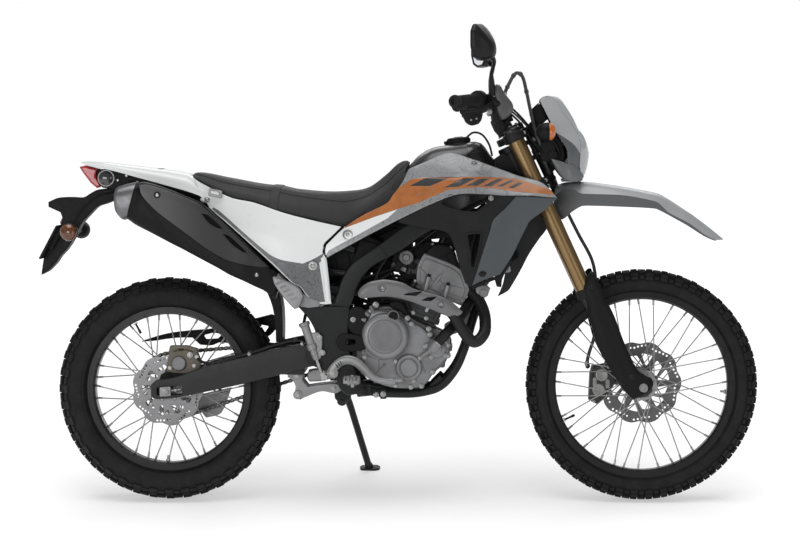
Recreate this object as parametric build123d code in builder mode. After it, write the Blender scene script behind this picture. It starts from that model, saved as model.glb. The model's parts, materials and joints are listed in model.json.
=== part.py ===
from build123d import *
import math
import os

os.makedirs("parts", exist_ok=True)

# Dual sport motorcycle. Millimetres. The model is drawn upright with the rear
# axle over the origin, +X forward, +Y to the rider's left and +Z up, and every
# piece is then laid over by the parking lean onto its side stand.

# ------------------------------------------------------------------ sizes
WHEELBASE = 1450.0
REAR_R = 343.0            # over the knobs
FRONT_R = 355.0
CROWN_R = 50.0            # tread crown radius, front and rear
RAKE = 24.5               # steering axis from the vertical
AXLE_LEAD = 67.7          # front axle ahead of the steering axis
FORK_OFFSET = 28.0        # fork legs ahead of the steering axis
FORK_HALF = 97.0          # half of the distance between the legs
FORK_R = 25.0             # outer (upper) fork tube
SLIDER_R = 21.5           # lower fork tube
LEAN = 10.0               # parked lean to the left
GROUND_LIFT = CROWN_R * (1 - math.cos(math.radians(LEAN)))

STAND_PIVOT = (530.0, 158.0, 318.0)
STAND_AXIS = Vector(0.139, 0.726, 0.621).normalized()   # swings the leg back and up

ca, sa = math.cos(math.radians(RAKE)), math.sin(math.radians(RAKE))
STEER_X = WHEELBASE - AXLE_LEAD * ca      # foot of the steering axis
STEER_Z = FRONT_R - AXLE_LEAD * sa

# placing of the parked motorcycle: box centre over the origin
PARK_X, PARK_Y = -706.0, -216.35
PARK = Location((PARK_X, PARK_Y, GROUND_LIFT), (-LEAN, 0, 0))


def steer(t, f, y=0.0):
    """Point t up the steering axis, f ahead of it."""
    return Vector(STEER_X - t * sa + f * ca, y, STEER_Z + t * ca + f * sa)


def steer_plane(t):
    """Plane across the steering axis: local x forward, local y to the left."""
    return Plane(origin=steer(t, 0), x_dir=(ca, 0, sa), z_dir=(-sa, 0, ca))


def side_plane(y):
    """Plane seen from the right at the given y: local x forward, local y up."""
    return Plane(origin=(0, y, 0), x_dir=(1, 0, 0), z_dir=(0, -1, 0))


def slab(outline, y_left, y_right, corner=0.0):
    """Side outline (x, z) filled between two planes, y_left > y_right."""
    with BuildPart() as p:
        with BuildSketch(side_plane(y_left)) as sk:
            with BuildLine():
                Polyline(*outline, close=True)
            make_face()
            if corner:
                fillet(sk.vertices(), corner)
        extrude(amount=y_left - y_right)
    return p.part


def bar_along(section, plane, length):
    """Straight bar: section is (width, height, corner radius)."""
    with BuildPart() as p:
        with BuildSketch(plane):
            RectangleRounded(*section)
        extrude(amount=length)
    return p.part


def rod(a, b, radius):
    """Round rod between two points."""
    a, b = Vector(*a), Vector(*b)
    with BuildPart() as p:
        with BuildSketch(Plane(origin=a, z_dir=b - a)):
            Circle(radius)
        extrude(amount=(b - a).length)
    return p.part


def bend_radii(points, share=0.45):
    radii = []
    for a, b, c in zip(points, points[1:], points[2:]):
        u, v = Vector(*b) - Vector(*a), Vector(*c) - Vector(*b)
        turn = math.radians(u.get_angle(v))
        radii.append(share * min(u.length, v.length) / math.tan(turn / 2))
    return radii


def pipe(points, radius, bore=0.0, share=0.45):
    """Round tube along straight runs joined by tangent arcs."""
    with BuildPart() as p:
        with BuildLine() as path:
            if len(points) > 2:
                FilletPolyline(*points, radius=bend_radii(points, share))
            else:
                Line(*points)
        with BuildSketch(Plane(origin=path.line @ 0, z_dir=path.line % 0)):
            Circle(radius)
            if bore:
                Circle(bore, mode=Mode.SUBTRACT)
        sweep()
    return p.part


def panel(outline, plan, wall, z_ref, shear, z_low, z_high):
    """Right-hand body panel: a wall that follows the plan curve (x, y), leaning
    in by shear (mm of y for each mm of z above z_ref), cut to a side outline."""
    with BuildPart() as p:
        low = z_low - z_ref
        with BuildSketch(Plane.XY.offset(z_low)):
            outer = [(x, y + shear * low) for x, y in plan]
            inner = [(x, y + wall + shear * low) for x, y in reversed(plan)]
            with BuildLine():
                Polyline(*outer, *inner, close=True)
            make_face()
        run = z_high - z_low
        extrude(amount=run * math.hypot(1, shear), dir=(0, shear, 1))
        with BuildSketch(side_plane(0)):
            with BuildLine():
                Polyline(*outline, close=True)
            make_face()
        extrude(amount=400, mode=Mode.INTERSECT)
    return p.part


def block(side, plan, front, x_low, x_high, corner):
    """Solid with a side outline (x, z), a plan half outline (x, half width)
    and a front section (y, z) whose corners are rounded."""
    with BuildPart() as p:
        with BuildSketch(Plane(origin=(x_low, 0, 0), x_dir=(0, 1, 0), z_dir=(1, 0, 0))) as sk:
            with BuildLine():
                Polyline(*front, close=True)
            make_face()
            if corner:
                fillet(sk.vertices(), corner)
        extrude(amount=x_high - x_low)
        with BuildSketch(side_plane(400)):
            with BuildLine():
                Polyline(*side, close=True)
            make_face()
        extrude(amount=800, mode=Mode.INTERSECT)
        with BuildSketch(Plane.XY):
            with BuildLine():
                Polyline(*[(x, h) for x, h in plan], *[(x, -h) for x, h in reversed(plan)], close=True)
            make_face()
        extrude(amount=1600, mode=Mode.INTERSECT)
    return p.part


def both_sides(part):
    """The part and its mirror image across the middle plane."""
    with BuildPart() as p:
        add(part)
        mirror(about=Plane.XZ)
    return p.part


def join(*parts):
    with BuildPart() as p:
        for q in parts:
            add(q)
    return p.part


def cut(part, *tools):
    with BuildPart() as p:
        add(part)
        for q in tools:
            add(q, mode=Mode.SUBTRACT)
    return p.part


def write(part, label):
    parked = PARK * part
    parked.label = label
    export_step(parked, f"parts/{label}.step")


# ------------------------------------------------------------------ wheels
def wheel_plane(x, z):
    """Half section plane of a wheel: local x is Y, local y is the radius."""
    return Plane(origin=(x, 0, z), x_dir=(0, 1, 0), z_dir=(1, 0, 0))


def ring(x, z, half_section):
    """Revolve a closed (y, radius) outline about a wheel's axle."""
    with BuildPart() as p:
        with BuildSketch(wheel_plane(x, z)):
            with BuildLine():
                Polyline(*half_section, close=True)
            make_face()
        revolve(axis=Axis((x, 0, z), (0, 1, 0)))
    return p.part


def tyre(x, z, r, half_width, bead_r, bead_half):
    drop = CROWN_R * (1 - math.cos(math.radians(50)))
    edge = CROWN_R * math.sin(math.radians(50))
    with BuildPart() as p:
        with BuildSketch(wheel_plane(x, z)):
            with BuildLine():
                ThreePointArc((-edge, r - drop), (0, r), (edge, r - drop))
                Polyline((edge, r - drop), (half_width, r - 0.4 * (r - bead_r)),
                         (half_width - 3, r - 0.62 * (r - bead_r)), (bead_half, bead_r + 16),
                         (bead_half, bead_r), (-bead_half, bead_r), (-bead_half, bead_r + 16),
                         (-half_width + 3, r - 0.62 * (r - bead_r)),
                         (-half_width, r - 0.4 * (r - bead_r)), (-edge, r - drop))
            make_face()
        revolve(axis=Axis((x, 0, z), (0, 1, 0)))
    return p.part


def rim(x, z, r_in, r_out, half):
    h, t = half, 4.5
    return ring(x, z, [(-h, r_out), (-h + t, r_out), (-h + t, r_in + 9), (h - t, r_in + 9),
                       (h - t, r_out), (h, r_out), (h, r_in + 6), (h * 0.6, r_in),
                       (-h * 0.6, r_in), (-h, r_in + 6)])


def hub(x, z, bore, flange_y, flange_r, flange_t, outline):
    """Hub turned from a (y, radius) outline, with laced spokes to the rim."""
    return ring(x, z, [(outline[0][0], bore)] + outline + [(outline[-1][0], bore)])


def spokes(x, z, count, r_hub, r_rim, flange_y, rim_y, wire):
    """count wires, half on each flange, crossing in pairs."""
    wires = []
    for i in range(count):
        side = 1 if i % 2 else -1
        lead = 1 if (i // 2) % 2 else -1
        a0 = math.radians(360 / count * i)
        a1 = a0 + lead * math.radians(62)
        y0 = side * (flange_y + lead * 2.5)
        y1 = side * (rim_y + lead * 2.4)
        p0 = (x + r_hub * math.cos(a0), y0, z + r_hub * math.sin(a0))
        p1 = (x + r_rim * math.cos(a1), y1, z + r_rim * math.sin(a1))
        wires.append(rod(p0, p1, wire))
    return wires


def wave_disc(x, z, y_left, thick, r, r_band, r_hub, r_bore, lobes, arms):
    """Wavy brake disc with a drilled band, an open spider and a bolt ring."""
    with BuildPart() as p:
        with BuildSketch(Plane(origin=(x, y_left, z), x_dir=(1, 0, 0), z_dir=(0, -1, 0))):
            Circle(r)
            with PolarLocations(r + 24, lobes):
                Circle(28, mode=Mode.SUBTRACT)
            with PolarLocations(r - 10, lobes * 2, start_angle=5):
                Circle(3.6, mode=Mode.SUBTRACT)
            with PolarLocations(r - 21, lobes * 2, start_angle=12):
                Circle(3.6, mode=Mode.SUBTRACT)
            with PolarLocations((r_band + r_hub) / 2, arms):
                SlotOverall((r_band - r_hub) * 0.86, 2 * math.pi * (r_band + r_hub) / 2 / arms * 0.55,
                            mode=Mode.SUBTRACT) if (r_band - r_hub) * 0.86 > 2 * math.pi * (r_band + r_hub) / 2 / arms * 0.55 else Circle((r_band - r_hub) * 0.4, mode=Mode.SUBTRACT)
            Circle(r_bore, mode=Mode.SUBTRACT)
        extrude(amount=thick)
    return p.part


FX, FZ = WHEELBASE, FRONT_R
RX, RZ = 0.0, REAR_R

# tyre: radius, half width, bead radius, half width between the flanges
front_tyre = tyre(FX, FZ, FRONT_R, 43, 271, 21.5)
rear_tyre = tyre(RX, RZ, REAR_R, 58, 238, 29.5)
front_rim = rim(FX, FZ, 262, 286, 26)
rear_rim = rim(RX, RZ, 229, 252, 34)

AXLE_R = 9.0
front_hub_outline = [(-56, 20), (-40, 20), (-38, 46), (-29, 46), (-25, 24), (25, 24), (29, 46),
                     (38, 46), (42, 38), (57, 38)]
rear_hub_outline = [(-65, 40), (-44, 40), (-42, 52), (-32, 52), (-28, 32), (28, 32), (32, 52),
                    (42, 52), (44, 44), (70.9, 44)]
with BuildPart() as front_hub:
    add(hub(FX, FZ, AXLE_R + 0.3, 33, 46, 9, front_hub_outline))
    for w in spokes(FX, FZ, 36, 40, 261.2, 33.5, 7, 1.8):
        add(w)
with BuildPart() as rear_hub:
    add(hub(RX, RZ, AXLE_R + 0.3, 37, 52, 9, rear_hub_outline))
    for w in spokes(RX, RZ, 36, 46, 228.0, 37, 9, 2.0):
        add(w)

FRONT_DISC_Y = (62.0, 57.2)      # left and right faces
REAR_DISC_Y = (-65.2, -70.0)
front_brake_disc = wave_disc(FX, FZ, FRONT_DISC_Y[0], 4.5, 128, 96, 44, 26, 10, 6)
rear_brake_disc = wave_disc(RX, RZ, REAR_DISC_Y[0], 4.5, 110, 80, 44, 28, 8, 6)

SPROCKET_R = 94.0
with BuildPart() as rear_sprocket:
    with BuildSketch(side_plane(77.2)):
        with Locations((RX, RZ)):
            Circle(SPROCKET_R)
            Circle(30, mode=Mode.SUBTRACT)
            with PolarLocations(66, 6):
                Circle(15, mode=Mode.SUBTRACT)
    extrude(amount=6.3)

for part, label in ((front_tyre, "front_tyre"), (rear_tyre, "rear_tyre"), (front_rim, "front_rim"),
                    (rear_rim, "rear_rim"), (front_hub.part, "front_hub_and_spokes"),
                    (rear_hub.part, "rear_hub_and_spokes"), (front_brake_disc, "front_brake_disc"),
                    (rear_brake_disc, "rear_brake_disc"), (rear_sprocket.part, "rear_sprocket")):
    write(part, label)

# ------------------------------------------------------------------ fork and steering
TOP_T, LOW_T = (838.0, 866.0), (668.0, 702.0)     # yokes along the steering axis
HEAD_T = (706.0, 834.0)                            # head tube
FORK_T = (319.0, 885.0)                            # upper tubes
STEM_R = 12.0


def yoke(t_low, t_high, reach, stem_hole):
    with BuildPart() as p:
        with BuildSketch(steer_plane(t_low)):
            with BuildLine():
                Polyline((-reach, 20), (6, 104), (48, 127), (60, 118), (60, 84), (34, 50), (38, 0),
                         (34, -50), (60, -84), (60, -118), (48, -127), (6, -104), (-reach, -20), close=True)
            make_face()
            with Locations((FORK_OFFSET, FORK_HALF), (FORK_OFFSET, -FORK_HALF)):
                Circle(FORK_R, mode=Mode.SUBTRACT)
            if stem_hole:
                Circle(STEM_R, mode=Mode.SUBTRACT)
        extrude(amount=t_high - t_low)
    return p.part


with BuildPart() as lower_yoke:
    add(yoke(*LOW_T, 26, False))
    with BuildSketch(steer_plane(LOW_T[1])):
        Circle(STEM_R)
    extrude(amount=TOP_T[1] + 8 - LOW_T[1])
with BuildPart() as top_yoke:
    add(yoke(*TOP_T, 26, True))
    # risers for the handlebar clamp, along the steering axis
    for y in (-38, 38):
        with BuildSketch(steer_plane(TOP_T[1])):
            with Locations((20, y)):
                Circle(15)
        extrude(amount=24)

with BuildPart() as fork_tubes:
    with BuildSketch(steer_plane(FORK_T[0])):
        with Locations((FORK_OFFSET, FORK_HALF), (FORK_OFFSET, -FORK_HALF)):
            Circle(FORK_R)
    extrude(amount=FORK_T[1] - FORK_T[0])
    with BuildSketch(steer_plane(FORK_T[0])):
        with Locations((FORK_OFFSET, FORK_HALF), (FORK_OFFSET, -FORK_HALF)):
            Circle(FORK_R + 4)
    extrude(amount=26)

# axle lug at the foot of each slider, seen from the side as (t, f)
LUG = [(-24, 44), (-30, 66), (-22, 90), (6, 94), (30, 84), (64, 50), (64, 6), (18, 6)]
lug_outline = [(steer(t, f).X, steer(t, f).Z) for t, f in LUG]
with BuildPart() as fork_sliders:
    with BuildSketch(steer_plane(50)):
        with Locations((FORK_OFFSET, FORK_HALF), (FORK_OFFSET, -FORK_HALF)):
            Circle(SLIDER_R)
    extrude(amount=FORK_T[0] - 50)
    add(slab(lug_outline, 119, 76))
    add(slab(lug_outline, -76, -119))
    add(rod((FX, -122, FZ), (FX, 122, FZ), AXLE_R))

GUARD = [(1287, 701), (1300, 709), (1328, 639), (1360, 576), (1391, 493), (1427, 410), (1474, 384),
         (1474, 352), (1420, 318), (1380, 363), (1349, 410), (1307, 493), (1287, 571), (1278, 612),
         (1262, 650), (1276, 690)]
with BuildPart() as guard_core:
    with BuildSketch(steer_plane(-60)):
        with Locations((FORK_OFFSET, FORK_HALF), (FORK_OFFSET, -FORK_HALF)):
            Circle(FORK_R + 4.5)
    extrude(amount=500)
lug_room = slab([(steer(t + (1 if t > 0 else -1) * 0, f).X, steer(t, f).Z) for t, f in LUG], 119.4, -119.4)
fork_guards = both_sides(cut(slab(GUARD, -96, -130), guard_core.part, lug_room,
                             rod((FX, -122.4, FZ), (FX, 122.4, FZ), AXLE_R + 0.4)))
guard_mid = [s for s in fork_guards.solids()]

BAR = [(1031, 0, 1166), (1031, -62, 1166), (1006, -112, 1190), (978, -178, 1216), (950, -262, 1226),
       (884, -398, 1216)]
BAR_R = 11.0
bar_right = pipe(BAR, BAR_R)
handlebar_clamps = join(*[rod((1031, y - 17, 1166), (1031, y + 17, 1166), 19) for y in (-38, 38)])
# open tube ends, for bar end weights or hand guards
BAR_END, BAR_RUN = Vector(*BAR[-1]), (Vector(*BAR[-1]) - Vector(*BAR[-2])).normalized()
end_bore = rod(tuple(BAR_END - BAR_RUN * 45), tuple(BAR_END + BAR_RUN * 30), 8)
handlebar = cut(join(both_sides(bar_right), handlebar_clamps), top_yoke.part, fork_tubes.part, both_sides(end_bore))

grip_a, grip_b = (946.1, -270, 1225.4), (884.5, -397, 1216.1)
grips = both_sides(cut(join(rod(grip_a, grip_b, 16.5), rod(grip_b, (879.6, -407, 1215.4), 15.5)),
                       bar_right, rod(tuple(BAR_END - BAR_RUN * 2), tuple(BAR_END + BAR_RUN * 30), 9)))

# switch gear, master cylinder and levers: one hand's worth, then its mirror
bar_controls_right = cut(join(
    rod((957.6, -246.5, 1226.3), (946.5, -269.4, 1225.5), 25),
    slab([(918, 1204), (962, 1204), (962, 1152), (936, 1150), (916, 1166)], -232, -262, 5),
    slab([(962, 1245), (1016, 1238), (1020, 1210), (972, 1206)], -205, -262, 5),
    pipe([(996, -250, 1222), (985, -286, 1206), (948, -340, 1192), (908, -402, 1186)], 6.5),
    rod((908, -398, 1186), (905, -410, 1185.6), 9)), bar_right, grips)
bar_controls = both_sides(bar_controls_right)

# mirrors: head, then stem; the glass faces back and in, towards the rider
MIRROR_PLANE = Plane(origin=(958, -336, 1388), x_dir=(0.42, 0.907, 0), z_dir=(-0.907, 0.42, 0))
with BuildPart() as mirror_right:
    for back, wide, tall in ((0, 64, 54), (-24, 56, 47), (-44, 30, 25)):
        with BuildSketch(MIRROR_PLANE.offset(back)):
            Ellipse(wide, tall)
    loft()
    with BuildSketch(MIRROR_PLANE):
        Ellipse(64, 54)
    extrude(amount=8)
    add(pipe([(996, -248, 1244), (998, -256, 1290), (1004, -298, 1330), (992, -322, 1352)], 5.5))
mirrors = both_sides(cut(mirror_right.part, bar_controls_right))

instrument_panel = slab([(1107, 1189), (1139, 1216), (1164, 1173), (1143, 1156), (1124, 1161), (1110, 1179)], 62, -62)

# headlight cowl: side outline, plan half widths, front section
cowl = block([(1146, 1220), (1156, 1238), (1178, 1239), (1200, 1233), (1231, 1191), (1262, 1146), (1283, 1100),
              (1288, 1054), (1284, 1020), (1282, 984), (1244, 978), (1210, 990), (1180, 1020), (1171, 1045),
              (1220, 1050), (1222, 1090), (1198, 1128), (1172, 1172)],
             [(1140, 96), (1215, 96), (1262, 78), (1292, 40)],
             [(-70, 975), (-98, 1010), (-98, 1090), (-66, 1242), (66, 1242), (98, 1090), (98, 1010), (70, 975)],
             1130, 1292, 10)
lens_room = block([(1262, 1140), (1300, 1140), (1300, 1000), (1262, 1000)], [(1255, 60), (1300, 60)],
                  [(-50, 1004), (-60, 1030), (-60, 1080), (-40, 1138), (40, 1138), (60, 1080), (60, 1030), (50, 1004)],
                  1250, 1300, 8)
headlight_cowl = cut(cowl, lens_room)
with BuildPart() as headlight_lens:
    add(lens_room)
    add(cowl, mode=Mode.INTERSECT)
# carrier between the fork and the cowl, with the meter on it
CARRIER = [(862, 62), (878, 100), (862, 130), (790, 163), (752, 142), (750, 90), (748, 62)]
headlight_carrier = join(
    slab([(steer(t, f).X, steer(t, f).Z) for t, f in CARRIER], 56, -56, 4),
    *[rod(tuple(steer(t, 74, s * 50)), tuple(steer(t, 46, s * 84)), 7) for t in (820, 770) for s in (1, -1)])
headlight_carrier = cut(headlight_carrier, cowl, instrument_panel, top_yoke.part, lower_yoke.part, fork_tubes.part)

front_indicators = both_sides(join(
    rod((1150, -58, 1124), (1158, -112, 1126), 10),
    rod((1136, -140, 1122), (1178, -140, 1128), 27)))
front_indicators = cut(front_indicators, headlight_carrier, cowl)

FENDER_SIDE = [(1108, 905), (1150, 945), (1193, 969), (1274, 975), (1323, 971), (1385, 962), (1446, 952),
               (1533, 925), (1600, 885), (1662, 837), (1704, 800), (1684, 801), (1626, 828), (1564, 858),
               (1503, 887), (1443, 896), (1321, 903), (1272, 900), (1241, 886), (1208, 862), (1150, 880)]
FENDER_PLAN = [(1100, 56), (1208, 68), (1300, 74), (1480, 78), (1600, 66), (1690, 46), (1706, 20)]
fender_out = block(FENDER_SIDE, FENDER_PLAN, [(-80, 780), (-80, 1000), (80, 1000), (80, 780)], 1090, 1720, 0)
fender_in = block([(x, z - 5 if i < 11 else z - 60) for i, (x, z) in enumerate(FENDER_SIDE)],
                  [(1090, 51), (1208, 63), (1300, 69), (1480, 73), (1600, 61), (1684, 41), (1720, 15)],
                  [(-80, 700), (-80, 1000), (80, 1000), (80, 700)], 1090, 1720, 0)
front_fender = cut(fender_out, fender_in, lower_yoke.part, fork_tubes.part)

front_caliper = cut(slab([(1291, 384), (1300, 410), (1340, 416), (1362, 410), (1388, 366), (1352, 318), (1326, 282), (1302, 290)], 84, 40, 4),
                    slab([(1280, 270), (1280, 430), (1400, 430), (1400, 270)], 65.0, 54.0),
                    guard_core.part, fork_sliders.part,
                    rod((FX, 30, FZ), (FX, 90, FZ), 84))
# the outer half keeps the bracket, bridged over the disc's edge
caliper_bridge = cut(slab([(1289, 300), (1291, 384), (1300, 412), (1312, 412), (1304, 384), (1303, 300)], 84, 40),
                     rod((FX, 54, FZ), (FX, 65, FZ), 134), fork_sliders.part)
front_caliper = join(front_caliper, caliper_bridge)

HOSE = [(1024, -228, 1228), (1040, -222, 1266), (1062, -200, 1302), (1082, -166, 1296), (1096, -128, 1250),
        (1108, -98, 1196), (1122, -76, 1140), (1140, -70, 1084), (1154, -66, 1034), (1168, -40, 1004),
        (1176, 0, 992), (1182, 44, 990), (1190, 78, 975), (1204, 89, 935), (1224, 92, 888), (1262, 98, 812),
        (1304, 92, 730), (1316, 72, 650), (1318, 66, 570), (1310, 66, 500), (1292, 70, 440), (1286, 74, 408)]
HOSE_R = 4.5
front_brake_hose = pipe(HOSE, HOSE_R)
# throttle pair, from the right housing, and clutch cable, from the left lever: (points, radius)
CABLES = [([(1014, -236, 1214), (1040, -216, 1206), (1066, -172, 1186), (1088, -124, 1164), (1104, -86, 1146), (1116, -56, 1136)], 3.0),
          ([(1008, -240, 1203), (1034, -220, 1192), (1060, -176, 1172), (1080, -128, 1152), (1098, -88, 1128), (1112, -56, 1116)], 3.0),
          ([(1014, 236, 1214), (1040, 216, 1206), (1066, 172, 1186), (1088, 124, 1164), (1104, 86, 1146), (1116, 56, 1136)], 3.0)]
control_cables = cut(join(*[pipe(pts, r) for pts, r in CABLES]), bar_controls, headlight_carrier, instrument_panel)

for part, label in ((lower_yoke.part, "lower_yoke"), (top_yoke.part, "top_yoke"), (fork_tubes.part, "fork_tubes"),
                    (fork_sliders.part, "fork_sliders"), (fork_guards, "fork_guards"), (handlebar, "handlebar"),
                    (grips, "grips"), (bar_controls, "bar_controls"), (mirrors, "mirrors"),
                    (join(instrument_panel, headlight_carrier), "instrument_panel"),
                    (headlight_cowl, "headlight_cowl"), (headlight_lens.part, "headlight_lens"),
                    (front_indicators, "front_indicators"), (front_fender, "front_fender"),
                    (front_caliper, "front_caliper"), (front_brake_hose, "front_brake_hose"),
                    (control_cables, "control_cables")):
    write(part, label)

# ------------------------------------------------------------------ frame
with BuildPart() as head_tube:
    with BuildSketch(steer_plane(HEAD_T[0])):
        Circle(31)
        Circle(STEM_R + 0.4, mode=Mode.SUBTRACT)
    extrude(amount=HEAD_T[1] - HEAD_T[0])
head_room = rod(tuple(steer(HEAD_T[0] - 2, 0)), tuple(steer(HEAD_T[1] + 2, 0)), STEM_R + 0.4)
down_tube = slab([(1080, 963), (1051, 950), (972, 640), (968, 600), (930, 600), (936, 640), (1015, 930),
                  (1045, 1010), (1070, 1010)], 22, -22)
frame_head = cut(join(head_tube.part, down_tube), head_room)

SPAR = [(505, 604), (520, 631), (538, 676), (556, 716), (575, 738), (608, 761), (653, 791), (728, 845),
        (900, 938), (1040, 1000), (1062, 958), (940, 898), (780, 815), (738, 785), (689, 755), (638, 728),
        (605, 692), (587, 652), (569, 613), (565, 604)]
SPAR_PLAN = [(495, -136), (640, -138), (780, -126), (900, -92), (1070, -34)]
frame_spars = both_sides(cut(panel(SPAR, SPAR_PLAN, 28, 700, 0.0, 560, 1060), frame_head))

PIVOT = (460.0, 453.0)
PLATE = [(404, 604), (440, 562), (456, 530), (462, 496), (434, 478), (430, 436), (455, 420), (500, 403),
         (519, 385), (532, 350), (556, 334), (592, 340), (590, 372), (574, 410), (562, 460), (556, 520),
         (562, 604)]
with BuildPart() as pivot_plates:
    add(slab(PLATE, -122, -134))
    mirror(about=Plane.XZ)
    add(rod((PIVOT[0], -137, PIVOT[1]), (PIVOT[0], 137, PIVOT[1]), 11))
    add(rod((572, -122, 354), (572, 122, 354), 13.5))
    # lug for the side stand, outboard of the left plate
    add(slab([(500, 345), (560, 345), (548, 290), (506, 290)], 134, 106))
    add(rod(tuple(Vector(*STAND_PIVOT) - STAND_AXIS * 15), tuple(Vector(*STAND_PIVOT) - STAND_AXIS * 52), 14))

CRADLE = [(950, -24, 606), (930, -62, 548), (912, -84, 480), (884, -88, 410), (836, -88, 352),
          (760, -88, 334), (660, -90, 336), (600, -98, 346)]
cradle_right = pipe(CRADLE, 13.5)
engine_cradle = cut(both_sides(cradle_right), frame_head, pivot_plates.part)

# subframe: two rails a side, (x, y, z)
RAIL_TOP = [(575, -96, 770), (440, -92, 820), (250, -84, 872), (60, -70, 930), (-120, -50, 975)]
RAIL_LOW = [(566, -104, 700), (440, -84, 714), (320, -76, 754), (200, -76, 822), (60, -72, 906)]
subframe = both_sides(join(pipe(RAIL_TOP, 11), pipe(RAIL_LOW, 10)))
subframe = cut(subframe, frame_spars)

ARM = [(-44, 322), (-44, 366), (-30, 378), (12, 384), (79, 404), (230, 444), (321, 468), (420, 486), (480, 482),
       (490, 453), (480, 428), (420, 413), (290, 379), (109, 339), (42, 322)]
with BuildPart() as swingarm:
    add(slab(ARM, -88, -120))
    mirror(about=Plane.XZ)
    add(slab([(372, 391), (420, 391), (420, 462), (372, 462)], 88, -88))
    add(rod((RX, -128, RZ), (RX, 128, RZ), AXLE_R))
    add(rod((PIVOT[0], -150, PIVOT[1]), (PIVOT[0], 150, PIVOT[1]), 11.3), mode=Mode.SUBTRACT)

shock = join(rod((522, 0, 660), (518, 0, 520), 34), rod((518, 0, 560), (508, 0, 366), 24))
link = [(378, 391), (402, 391), (406, 332), (484, 372), (527, 352), (521, 328), (480, 346), (405, 306), (386, 312)]
rear_shock = join(shock, rod((508, -40, 352), (508, 40, 352), 8), slab(link, 40, 30), slab(link, -30, -40),
                  rod((397, -40, 322), (397, 40, 322), 8))

# ------------------------------------------------------------------ engine
CASE = [(580, 478), (584, 412), (616, 380), (670, 358), (766, 358), (808, 392), (848, 430), (864, 488),
        (848, 540), (790, 590), (690, 600), (622, 584), (586, 545)]
crankcase = cut(slab(CASE, 88, -88, 8), engine_cradle)
cyl_plane = Plane(origin=(768, 0, 566), x_dir=(0.921, 0, -0.39), z_dir=(0.39, 0, 0.921))
cylinder_block = bar_along((122, 128, 14), cyl_plane, 92)
head_plane = Plane(origin=cyl_plane.origin + cyl_plane.z_dir * 92, x_dir=cyl_plane.x_dir, z_dir=cyl_plane.z_dir)
head_block = bar_along((138, 140, 12), head_plane, 72)
cam_plane = Plane(origin=cyl_plane.origin + cyl_plane.z_dir * 164, x_dir=cyl_plane.x_dir, z_dir=cyl_plane.z_dir)
cam_block = bar_along((112, 126, 16), cam_plane, 44)
cylinder_and_head = cut(join(cylinder_block, head_block, cam_block), crankcase)

CLUTCH = (662.0, 514.0)
right_cover = join(
    slab([(590, 470), (598, 430), (640, 402), (700, 380), (770, 378), (806, 410), (846, 440), (852, 490), (836, 530),
          (770, 570), (700, 590), (630, 580), (592, 540)], -88, -118, 10),
    rod((CLUTCH[0], -118, CLUTCH[1]), (CLUTCH[0], -148, CLUTCH[1]), 72),
    rod((CLUTCH[0], -148, CLUTCH[1]), (CLUTCH[0], -156, CLUTCH[1]), 48),
    rod((738, -118, 416), (738, -134, 416), 33),
    rod((826, -118, 470), (826, -140, 470), 30),
    rod((694, -118, 574), (694, -134, 574), 15))
left_cover = join(
    slab([(604, 470), (620, 410), (690, 384), (770, 384), (820, 420), (838, 480), (810, 540), (740, 572), (650, 560)], 118, 88, 10),
    rod((742, 118, 478), (742, 146, 478), 74),
    slab([(494, 408), (602, 408), (602, 506), (494, 506)], 99, 85, 12))
engine_covers = cut(join(right_cover, left_cover), crankcase)

airbox = cut(slab([(350, 690), (470, 690), (640, 716), (660, 800), (600, 822), (420, 850), (350, 820)], 74, -74),
             subframe, rear_shock)
throttle_body = cut(rod((655, 0, 738), (772, 0, 716), 26), airbox, cylinder_and_head)

HEADER = [(894, -34, 662), (944, -58, 634), (972, -84, 578), (972, -126, 520), (938, -144, 488), (902, -146, 532),
          (868, -146, 596), (800, -144, 622), (700, -132, 640), (608, -92, 650), (520, -84, 648), (430, -100, 652),
          (360, -132, 676), (318, -150, 706)]
header = pipe(HEADER, 19)
SILENCER_AXIS = Plane(origin=(-104, -152, 916), x_dir=(0, 1, 0), z_dir=(0.842, 0, -0.54))
can_core = bar_along((104, 170, 46), SILENCER_AXIS, 560)
SILENCER = [(-100, 976), (-70, 984), (4, 964), (114, 918), (220, 824), (325, 722), (352, 660), (340, 622), (303, 652),
            (202, 700), (118, 746), (-2, 809), (-84, 852), (-104, 868)]
with BuildPart() as silencer_blank:
    add(can_core)
    add(slab(SILENCER, -60, -260), mode=Mode.INTERSECT)
with BuildPart() as end_cap_blank:
    add(bar_along((104, 170, 46), Plane(origin=(-154, -152, 948), x_dir=(0, 1, 0), z_dir=(0.842, 0, -0.54)), 100))
    add(slab([(-133, 962), (-98, 974), (-104, 868), (-131, 892), (-138, 920)], -60, -260), mode=Mode.INTERSECT)
silencer_end_cap = cut(end_cap_blank.part, silencer_blank.part, rod((-160, -152, 935), (-110, -152, 915), 15))
silencer = silencer_blank.part
exhaust_header = cut(join(header, rod((671, -145, 650), (671, -165, 650), 7), rod((828, -160, 618), (828, -165, 618), 7)),
                     cylinder_and_head, silencer, frame_spars, subframe, engine_cradle, engine_covers)
SHIELD = [(590, 640), (596, 658), (611, 674), (671, 685), (746, 668), (821, 643), (902, 592), (881, 574), (836, 587),
          (791, 608), (752, 623), (671, 635), (593, 631)]
heat_shield = slab(SHIELD, -165, -169)

RAD = [(1004, 700), (1044, 712), (1020, 900), (980, 888)]
radiator = slab(RAD, 158, 44, 4)

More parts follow.
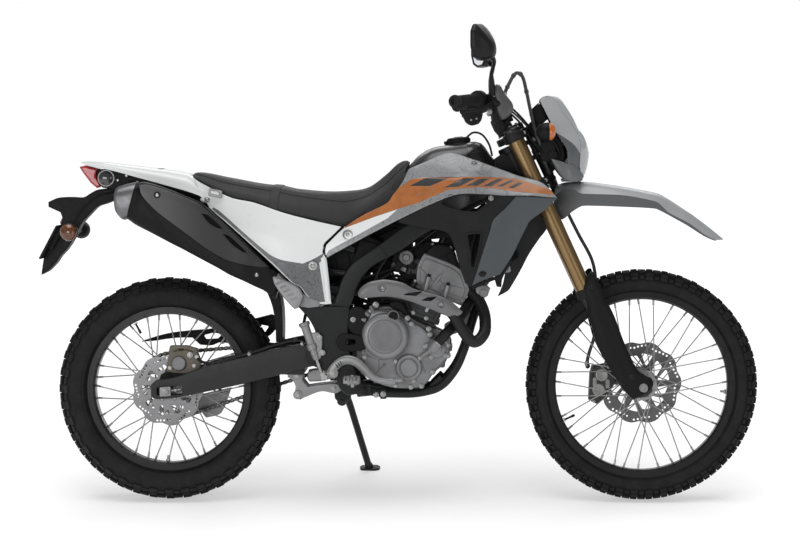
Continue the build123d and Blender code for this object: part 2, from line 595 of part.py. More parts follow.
for part, label in ((frame_head, "frame_head"), (frame_spars, "frame_spars"), (pivot_plates.part, "pivot_plates"),
                    (engine_cradle, "engine_cradle"), (subframe, "subframe"), (swingarm.part, "swingarm"),
                    (rear_shock, "rear_shock"), (crankcase, "crankcase"), (cylinder_and_head, "cylinder_and_head"),
                    (engine_covers, "engine_covers"), (join(airbox, throttle_body), "airbox"),
                    (exhaust_header, "exhaust_header"), (silencer, "silencer"),
                    (silencer_end_cap, "silencer_end_cap"), (heat_shield, "heat_shield"), (radiator, "radiator")):
    write(part, label)

# ------------------------------------------------------------------ tank, seat, bodywork
TANK_SIDE = [(742, 1030), (769, 1060), (815, 1085), (892, 1093), (938, 1099), (963, 1091), (984, 1063), (1000, 1043),
             (985, 1010), (940, 960), (860, 900), (760, 850), (700, 850), (700, 900)]
tank_blank = block(TANK_SIDE, [(690, 112), (800, 128), (900, 118), (1005, 52)],
                   [(-128, 840), (-128, 980), (-60, 1100), (60, 1100), (128, 980), (128, 840)], 690, 1010, 24)
fuel_tank = cut(tank_blank, frame_spars, frame_head,
                slab([(690, 800), (690, 880), (740, 890), (860, 940), (1010, 1010), (1010, 800)], 88, -88))
CAP_PLANE = Plane(origin=(892, 0, 1086), x_dir=(1, 0, 0.09), z_dir=(-0.09, 0, 1))
with BuildPart() as cap:
    with BuildSketch(CAP_PLANE):
        Circle(36)
    extrude(amount=26)
fuel_cap = cut(cap.part, fuel_tank)

SEAT_SIDE = [(76, 996), (91, 1008), (184, 992), (307, 970), (399, 956), (507, 948), (584, 953), (615, 962), (670, 1000),
             (710, 1037), (735, 1043), (741, 1034), (717, 978), (683, 932), (623, 893), (543, 846), (472, 861),
             (365, 888), (274, 919), (204, 934), (119, 974)]
seat_blank = block(SEAT_SIDE, [(70, 70), (160, 104), (330, 128), (470, 132), (600, 112), (700, 84), (745, 80)],
                   [(-134, 830), (-134, 900), (-104, 1050), (104, 1050), (134, 900), (134, 830)], 60, 760, 18)
seat = cut(seat_blank, fuel_tank, subframe, airbox)

PANEL_SIDE = [(88, 990), (119, 971), (204, 931), (274, 916), (365, 885), (472, 858), (541, 843), (488, 793), (484, 768),
              (493, 753), (508, 612), (455, 615), (414, 662), (391, 675), (263, 794), (143, 896), (122, 927)]
side_panels = both_sides(cut(panel(PANEL_SIDE, [(60, -112), (250, -150), (400, -158), (560, -150)], 4, 800, 0.12, 600, 1000),
                             silencer, seat, frame_spars, exhaust_header, subframe))

SHROUD_SIDE = [(741, 1017), (774, 1032), (835, 1059), (871, 1066), (926, 1050), (1016, 1018), (1076, 996), (1136, 980),
               (1160, 962), (1187, 931), (1064, 938), (1016, 939), (977, 942), (891, 942), (812, 914), (716, 868),
               (655, 837), (594, 805), (495, 751), (489, 768), (493, 790), (545, 838), (594, 873), (640, 896),
               (679, 917), (694, 940), (711, 961), (726, 985)]
SHROUD_PLAN = [(480, -146), (600, -152), (700, -158), (850, -182), (1000, -200), (1190, -206)]
shroud_upper = panel(SHROUD_SIDE, SHROUD_PLAN, 5, 900, 0.28, 740, 1080)
radiator_shrouds = both_sides(cut(shroud_upper, fuel_tank, frame_spars, seat, side_panels))

LOWER_SIDE = [(1064, 937), (1186, 930), (1151, 896), (1106, 863), (1097, 848), (1046, 746), (1016, 701), (971, 686),
              (931, 667), (943, 700), (964, 767), (985, 830), (997, 867), (1033, 902)]
shroud_lower = both_sides(cut(panel(LOWER_SIDE, [(900, -186), (1000, -202), (1190, -208)], 5, 900, 0.06, 640, 960),
                              radiator_shrouds))
INNER_SIDE = [(741, 850), (800, 838), (844, 832), (862, 822), (875, 795), (896, 721), (911, 676), (929, 664),
              (943, 700), (964, 767), (985, 830), (997, 867), (1033, 902), (1064, 936), (1016, 938), (977, 941),
              (891, 941), (812, 913)]
with BuildPart() as shroud_inner_right:
    add(panel(INNER_SIDE, [(720, -146), (860, -164), (1000, -184), (1080, -192)], 5, 800, 0.10, 640, 960))
    # the open triangle and the slot below it
    add(slab([(842, 917), (861, 932), (891, 936), (974, 936), (1004, 932), (968, 907), (942, 893), (870, 903)], -100, -260),
        mode=Mode.SUBTRACT)
shroud_inners = both_sides(cut(shroud_inner_right.part, radiator_shrouds, shroud_lower, frame_spars, fuel_tank))

TAIL_SIDE = [(-266, 1042), (-205, 1041), (-161, 1036), (-63, 1024), (73, 1003), (73, 994), (117, 974), (120, 970), (121, 929), (105, 939),
             (-16, 975), (-90, 995), (-171, 1016), (-245, 1030)]
tail_out = block(TAIL_SIDE, [(-270, 44), (-180, 74), (-60, 96), (125, 118)],
                 [(-120, 900), (-120, 990), (-70, 1050), (70, 1050), (120, 990), (120, 900)], -275, 125, 12)
tail_in = block([(x, z - 5) for x, z in TAIL_SIDE[:5]] + [(130, 990), (130, 890), (-16, 890), (-245, 980), (-266, 1000)],
                [(-262, 38), (-180, 69), (-60, 91), (130, 113)],
                [(-115, 880), (-115, 988), (-68, 1046), (68, 1046), (115, 988), (115, 880)], -275, 130, 10)
tail_fender = cut(tail_out, tail_in, seat, side_panels, silencer, subframe)

TAIL_LIGHT = [(-271, 1026), (-251, 1029), (-211, 1017), (-217, 999), (-199, 967), (-216, 960), (-236, 977), (-257, 1005)]
tail_light = cut(slab(TAIL_LIGHT, 50, -50), tail_fender)

# black rear mudguard: under-tail, plate bracket and the inner guard over the tyre
under_tail = slab([(-211, 1012), (-110, 990), (120, 925), (120, 915), (-40, 958), (-99, 973), (-150, 958), (-198, 964), (-216, 998)], 56, -56)
holder = slab([(-366, 918), (-332, 932), (-261, 932), (-215, 954), (-150, 962), (-166, 922), (-215, 904), (-261, 857), (-300, 790),
               (-332, 751), (-353, 723), (-393, 694), (-384, 752), (-341, 843), (-325, 870), (-332, 886), (-366, 903)], 30, -30)
inner_guard = slab([(-150, 958), (0, 925), (130, 868), (240, 780), (318, 690), (350, 600), (352, 488), (344, 488),
                    (342, 598), (311, 685), (234, 774), (126, 861), (-2, 917), (-150, 950)], 58, -58)
rear_mudguard = cut(join(under_tail, holder, inner_guard), tail_light, tail_fender, subframe, airbox, rear_shock, swingarm.part)
plate_plane = Plane(origin=(-349, 0, 820), x_dir=(0, 1, 0), z_dir=(-0.86, 0, 0.51))
number_plate = cut(bar_along((170, 2, 0.9), Plane(origin=(-330, 0, 842), x_dir=(0, 1, 0), z_dir=(-0.51, 0, -0.86)), 120), rear_mudguard)

rear_indicators = both_sides(cut(join(rod((-292, -30, 826), (-292, -92, 826), 8), rod((-270, -118, 832), (-318, -118, 822), 28)),
                                 rear_mudguard, number_plate))

for part, label in ((fuel_tank, "fuel_tank"), (fuel_cap, "fuel_cap"), (seat, "seat"), (side_panels, "side_panels"),
                    (radiator_shrouds, "radiator_shrouds"), (shroud_lower, "shroud_lower"), (shroud_inners, "shroud_inners"),
                    (tail_fender, "tail_fender"), (tail_light, "tail_light"), (rear_mudguard, "rear_mudguard"),
                    (number_plate, "number_plate"), (rear_indicators, "rear_indicators")):
    write(part, label)

# ------------------------------------------------------------------ chain, rear brake, foot controls
CHAIN_R, DRIVE = 103.0, (530.0, 453.0, 36.0)


def belt(dr):
    """Outline around both sprockets, dr outside the pitch line."""
    r0, r1 = CHAIN_R + dr, DRIVE[2] + dr
    dx, dz = DRIVE[0] - RX, DRIVE[1] - RZ
    d, base = math.hypot(dx, dz), math.atan2(dz, dx)
    spread = math.acos((r0 - r1) / d)
    pts = {}
    for key, s in (("u", 1), ("l", -1)):
        a = base + s * spread
        pts[key] = ((RX + r0 * math.cos(a), RZ + r0 * math.sin(a)), (DRIVE[0] + r1 * math.cos(a), DRIVE[1] + r1 * math.sin(a)))
    rear_mid = (RX - r0 * math.cos(base), RZ - r0 * math.sin(base))
    front_mid = (DRIVE[0] + r1 * math.cos(base), DRIVE[1] + r1 * math.sin(base))
    return pts, rear_mid, front_mid


with BuildPart() as chain:
    for dr, mode in ((6, Mode.ADD), (-6, Mode.SUBTRACT)):
        pts, rear_mid, front_mid = belt(dr)
        with BuildSketch(side_plane(82)):
            with BuildLine():
                Line(pts["u"][0], pts["u"][1])
                ThreePointArc(pts["u"][1], front_mid, pts["l"][1])
                Line(pts["l"][1], pts["l"][0])
                ThreePointArc(pts["l"][0], rear_mid, pts["u"][0])
            make_face()
        extrude(amount=16, mode=mode)

chain_guards = join(slab([(-98, 480), (124, 512), (330, 524), (330, 480), (124, 470), (-40, 462)], 87.5, 84.5),
                    slab([(-98, 486), (124, 518), (330, 530), (330, 524), (124, 512), (-98, 480)], 87.5, 65))

rear_caliper = join(
    cut(slab([(-2, 398), (6, 474), (40, 482), (100, 470), (108, 420), (84, 396)], -50, -83, 6),
        slab([(-20, 380), (-20, 500), (120, 500), (120, 380)], -62.2, -73.0)),
    cut(slab([(6, 462), (10, 480), (92, 474), (96, 452)], -50, -83), rod((RX, -62.2, RZ), (RX, -73.0, RZ), 116)))
master = join(slab([(422, 562), (447, 562), (462, 462), (444, 458)], -137, -152, 4),
              rod((455, -144, 470), (474, -144, 400), 7))
rear_brake = cut(join(rear_caliper, master), swingarm.part)

pedal = join(pipe([(516, -140, 402), (538, -148, 438), (562, -152, 447), (602, -154, 430), (650, -160, 390), (700, -162, 384)], 6.5),
             slab([(696, 394), (716, 392), (718, 380), (698, 376)], -152, -176, 4),
             rod((516, -134, 402), (516, -150, 402), 14))
shifter = join(pipe([(604, 120, 400), (640, 150, 400), (690, 158, 404), (742, 160, 408)], 6),
               rod((742, 150, 408), (742, 190, 408), 10), rod((604, 96, 400), (604, 124, 400), 10))
foot_controls = cut(join(pedal, shifter), engine_covers, crankcase, pivot_plates.part)

rider_peg = join(slab([(546, 394), (592, 394), (592, 376), (546, 376)], -176, -236, 3),
                 slab([(548, 396), (586, 396), (586, 366), (548, 366)], -134, -176, 3))
rear_peg = slab([(330, 697), (349, 694), (412, 660), (425, 637), (407, 600), (395, 600), (365, 634)], -166, -186, 4)
rear_peg = cut(join(rear_peg, slab([(396, 664), (424, 640), (470, 620), (470, 604), (420, 604), (396, 630)], -134, -166, 4)),
               side_panels, silencer, exhaust_header, pivot_plates.part, frame_spars)
foot_pegs = cut(both_sides(join(rider_peg, rear_peg)), foot_controls)

for part, label in ((chain.part, "chain"), (chain_guards, "chain_guard"), (rear_brake, "rear_brake"),
                    (join(foot_controls, foot_pegs), "foot_controls_and_pegs")):
    write(part, label)

# ------------------------------------------------------------------ side stand
STAND_FOOT_X, STAND_FOOT_Y = 604.0, 312.0  # in the parked frame, before its shift
cl, sl = math.cos(math.radians(LEAN)), math.sin(math.radians(LEAN))


def unlean(x, y, z):
    """Point given over the parked ground, in the upright frame."""
    z = z - GROUND_LIFT
    return (x, y * cl - z * sl, y * sl + z * cl)


foot_low = unlean(STAND_FOOT_X, STAND_FOOT_Y, 0)
foot_top = unlean(STAND_FOOT_X - 4, STAND_FOOT_Y - 8, 12)
FOOT_PLANE = Plane(origin=foot_low, x_dir=(1, 0, 0), z_dir=(0, -sl, cl))
with BuildPart() as side_stand:
    with BuildSketch(FOOT_PLANE):
        RectangleRounded(64, 44, 14)
    extrude(amount=9)
    add(pipe([STAND_PIVOT, (546, 190, 272), foot_top], 10))
    add(rod(tuple(Vector(*STAND_PIVOT) - STAND_AXIS * 12), tuple(Vector(*STAND_PIVOT) + STAND_AXIS * 12), 16))
write(side_stand.part, "side_stand")


def parked_point(x, y, z):
    v = PARK.position
    return (x + v.X, y * cl + z * sl + v.Y, -y * sl + z * cl + v.Z)


if __name__ == "__main__":
    print("steering", parked_point(*tuple(steer(760, 0))), (-sa, ca * sl, ca * cl))
    print("front axle", parked_point(FX, 0, FZ), "rear axle", parked_point(RX, 0, RZ), (0, cl, -sl))
    print("stand", parked_point(*STAND_PIVOT), parked_point(*foot_low))
    print("hose radii", [round(r) for r in bend_radii(HOSE)])
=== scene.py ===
import json
import math

import bpy
import bmesh
import numpy as np
from mathutils import Matrix, Vector, geometry


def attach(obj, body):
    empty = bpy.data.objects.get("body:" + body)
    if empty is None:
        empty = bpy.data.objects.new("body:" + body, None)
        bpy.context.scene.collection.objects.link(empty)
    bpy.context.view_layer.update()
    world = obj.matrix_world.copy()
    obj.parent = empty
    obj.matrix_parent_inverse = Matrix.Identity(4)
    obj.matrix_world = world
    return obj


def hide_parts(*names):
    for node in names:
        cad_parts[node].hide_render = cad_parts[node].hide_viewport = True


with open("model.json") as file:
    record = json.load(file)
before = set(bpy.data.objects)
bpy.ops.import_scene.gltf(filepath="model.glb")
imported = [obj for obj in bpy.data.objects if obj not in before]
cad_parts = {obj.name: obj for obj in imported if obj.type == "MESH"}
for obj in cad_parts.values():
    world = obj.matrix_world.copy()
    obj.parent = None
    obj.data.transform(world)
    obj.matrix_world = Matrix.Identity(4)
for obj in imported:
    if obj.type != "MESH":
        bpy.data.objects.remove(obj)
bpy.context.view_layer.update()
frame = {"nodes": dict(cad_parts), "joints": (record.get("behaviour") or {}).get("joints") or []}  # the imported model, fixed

# ---------------------------------------------------------------- the bike's own frame
# Everything below is written in millimetres on the upright bike: rear axle over x = 0,
# +X forward, +Y to the rider's left, +Z up. M lays it over on the stand, in metres.
LEAN = math.radians(10)
WHEELS = {j["name"]: Vector(j["pos_m"]) for j in frame["joints"]}
TURN = Matrix.Rotation(-LEAN, 4, "X")
M = (Matrix.Translation(WHEELS["rear_wheel_spin"] - TURN @ Vector((0, 0, 0.343)))
     @ TURN @ Matrix.Scale(0.001, 4))

FX, FZ, RX, RZ = 1450.0, 355.0, 0.0, 343.0
RAKE = math.radians(24.5)
CA, SA = math.cos(RAKE), math.sin(RAKE)
STEER_X, STEER_Z = FX - 67.7 * CA, FZ - 67.7 * SA

STAND_PIVOT = (530.0, 158.0, 318.0)
STAND_AXIS = (0.139, 0.726, 0.621)


def steer(t, f, y=0.0):
    """Point t up the steering axis, f ahead of it, y to the left."""
    return Vector((STEER_X - t * SA + f * CA, y, STEER_Z + t * CA + f * SA))


STEER_UP = Vector((-SA, 0, CA))
STEER_FORE = Vector((CA, 0, SA))
LEFT = Vector((0, 1, 0))


# ---------------------------------------------------------------- curves and tables
def vec(p):
    return p if isinstance(p, Vector) else Vector(p)


def catmull(points, step=8.0, closed=False, corner=200.0):
    """Smooth line through the points; it stays sharp where it turns by more than corner degrees."""
    pts = [vec(p) for p in points]
    n = len(pts)

    def at(i):
        return pts[i % n] if closed else pts[min(max(i, 0), n - 1)]

    def sharp(i):
        if not closed and (i <= 0 or i >= n - 1):
            return True
        a, b = at(i) - at(i - 1), at(i + 1) - at(i)
        return a.length < 1e-6 or b.length < 1e-6 or math.degrees(a.angle(b)) > corner

    out = []
    for i in range(n if closed else n - 1):
        p1, p2 = at(i), at(i + 1)
        d = (p2 - p1).length
        t1 = (p2 - p1) if sharp(i) else (p2 - at(i - 1)) * (d / max((p2 - p1).length + (p1 - at(i - 1)).length, 1e-6))
        t2 = (p2 - p1) if sharp(i + 1) else (at(i + 2) - p1) * (d / max((at(i + 2) - p2).length + d, 1e-6))
        k = max(1, int(math.ceil(d / step)))
        for j in range(k):
            t = j / k
            h1, h2 = 2 * t**3 - 3 * t**2 + 1, -2 * t**3 + 3 * t**2
            h3, h4 = t**3 - 2 * t**2 + t, t**3 - t**2
            out.append(p1 * h1 + p2 * h2 + t1 * h3 + t2 * h4)
    if not closed:
        out.append(pts[-1].copy())
    return out


def rounded(points, share=0.42, per=6, limit=1e9):
    """Straight runs with a rounded corner at each inner point (a parabola inside the corner)."""
    pts = [vec(p) for p in points]
    out = [pts[0]]
    for a, b, c in zip(pts, pts[1:], pts[2:]):
        d = min((b - a).length, (c - b).length) * share
        d = min(d, limit)
        p, q = b + (a - b).normalized() * d, b + (c - b).normalized() * d
        for j in range(per + 1):
            t = j / per
            out.append(p * (1 - t) ** 2 + b * 2 * t * (1 - t) + q * t * t)
    out.append(pts[-1])
    keep = [out[0]]
    for p in out[1:]:
        if (p - keep[-1]).length > 0.05:
            keep.append(p)
    return keep


def fillet(points, r, per=4):
    """Closed 2-D outline with its corners rounded to about radius r."""
    pts = [Vector(p[:2]) for p in points]
    n, out = len(pts), []
    for i in range(n):
        a, b, c = pts[i - 1], pts[i], pts[(i + 1) % n]
        u, w = (a - b), (c - b)
        turn = math.pi - u.angle(w)
        d = min(r * math.tan(turn / 2), 0.45 * u.length, 0.45 * w.length)
        p, q = b + u.normalized() * d, b + w.normalized() * d
        if turn < 0.06:
            out.append(b)
            continue
        k = max(2, int(per * turn / 1.2))
        for j in range(k + 1):
            t = j / k
            out.append(p * (1 - t) ** 2 + b * 2 * t * (1 - t) + q * t * t)
    return clean(out)


def clean(pts, gap=0.15):
    keep = []
    for p in pts:
        if not keep or (p - keep[-1]).length > gap:
            keep.append(p)
    if len(keep) > 1 and (keep[0] - keep[-1]).length <= gap:
        keep.pop()
    return keep


def smooth2(points, step=7.0, corner=38.0):
    """Closed 2-D outline smoothed through its points, sharp at strong corners."""
    return clean([Vector(p[:2]) for p in catmull([Vector((p[0], p[1], 0)) for p in points], step, True, corner)], 0.4)


def table(rows):
    """Smooth function through (x, value) rows."""
    xs = np.array([r[0] for r in rows], float)
    ys = np.array([r[1] for r in rows], float)
    d = np.diff(ys) / np.diff(xs)
    m = np.zeros_like(ys)
    m[0], m[-1] = d[0], d[-1]
    for i in range(1, len(xs) - 1):
        m[i] = 0 if d[i - 1] * d[i] <= 0 else 2 * d[i - 1] * d[i] / (d[i - 1] + d[i])

    def f(x):
        x = min(max(x, xs[0]), xs[-1])
        i = min(int(np.searchsorted(xs, x, "right")) - 1, len(xs) - 2)
        h = xs[i + 1] - xs[i]
        t = (x - xs[i]) / h
        return float((2 * t**3 - 3 * t**2 + 1) * ys[i] + (t**3 - 2 * t**2 + t) * h * m[i]
                     + (-2 * t**3 + 3 * t**2) * ys[i + 1] + (t**3 - t**2) * h * m[i + 1])
    return f


def ease(a, b, x):
    t = min(max((x - a) / (b - a), 0.0), 1.0)
    return t * t * (3 - 2 * t)


def inside(poly, x, y):
    hit = False
    n = len(poly)
    for i in range(n):
        x0, y0 = poly[i][0], poly[i][1]
        x1, y1 = poly[(i + 1) % n][0], poly[(i + 1) % n][1]
        if (y0 > y) != (y1 > y) and x < (x1 - x0) * (y - y0) / (y1 - y0) + x0:
            hit = not hit
    return hit


def area2(poly):
    return sum(poly[i - 1][0] * poly[i][1] - poly[i][0] * poly[i - 1][1] for i in range(len(poly))) / 2


def inset(poly, d):
    """The closed outline moved inwards by d, vertex by vertex."""
    s = 1 if area2(poly) > 0 else -1
    n, out = len(poly), []
    for i in range(n):
        a, b, c = Vector(poly[i - 1][:2]), Vector(poly[i][:2]), Vector(poly[(i + 1) % n][:2])
        u, w = (b - a).normalized(), (c - b).normalized()
        nu, nw = Vector((-u.y, u.x)) * s, Vector((-w.y, w.x)) * s
        k = nu + nw
        if k.length < 0.3:
            k = nu
        k = k / max(k.dot(nu), 0.35)
        out.append(b + k * d)
    return out


def edge_distance(poly, p):
    a = np.array([(q[0], q[1]) for q in poly])
    b = np.roll(a, -1, axis=0)
    d = b - a
    t = np.clip(((p - a) * d).sum(1) / np.maximum((d * d).sum(1), 1e-9), 0, 1)
    q = a + d * t[:, None]
    return float(np.sqrt(((q - p) ** 2).sum(1)).min())


# ---------------------------------------------------------------- mesh building
class Kit:
    """Collects faces, in bike millimetres."""

    def __init__(self):
        self.v, self.f, self.m = [], [], []

    def add(self, verts, faces, mat=0):
        n = len(self.v)
        self.v.extend((float(p[0]), float(p[1]), float(p[2])) for p in verts)
        self.f.extend(tuple(i + n for i in f) for f in faces)
        self.m.extend([mat] * len(faces) if isinstance(mat, int) else mat)
        return self

    def mirror(self):
        n = len(self.v)
        self.v.extend([(x, -y, z) for x, y, z in self.v])
        self.f.extend([tuple(i + n for i in reversed(f)) for f in list(self.f)])
        self.m.extend(list(self.m))
        return self

    def join(self, other, shift=(0, 0, 0), flip=False):
        n = len(self.v)
        s = -1 if flip else 1
        self.v.extend([(x + shift[0], s * y + shift[1], z + shift[2]) for x, y, z in other.v])
        self.f.extend([tuple(i + n for i in (reversed(f) if flip else f)) for f in other.f])
        self.m.extend(other.m)
        return self

    # -- solids of revolution
    def lathe(self, origin, axis, profile, segs=32, mat=0, ref=None):
        """profile: (along axis, radius). Ends with radius 0 close to a point."""
        o, w = vec(origin), vec(axis).normalized()
        h = vec(ref) if ref is not None else (Vector((0, 0, 1)) if abs(w.z) < 0.9 else Vector((1, 0, 0)))
        u = (h - w * h.dot(w)).normalized()
        v = w.cross(u)
        verts, rings = [], []
        for a, r in profile:
            if r < 1e-6:
                rings.append([len(verts)])
                verts.append(o + w * a)
            else:
                rings.append(list(range(len(verts), len(verts) + segs)))
                for i in range(segs):
                    t = 2 * math.pi * i / segs
                    verts.append(o + w * a + (u * math.cos(t) + v * math.sin(t)) * r)
        faces = []
        for p, q in zip(rings, rings[1:]):
            for i in range(segs):
                j = (i + 1) % segs
                if len(p) == 1 and len(q) == 1:
                    continue
                if len(p) == 1:
                    faces.append((p[0], q[j], q[i]))
                elif len(q) == 1:
                    faces.append((p[i], p[j], q[0]))
                else:
                    faces.append((p[i], p[j], q[j], q[i]))
        return self.add(verts, faces, mat)

    def turned(self, origin, axis, outline, segs=48, mat=0):
        """Closed (along axis, radius) outline turned into a ring."""
        return self.lathe(origin, axis, list(outline) + [outline[0]], segs, mat)

    def cyl(self, a, b, r, segs=20, mat=0, edge=None, r2=None):
        a, b = vec(a), vec(b)
        L = (b - a).length
        r2 = r if r2 is None else r2
        e = min(0.18 * min(r, r2), 0.3 * L, 1.6) if edge is None else edge
        if e <= 0:
            return self.lathe(a, b - a, [(0, 0), (0, r), (L, r2), (L, 0)], segs, mat)
        return self.lathe(a, b - a, [(0, 0), (0, r - e), (0.3 * e, r - 0.3 * e), (e, r), (L - e, r2),
                                     (L - 0.3 * e, r2 - 0.3 * e), (L, r2 - e), (L, 0)], segs, mat)

    def ball(self, c, r, mat=0, segs=16, squash=(1, 1, 1)):
        k = Kit()
        prof = [(-math.cos(math.pi * i / 8) * r, math.sin(math.pi * i / 8) * r) for i in range(9)]
        prof[0], prof[-1] = (-r, 0), (r, 0)
        k.lathe((0, 0, 0), (0, 0, 1), prof, segs, mat)
        k.v = [(x * squash[0] + c[0], y * squash[1] + c[1], z * squash[2] + c[2]) for x, y, z in k.v]
        return self.join(k)

    def bolt(self, c, axis, r=6.0, h=5.0, mat=0, kind="hex", washer=0.0, sink=None):
        """A bolt head standing on c along axis: hex, allen, or button."""
        c, w = vec(c), vec(axis).normalized()
        if washer:
            self.cyl(c - w * 1, c + w * 1.4, washer, 20, mat)
            c = c + w * 1.2
        hh = Vector((0, 0, 1)) if abs(w.z) < 0.9 else Vector((1, 0, 0))
        if kind == "hex":
            self.cyl(c - w * 1, c + w * 1.2, r * 1.28, 20, mat)
            self.lathe(c, w, [(0, 0), (0, r), (h - 0.8, r), (h, r * 0.86), (h, 0)], 6, mat)
            self.cyl(c + w * (h - 0.4), c + w * (h + 0.5), r * 0.5, 12, mat)
        else:
            k = r * 0.55
            top = h if kind == "allen" else h * 0.7
            prof = [(0, 0), (0, r), (top - 1, r), (top, r - 1), (top, k), (top - h * 0.45, k * 0.96), (top - h * 0.45, 0)]
            if kind == "button":
                prof = [(0, 0), (0, r), (top * 0.45, r * 0.94), (top * 0.85, r * 0.72), (top, k), (top - h * 0.4, k * 0.96), (top - h * 0.4, 0)]
            self.lathe(c, w, prof, 18, mat)
        return self

    # -- tubes
    def tube(self, pts, r, segs=14, mat=0, caps=True, flat=None, up=None):
        """Round (or flattened) tube along points. r is a number or one per point."""
        pts = [vec(p) for p in pts]
        n = len(pts)
        rs = list(r) if hasattr(r, "__len__") else [r] * n
        tan = []
        for i in range(n):
            a, b = pts[max(i - 1, 0)], pts[min(i + 1, n - 1)]
            tan.append((b - a).normalized())
        h = vec(up) if up is not None else (Vector((0, 0, 1)) if abs(tan[0].z) < 0.9 else Vector((1, 0, 0)))
        u = (h - tan[0] * h.dot(tan[0])).normalized()
        verts, faces = [], []
        for i in range(n):
            if up is not None:
                u = (vec(up) - tan[i] * vec(up).dot(tan[i])).normalized()
            elif i:
                u = (u - tan[i] * u.dot(tan[i])).normalized()
            v = tan[i].cross(u)
            fu, fv = flat if flat else (1.0, 1.0)
            for k in range(segs):
                t = 2 * math.pi * k / segs
                verts.append(pts[i] + (u * math.cos(t) * fu + v * math.sin(t) * fv) * rs[i])
        for i in range(n - 1):
            for k in range(segs):
                j = (k + 1) % segs
                faces.append((i * segs + k, i * segs + j, (i + 1) * segs + j, (i + 1) * segs + k))
        if caps:
            faces.append(tuple(reversed(range(segs))))
            faces.append(tuple(range((n - 1) * segs, n * segs)))
        return self.add(verts, faces, mat)

    # -- extruded outlines
    def prism(self, outline, place, lo, hi, mat=0, edge=1.5, holes=(), smooth=False):
        """Outline in a plane, filled from lo to hi; place(u, v, w) gives the 3-D point.
        Both rims are rounded by edge."""
        loops = [[Vector(p[:2]) for p in outline]] + [[Vector(p[:2]) for p in h] for h in holes]
        depth = abs(hi - lo)
        e = min(edge, depth * 0.45)
        verts2, edges, ring = [], [], []
        start = []
        for li, loop in enumerate(loops):
            for k, (ins, _) in enumerate(((0.0, 0), (0.3 * e, 0), (e, 0)) if e > 0 else ((0.0, 0),)):
                q = inset(loop, ins if li == 0 else -ins) if ins else loop
                b = len(verts2)
                verts2 += q
                n = len(q)
                edges += [(b + i, b + (i + 1) % n) for i in range(n)]
                start.append((li, k, b, n))
        vo, eo, fo, *_ = geometry.delaunay_2d_cdt(verts2, edges, [], 0, 1e-4)
        outer, inner = loops[0], loops[1:]
        tris = []
        for f in fo:
            cx = sum(vo[i][0] for i in f) / len(f)
            cy = sum(vo[i][1] for i in f) / len(f)
            if inside(outer, cx, cy) and not any(inside(h, cx, cy) for h in inner):
                tris.append(f)
        drop = {}
        for f in tris:
            for i in f:
                if i not in drop:
                    p = np.array((vo[i][0], vo[i][1]))
                    d = min(edge_distance(l, p) for l in loops)
                    drop[i] = 0.0 if e <= 0 or d > 0.65 * e else (e if d < 0.13 * e else 0.3 * e)
        return self._shell(vo, tris, drop, lambda u, v, w: place(u, v, w), lo, hi, mat)

    def _shell(self, vo, tris, drop, place, lo, hi, mat, back=True, edge_mat=None):
        s = 1 if hi > lo else -1
        verts, top, bot = [], {}, {}
        for i in drop:
            top[i] = len(verts)
            verts.append(place(vo[i][0], vo[i][1], hi - s * drop[i]))
            bot[i] = len(verts)
            verts.append(place(vo[i][0], vo[i][1], lo + s * drop[i]))
        count = {}
        for f in tris:
            for a, b in zip(f, f[1:] + f[:1]) if isinstance(f, (list,)) else zip(f, tuple(f[1:]) + tuple(f[:1])):
                count[(a, b)] = 1
        faces, mats = [], []
        for k, f in enumerate(tris):
            mm = mat[k] if isinstance(mat, (list, tuple)) else mat
            faces.append(tuple(top[i] for i in f))
            mats.append(mm)
            faces.append(tuple(bot[i] for i in reversed(f)))
            mats.append(mm if edge_mat is None else edge_mat)
        base = mat if isinstance(mat, int) else (edge_mat if edge_mat is not None else mat[0])
        for (a, b) in count:
            if (b, a) not in count:
                faces.append((top[b], top[a], bot[a], bot[b]))
                mats.append(base)
        return self.add(verts, faces, mats)

    def side(self, outline, y0, y1, mat=0, edge=1.5, holes=()):
        """Side outline (x, z) between two y."""
        return self.prism(outline, lambda u, v, w: (u, w, v), y0, y1, mat, edge, holes)

    def sheet(self, outline, surf, wall, mat=0, step=14.0, edge=2.0, holes=(), regions=(), lines=(), inner_mat=None):
        """Moulded panel: outline (x, z), outer face y = surf(x, z), wall thick towards +y.
        regions: (outline, material) repaint part of it; their borders are followed exactly."""
        loops = [[Vector(p[:2]) for p in outline]] + [[Vector(p[:2]) for p in h] for h in holes]
        verts2, edges = [], []
        e = edge
        for li, loop in enumerate(loops):
            for ins in (0.0, 0.3 * e, e):
                q = inset(loop, ins if li == 0 else -ins) if ins else loop
                b, n = len(verts2), len(q)
                verts2 += q
                edges += [(b + i, b + (i + 1) % n) for i in range(n)]
        core = inset(loops[0], e * 1.6)
        for poly, _ in regions:
            b, n = len(verts2), len(poly)
            verts2 += [Vector(p[:2]) for p in poly]
            edges += [(b + i, b + (i + 1) % n) for i in range(n)]
        for line in lines:
            b, n = len(verts2), len(line)
            verts2 += [Vector(p[:2]) for p in line]
            edges += [(b + i, b + i + 1) for i in range(n - 1)]
        xs, zs = [p[0] for p in loops[0]], [p[1] for p in loops[0]]
        row, z = 0, min(zs) + step / 2
        while z < max(zs):
            x = min(xs) + (step / 2 if row % 2 else 0)
            while x < max(xs):
                if inside(core, x, z) and not any(inside(h, x, z) for h in loops[1:]):
                    if min(edge_distance(l, np.array((x, z))) for l in loops) > step * 0.35 + e:
                        verts2.append(Vector((x, z)))
                x += step
            z += step * 0.866
            row += 1
        vo, eo, fo, *_ = geometry.delaunay_2d_cdt(verts2, edges, [], 0, 1e-4)
        tris, mats = [], []
        for f in fo:
            cx = sum(vo[i][0] for i in f) / len(f)
            cy = sum(vo[i][1] for i in f) / len(f)
            if not inside(loops[0], cx, cy) or any(inside(h, cx, cy) for h in loops[1:]):
                continue
            mm = mat
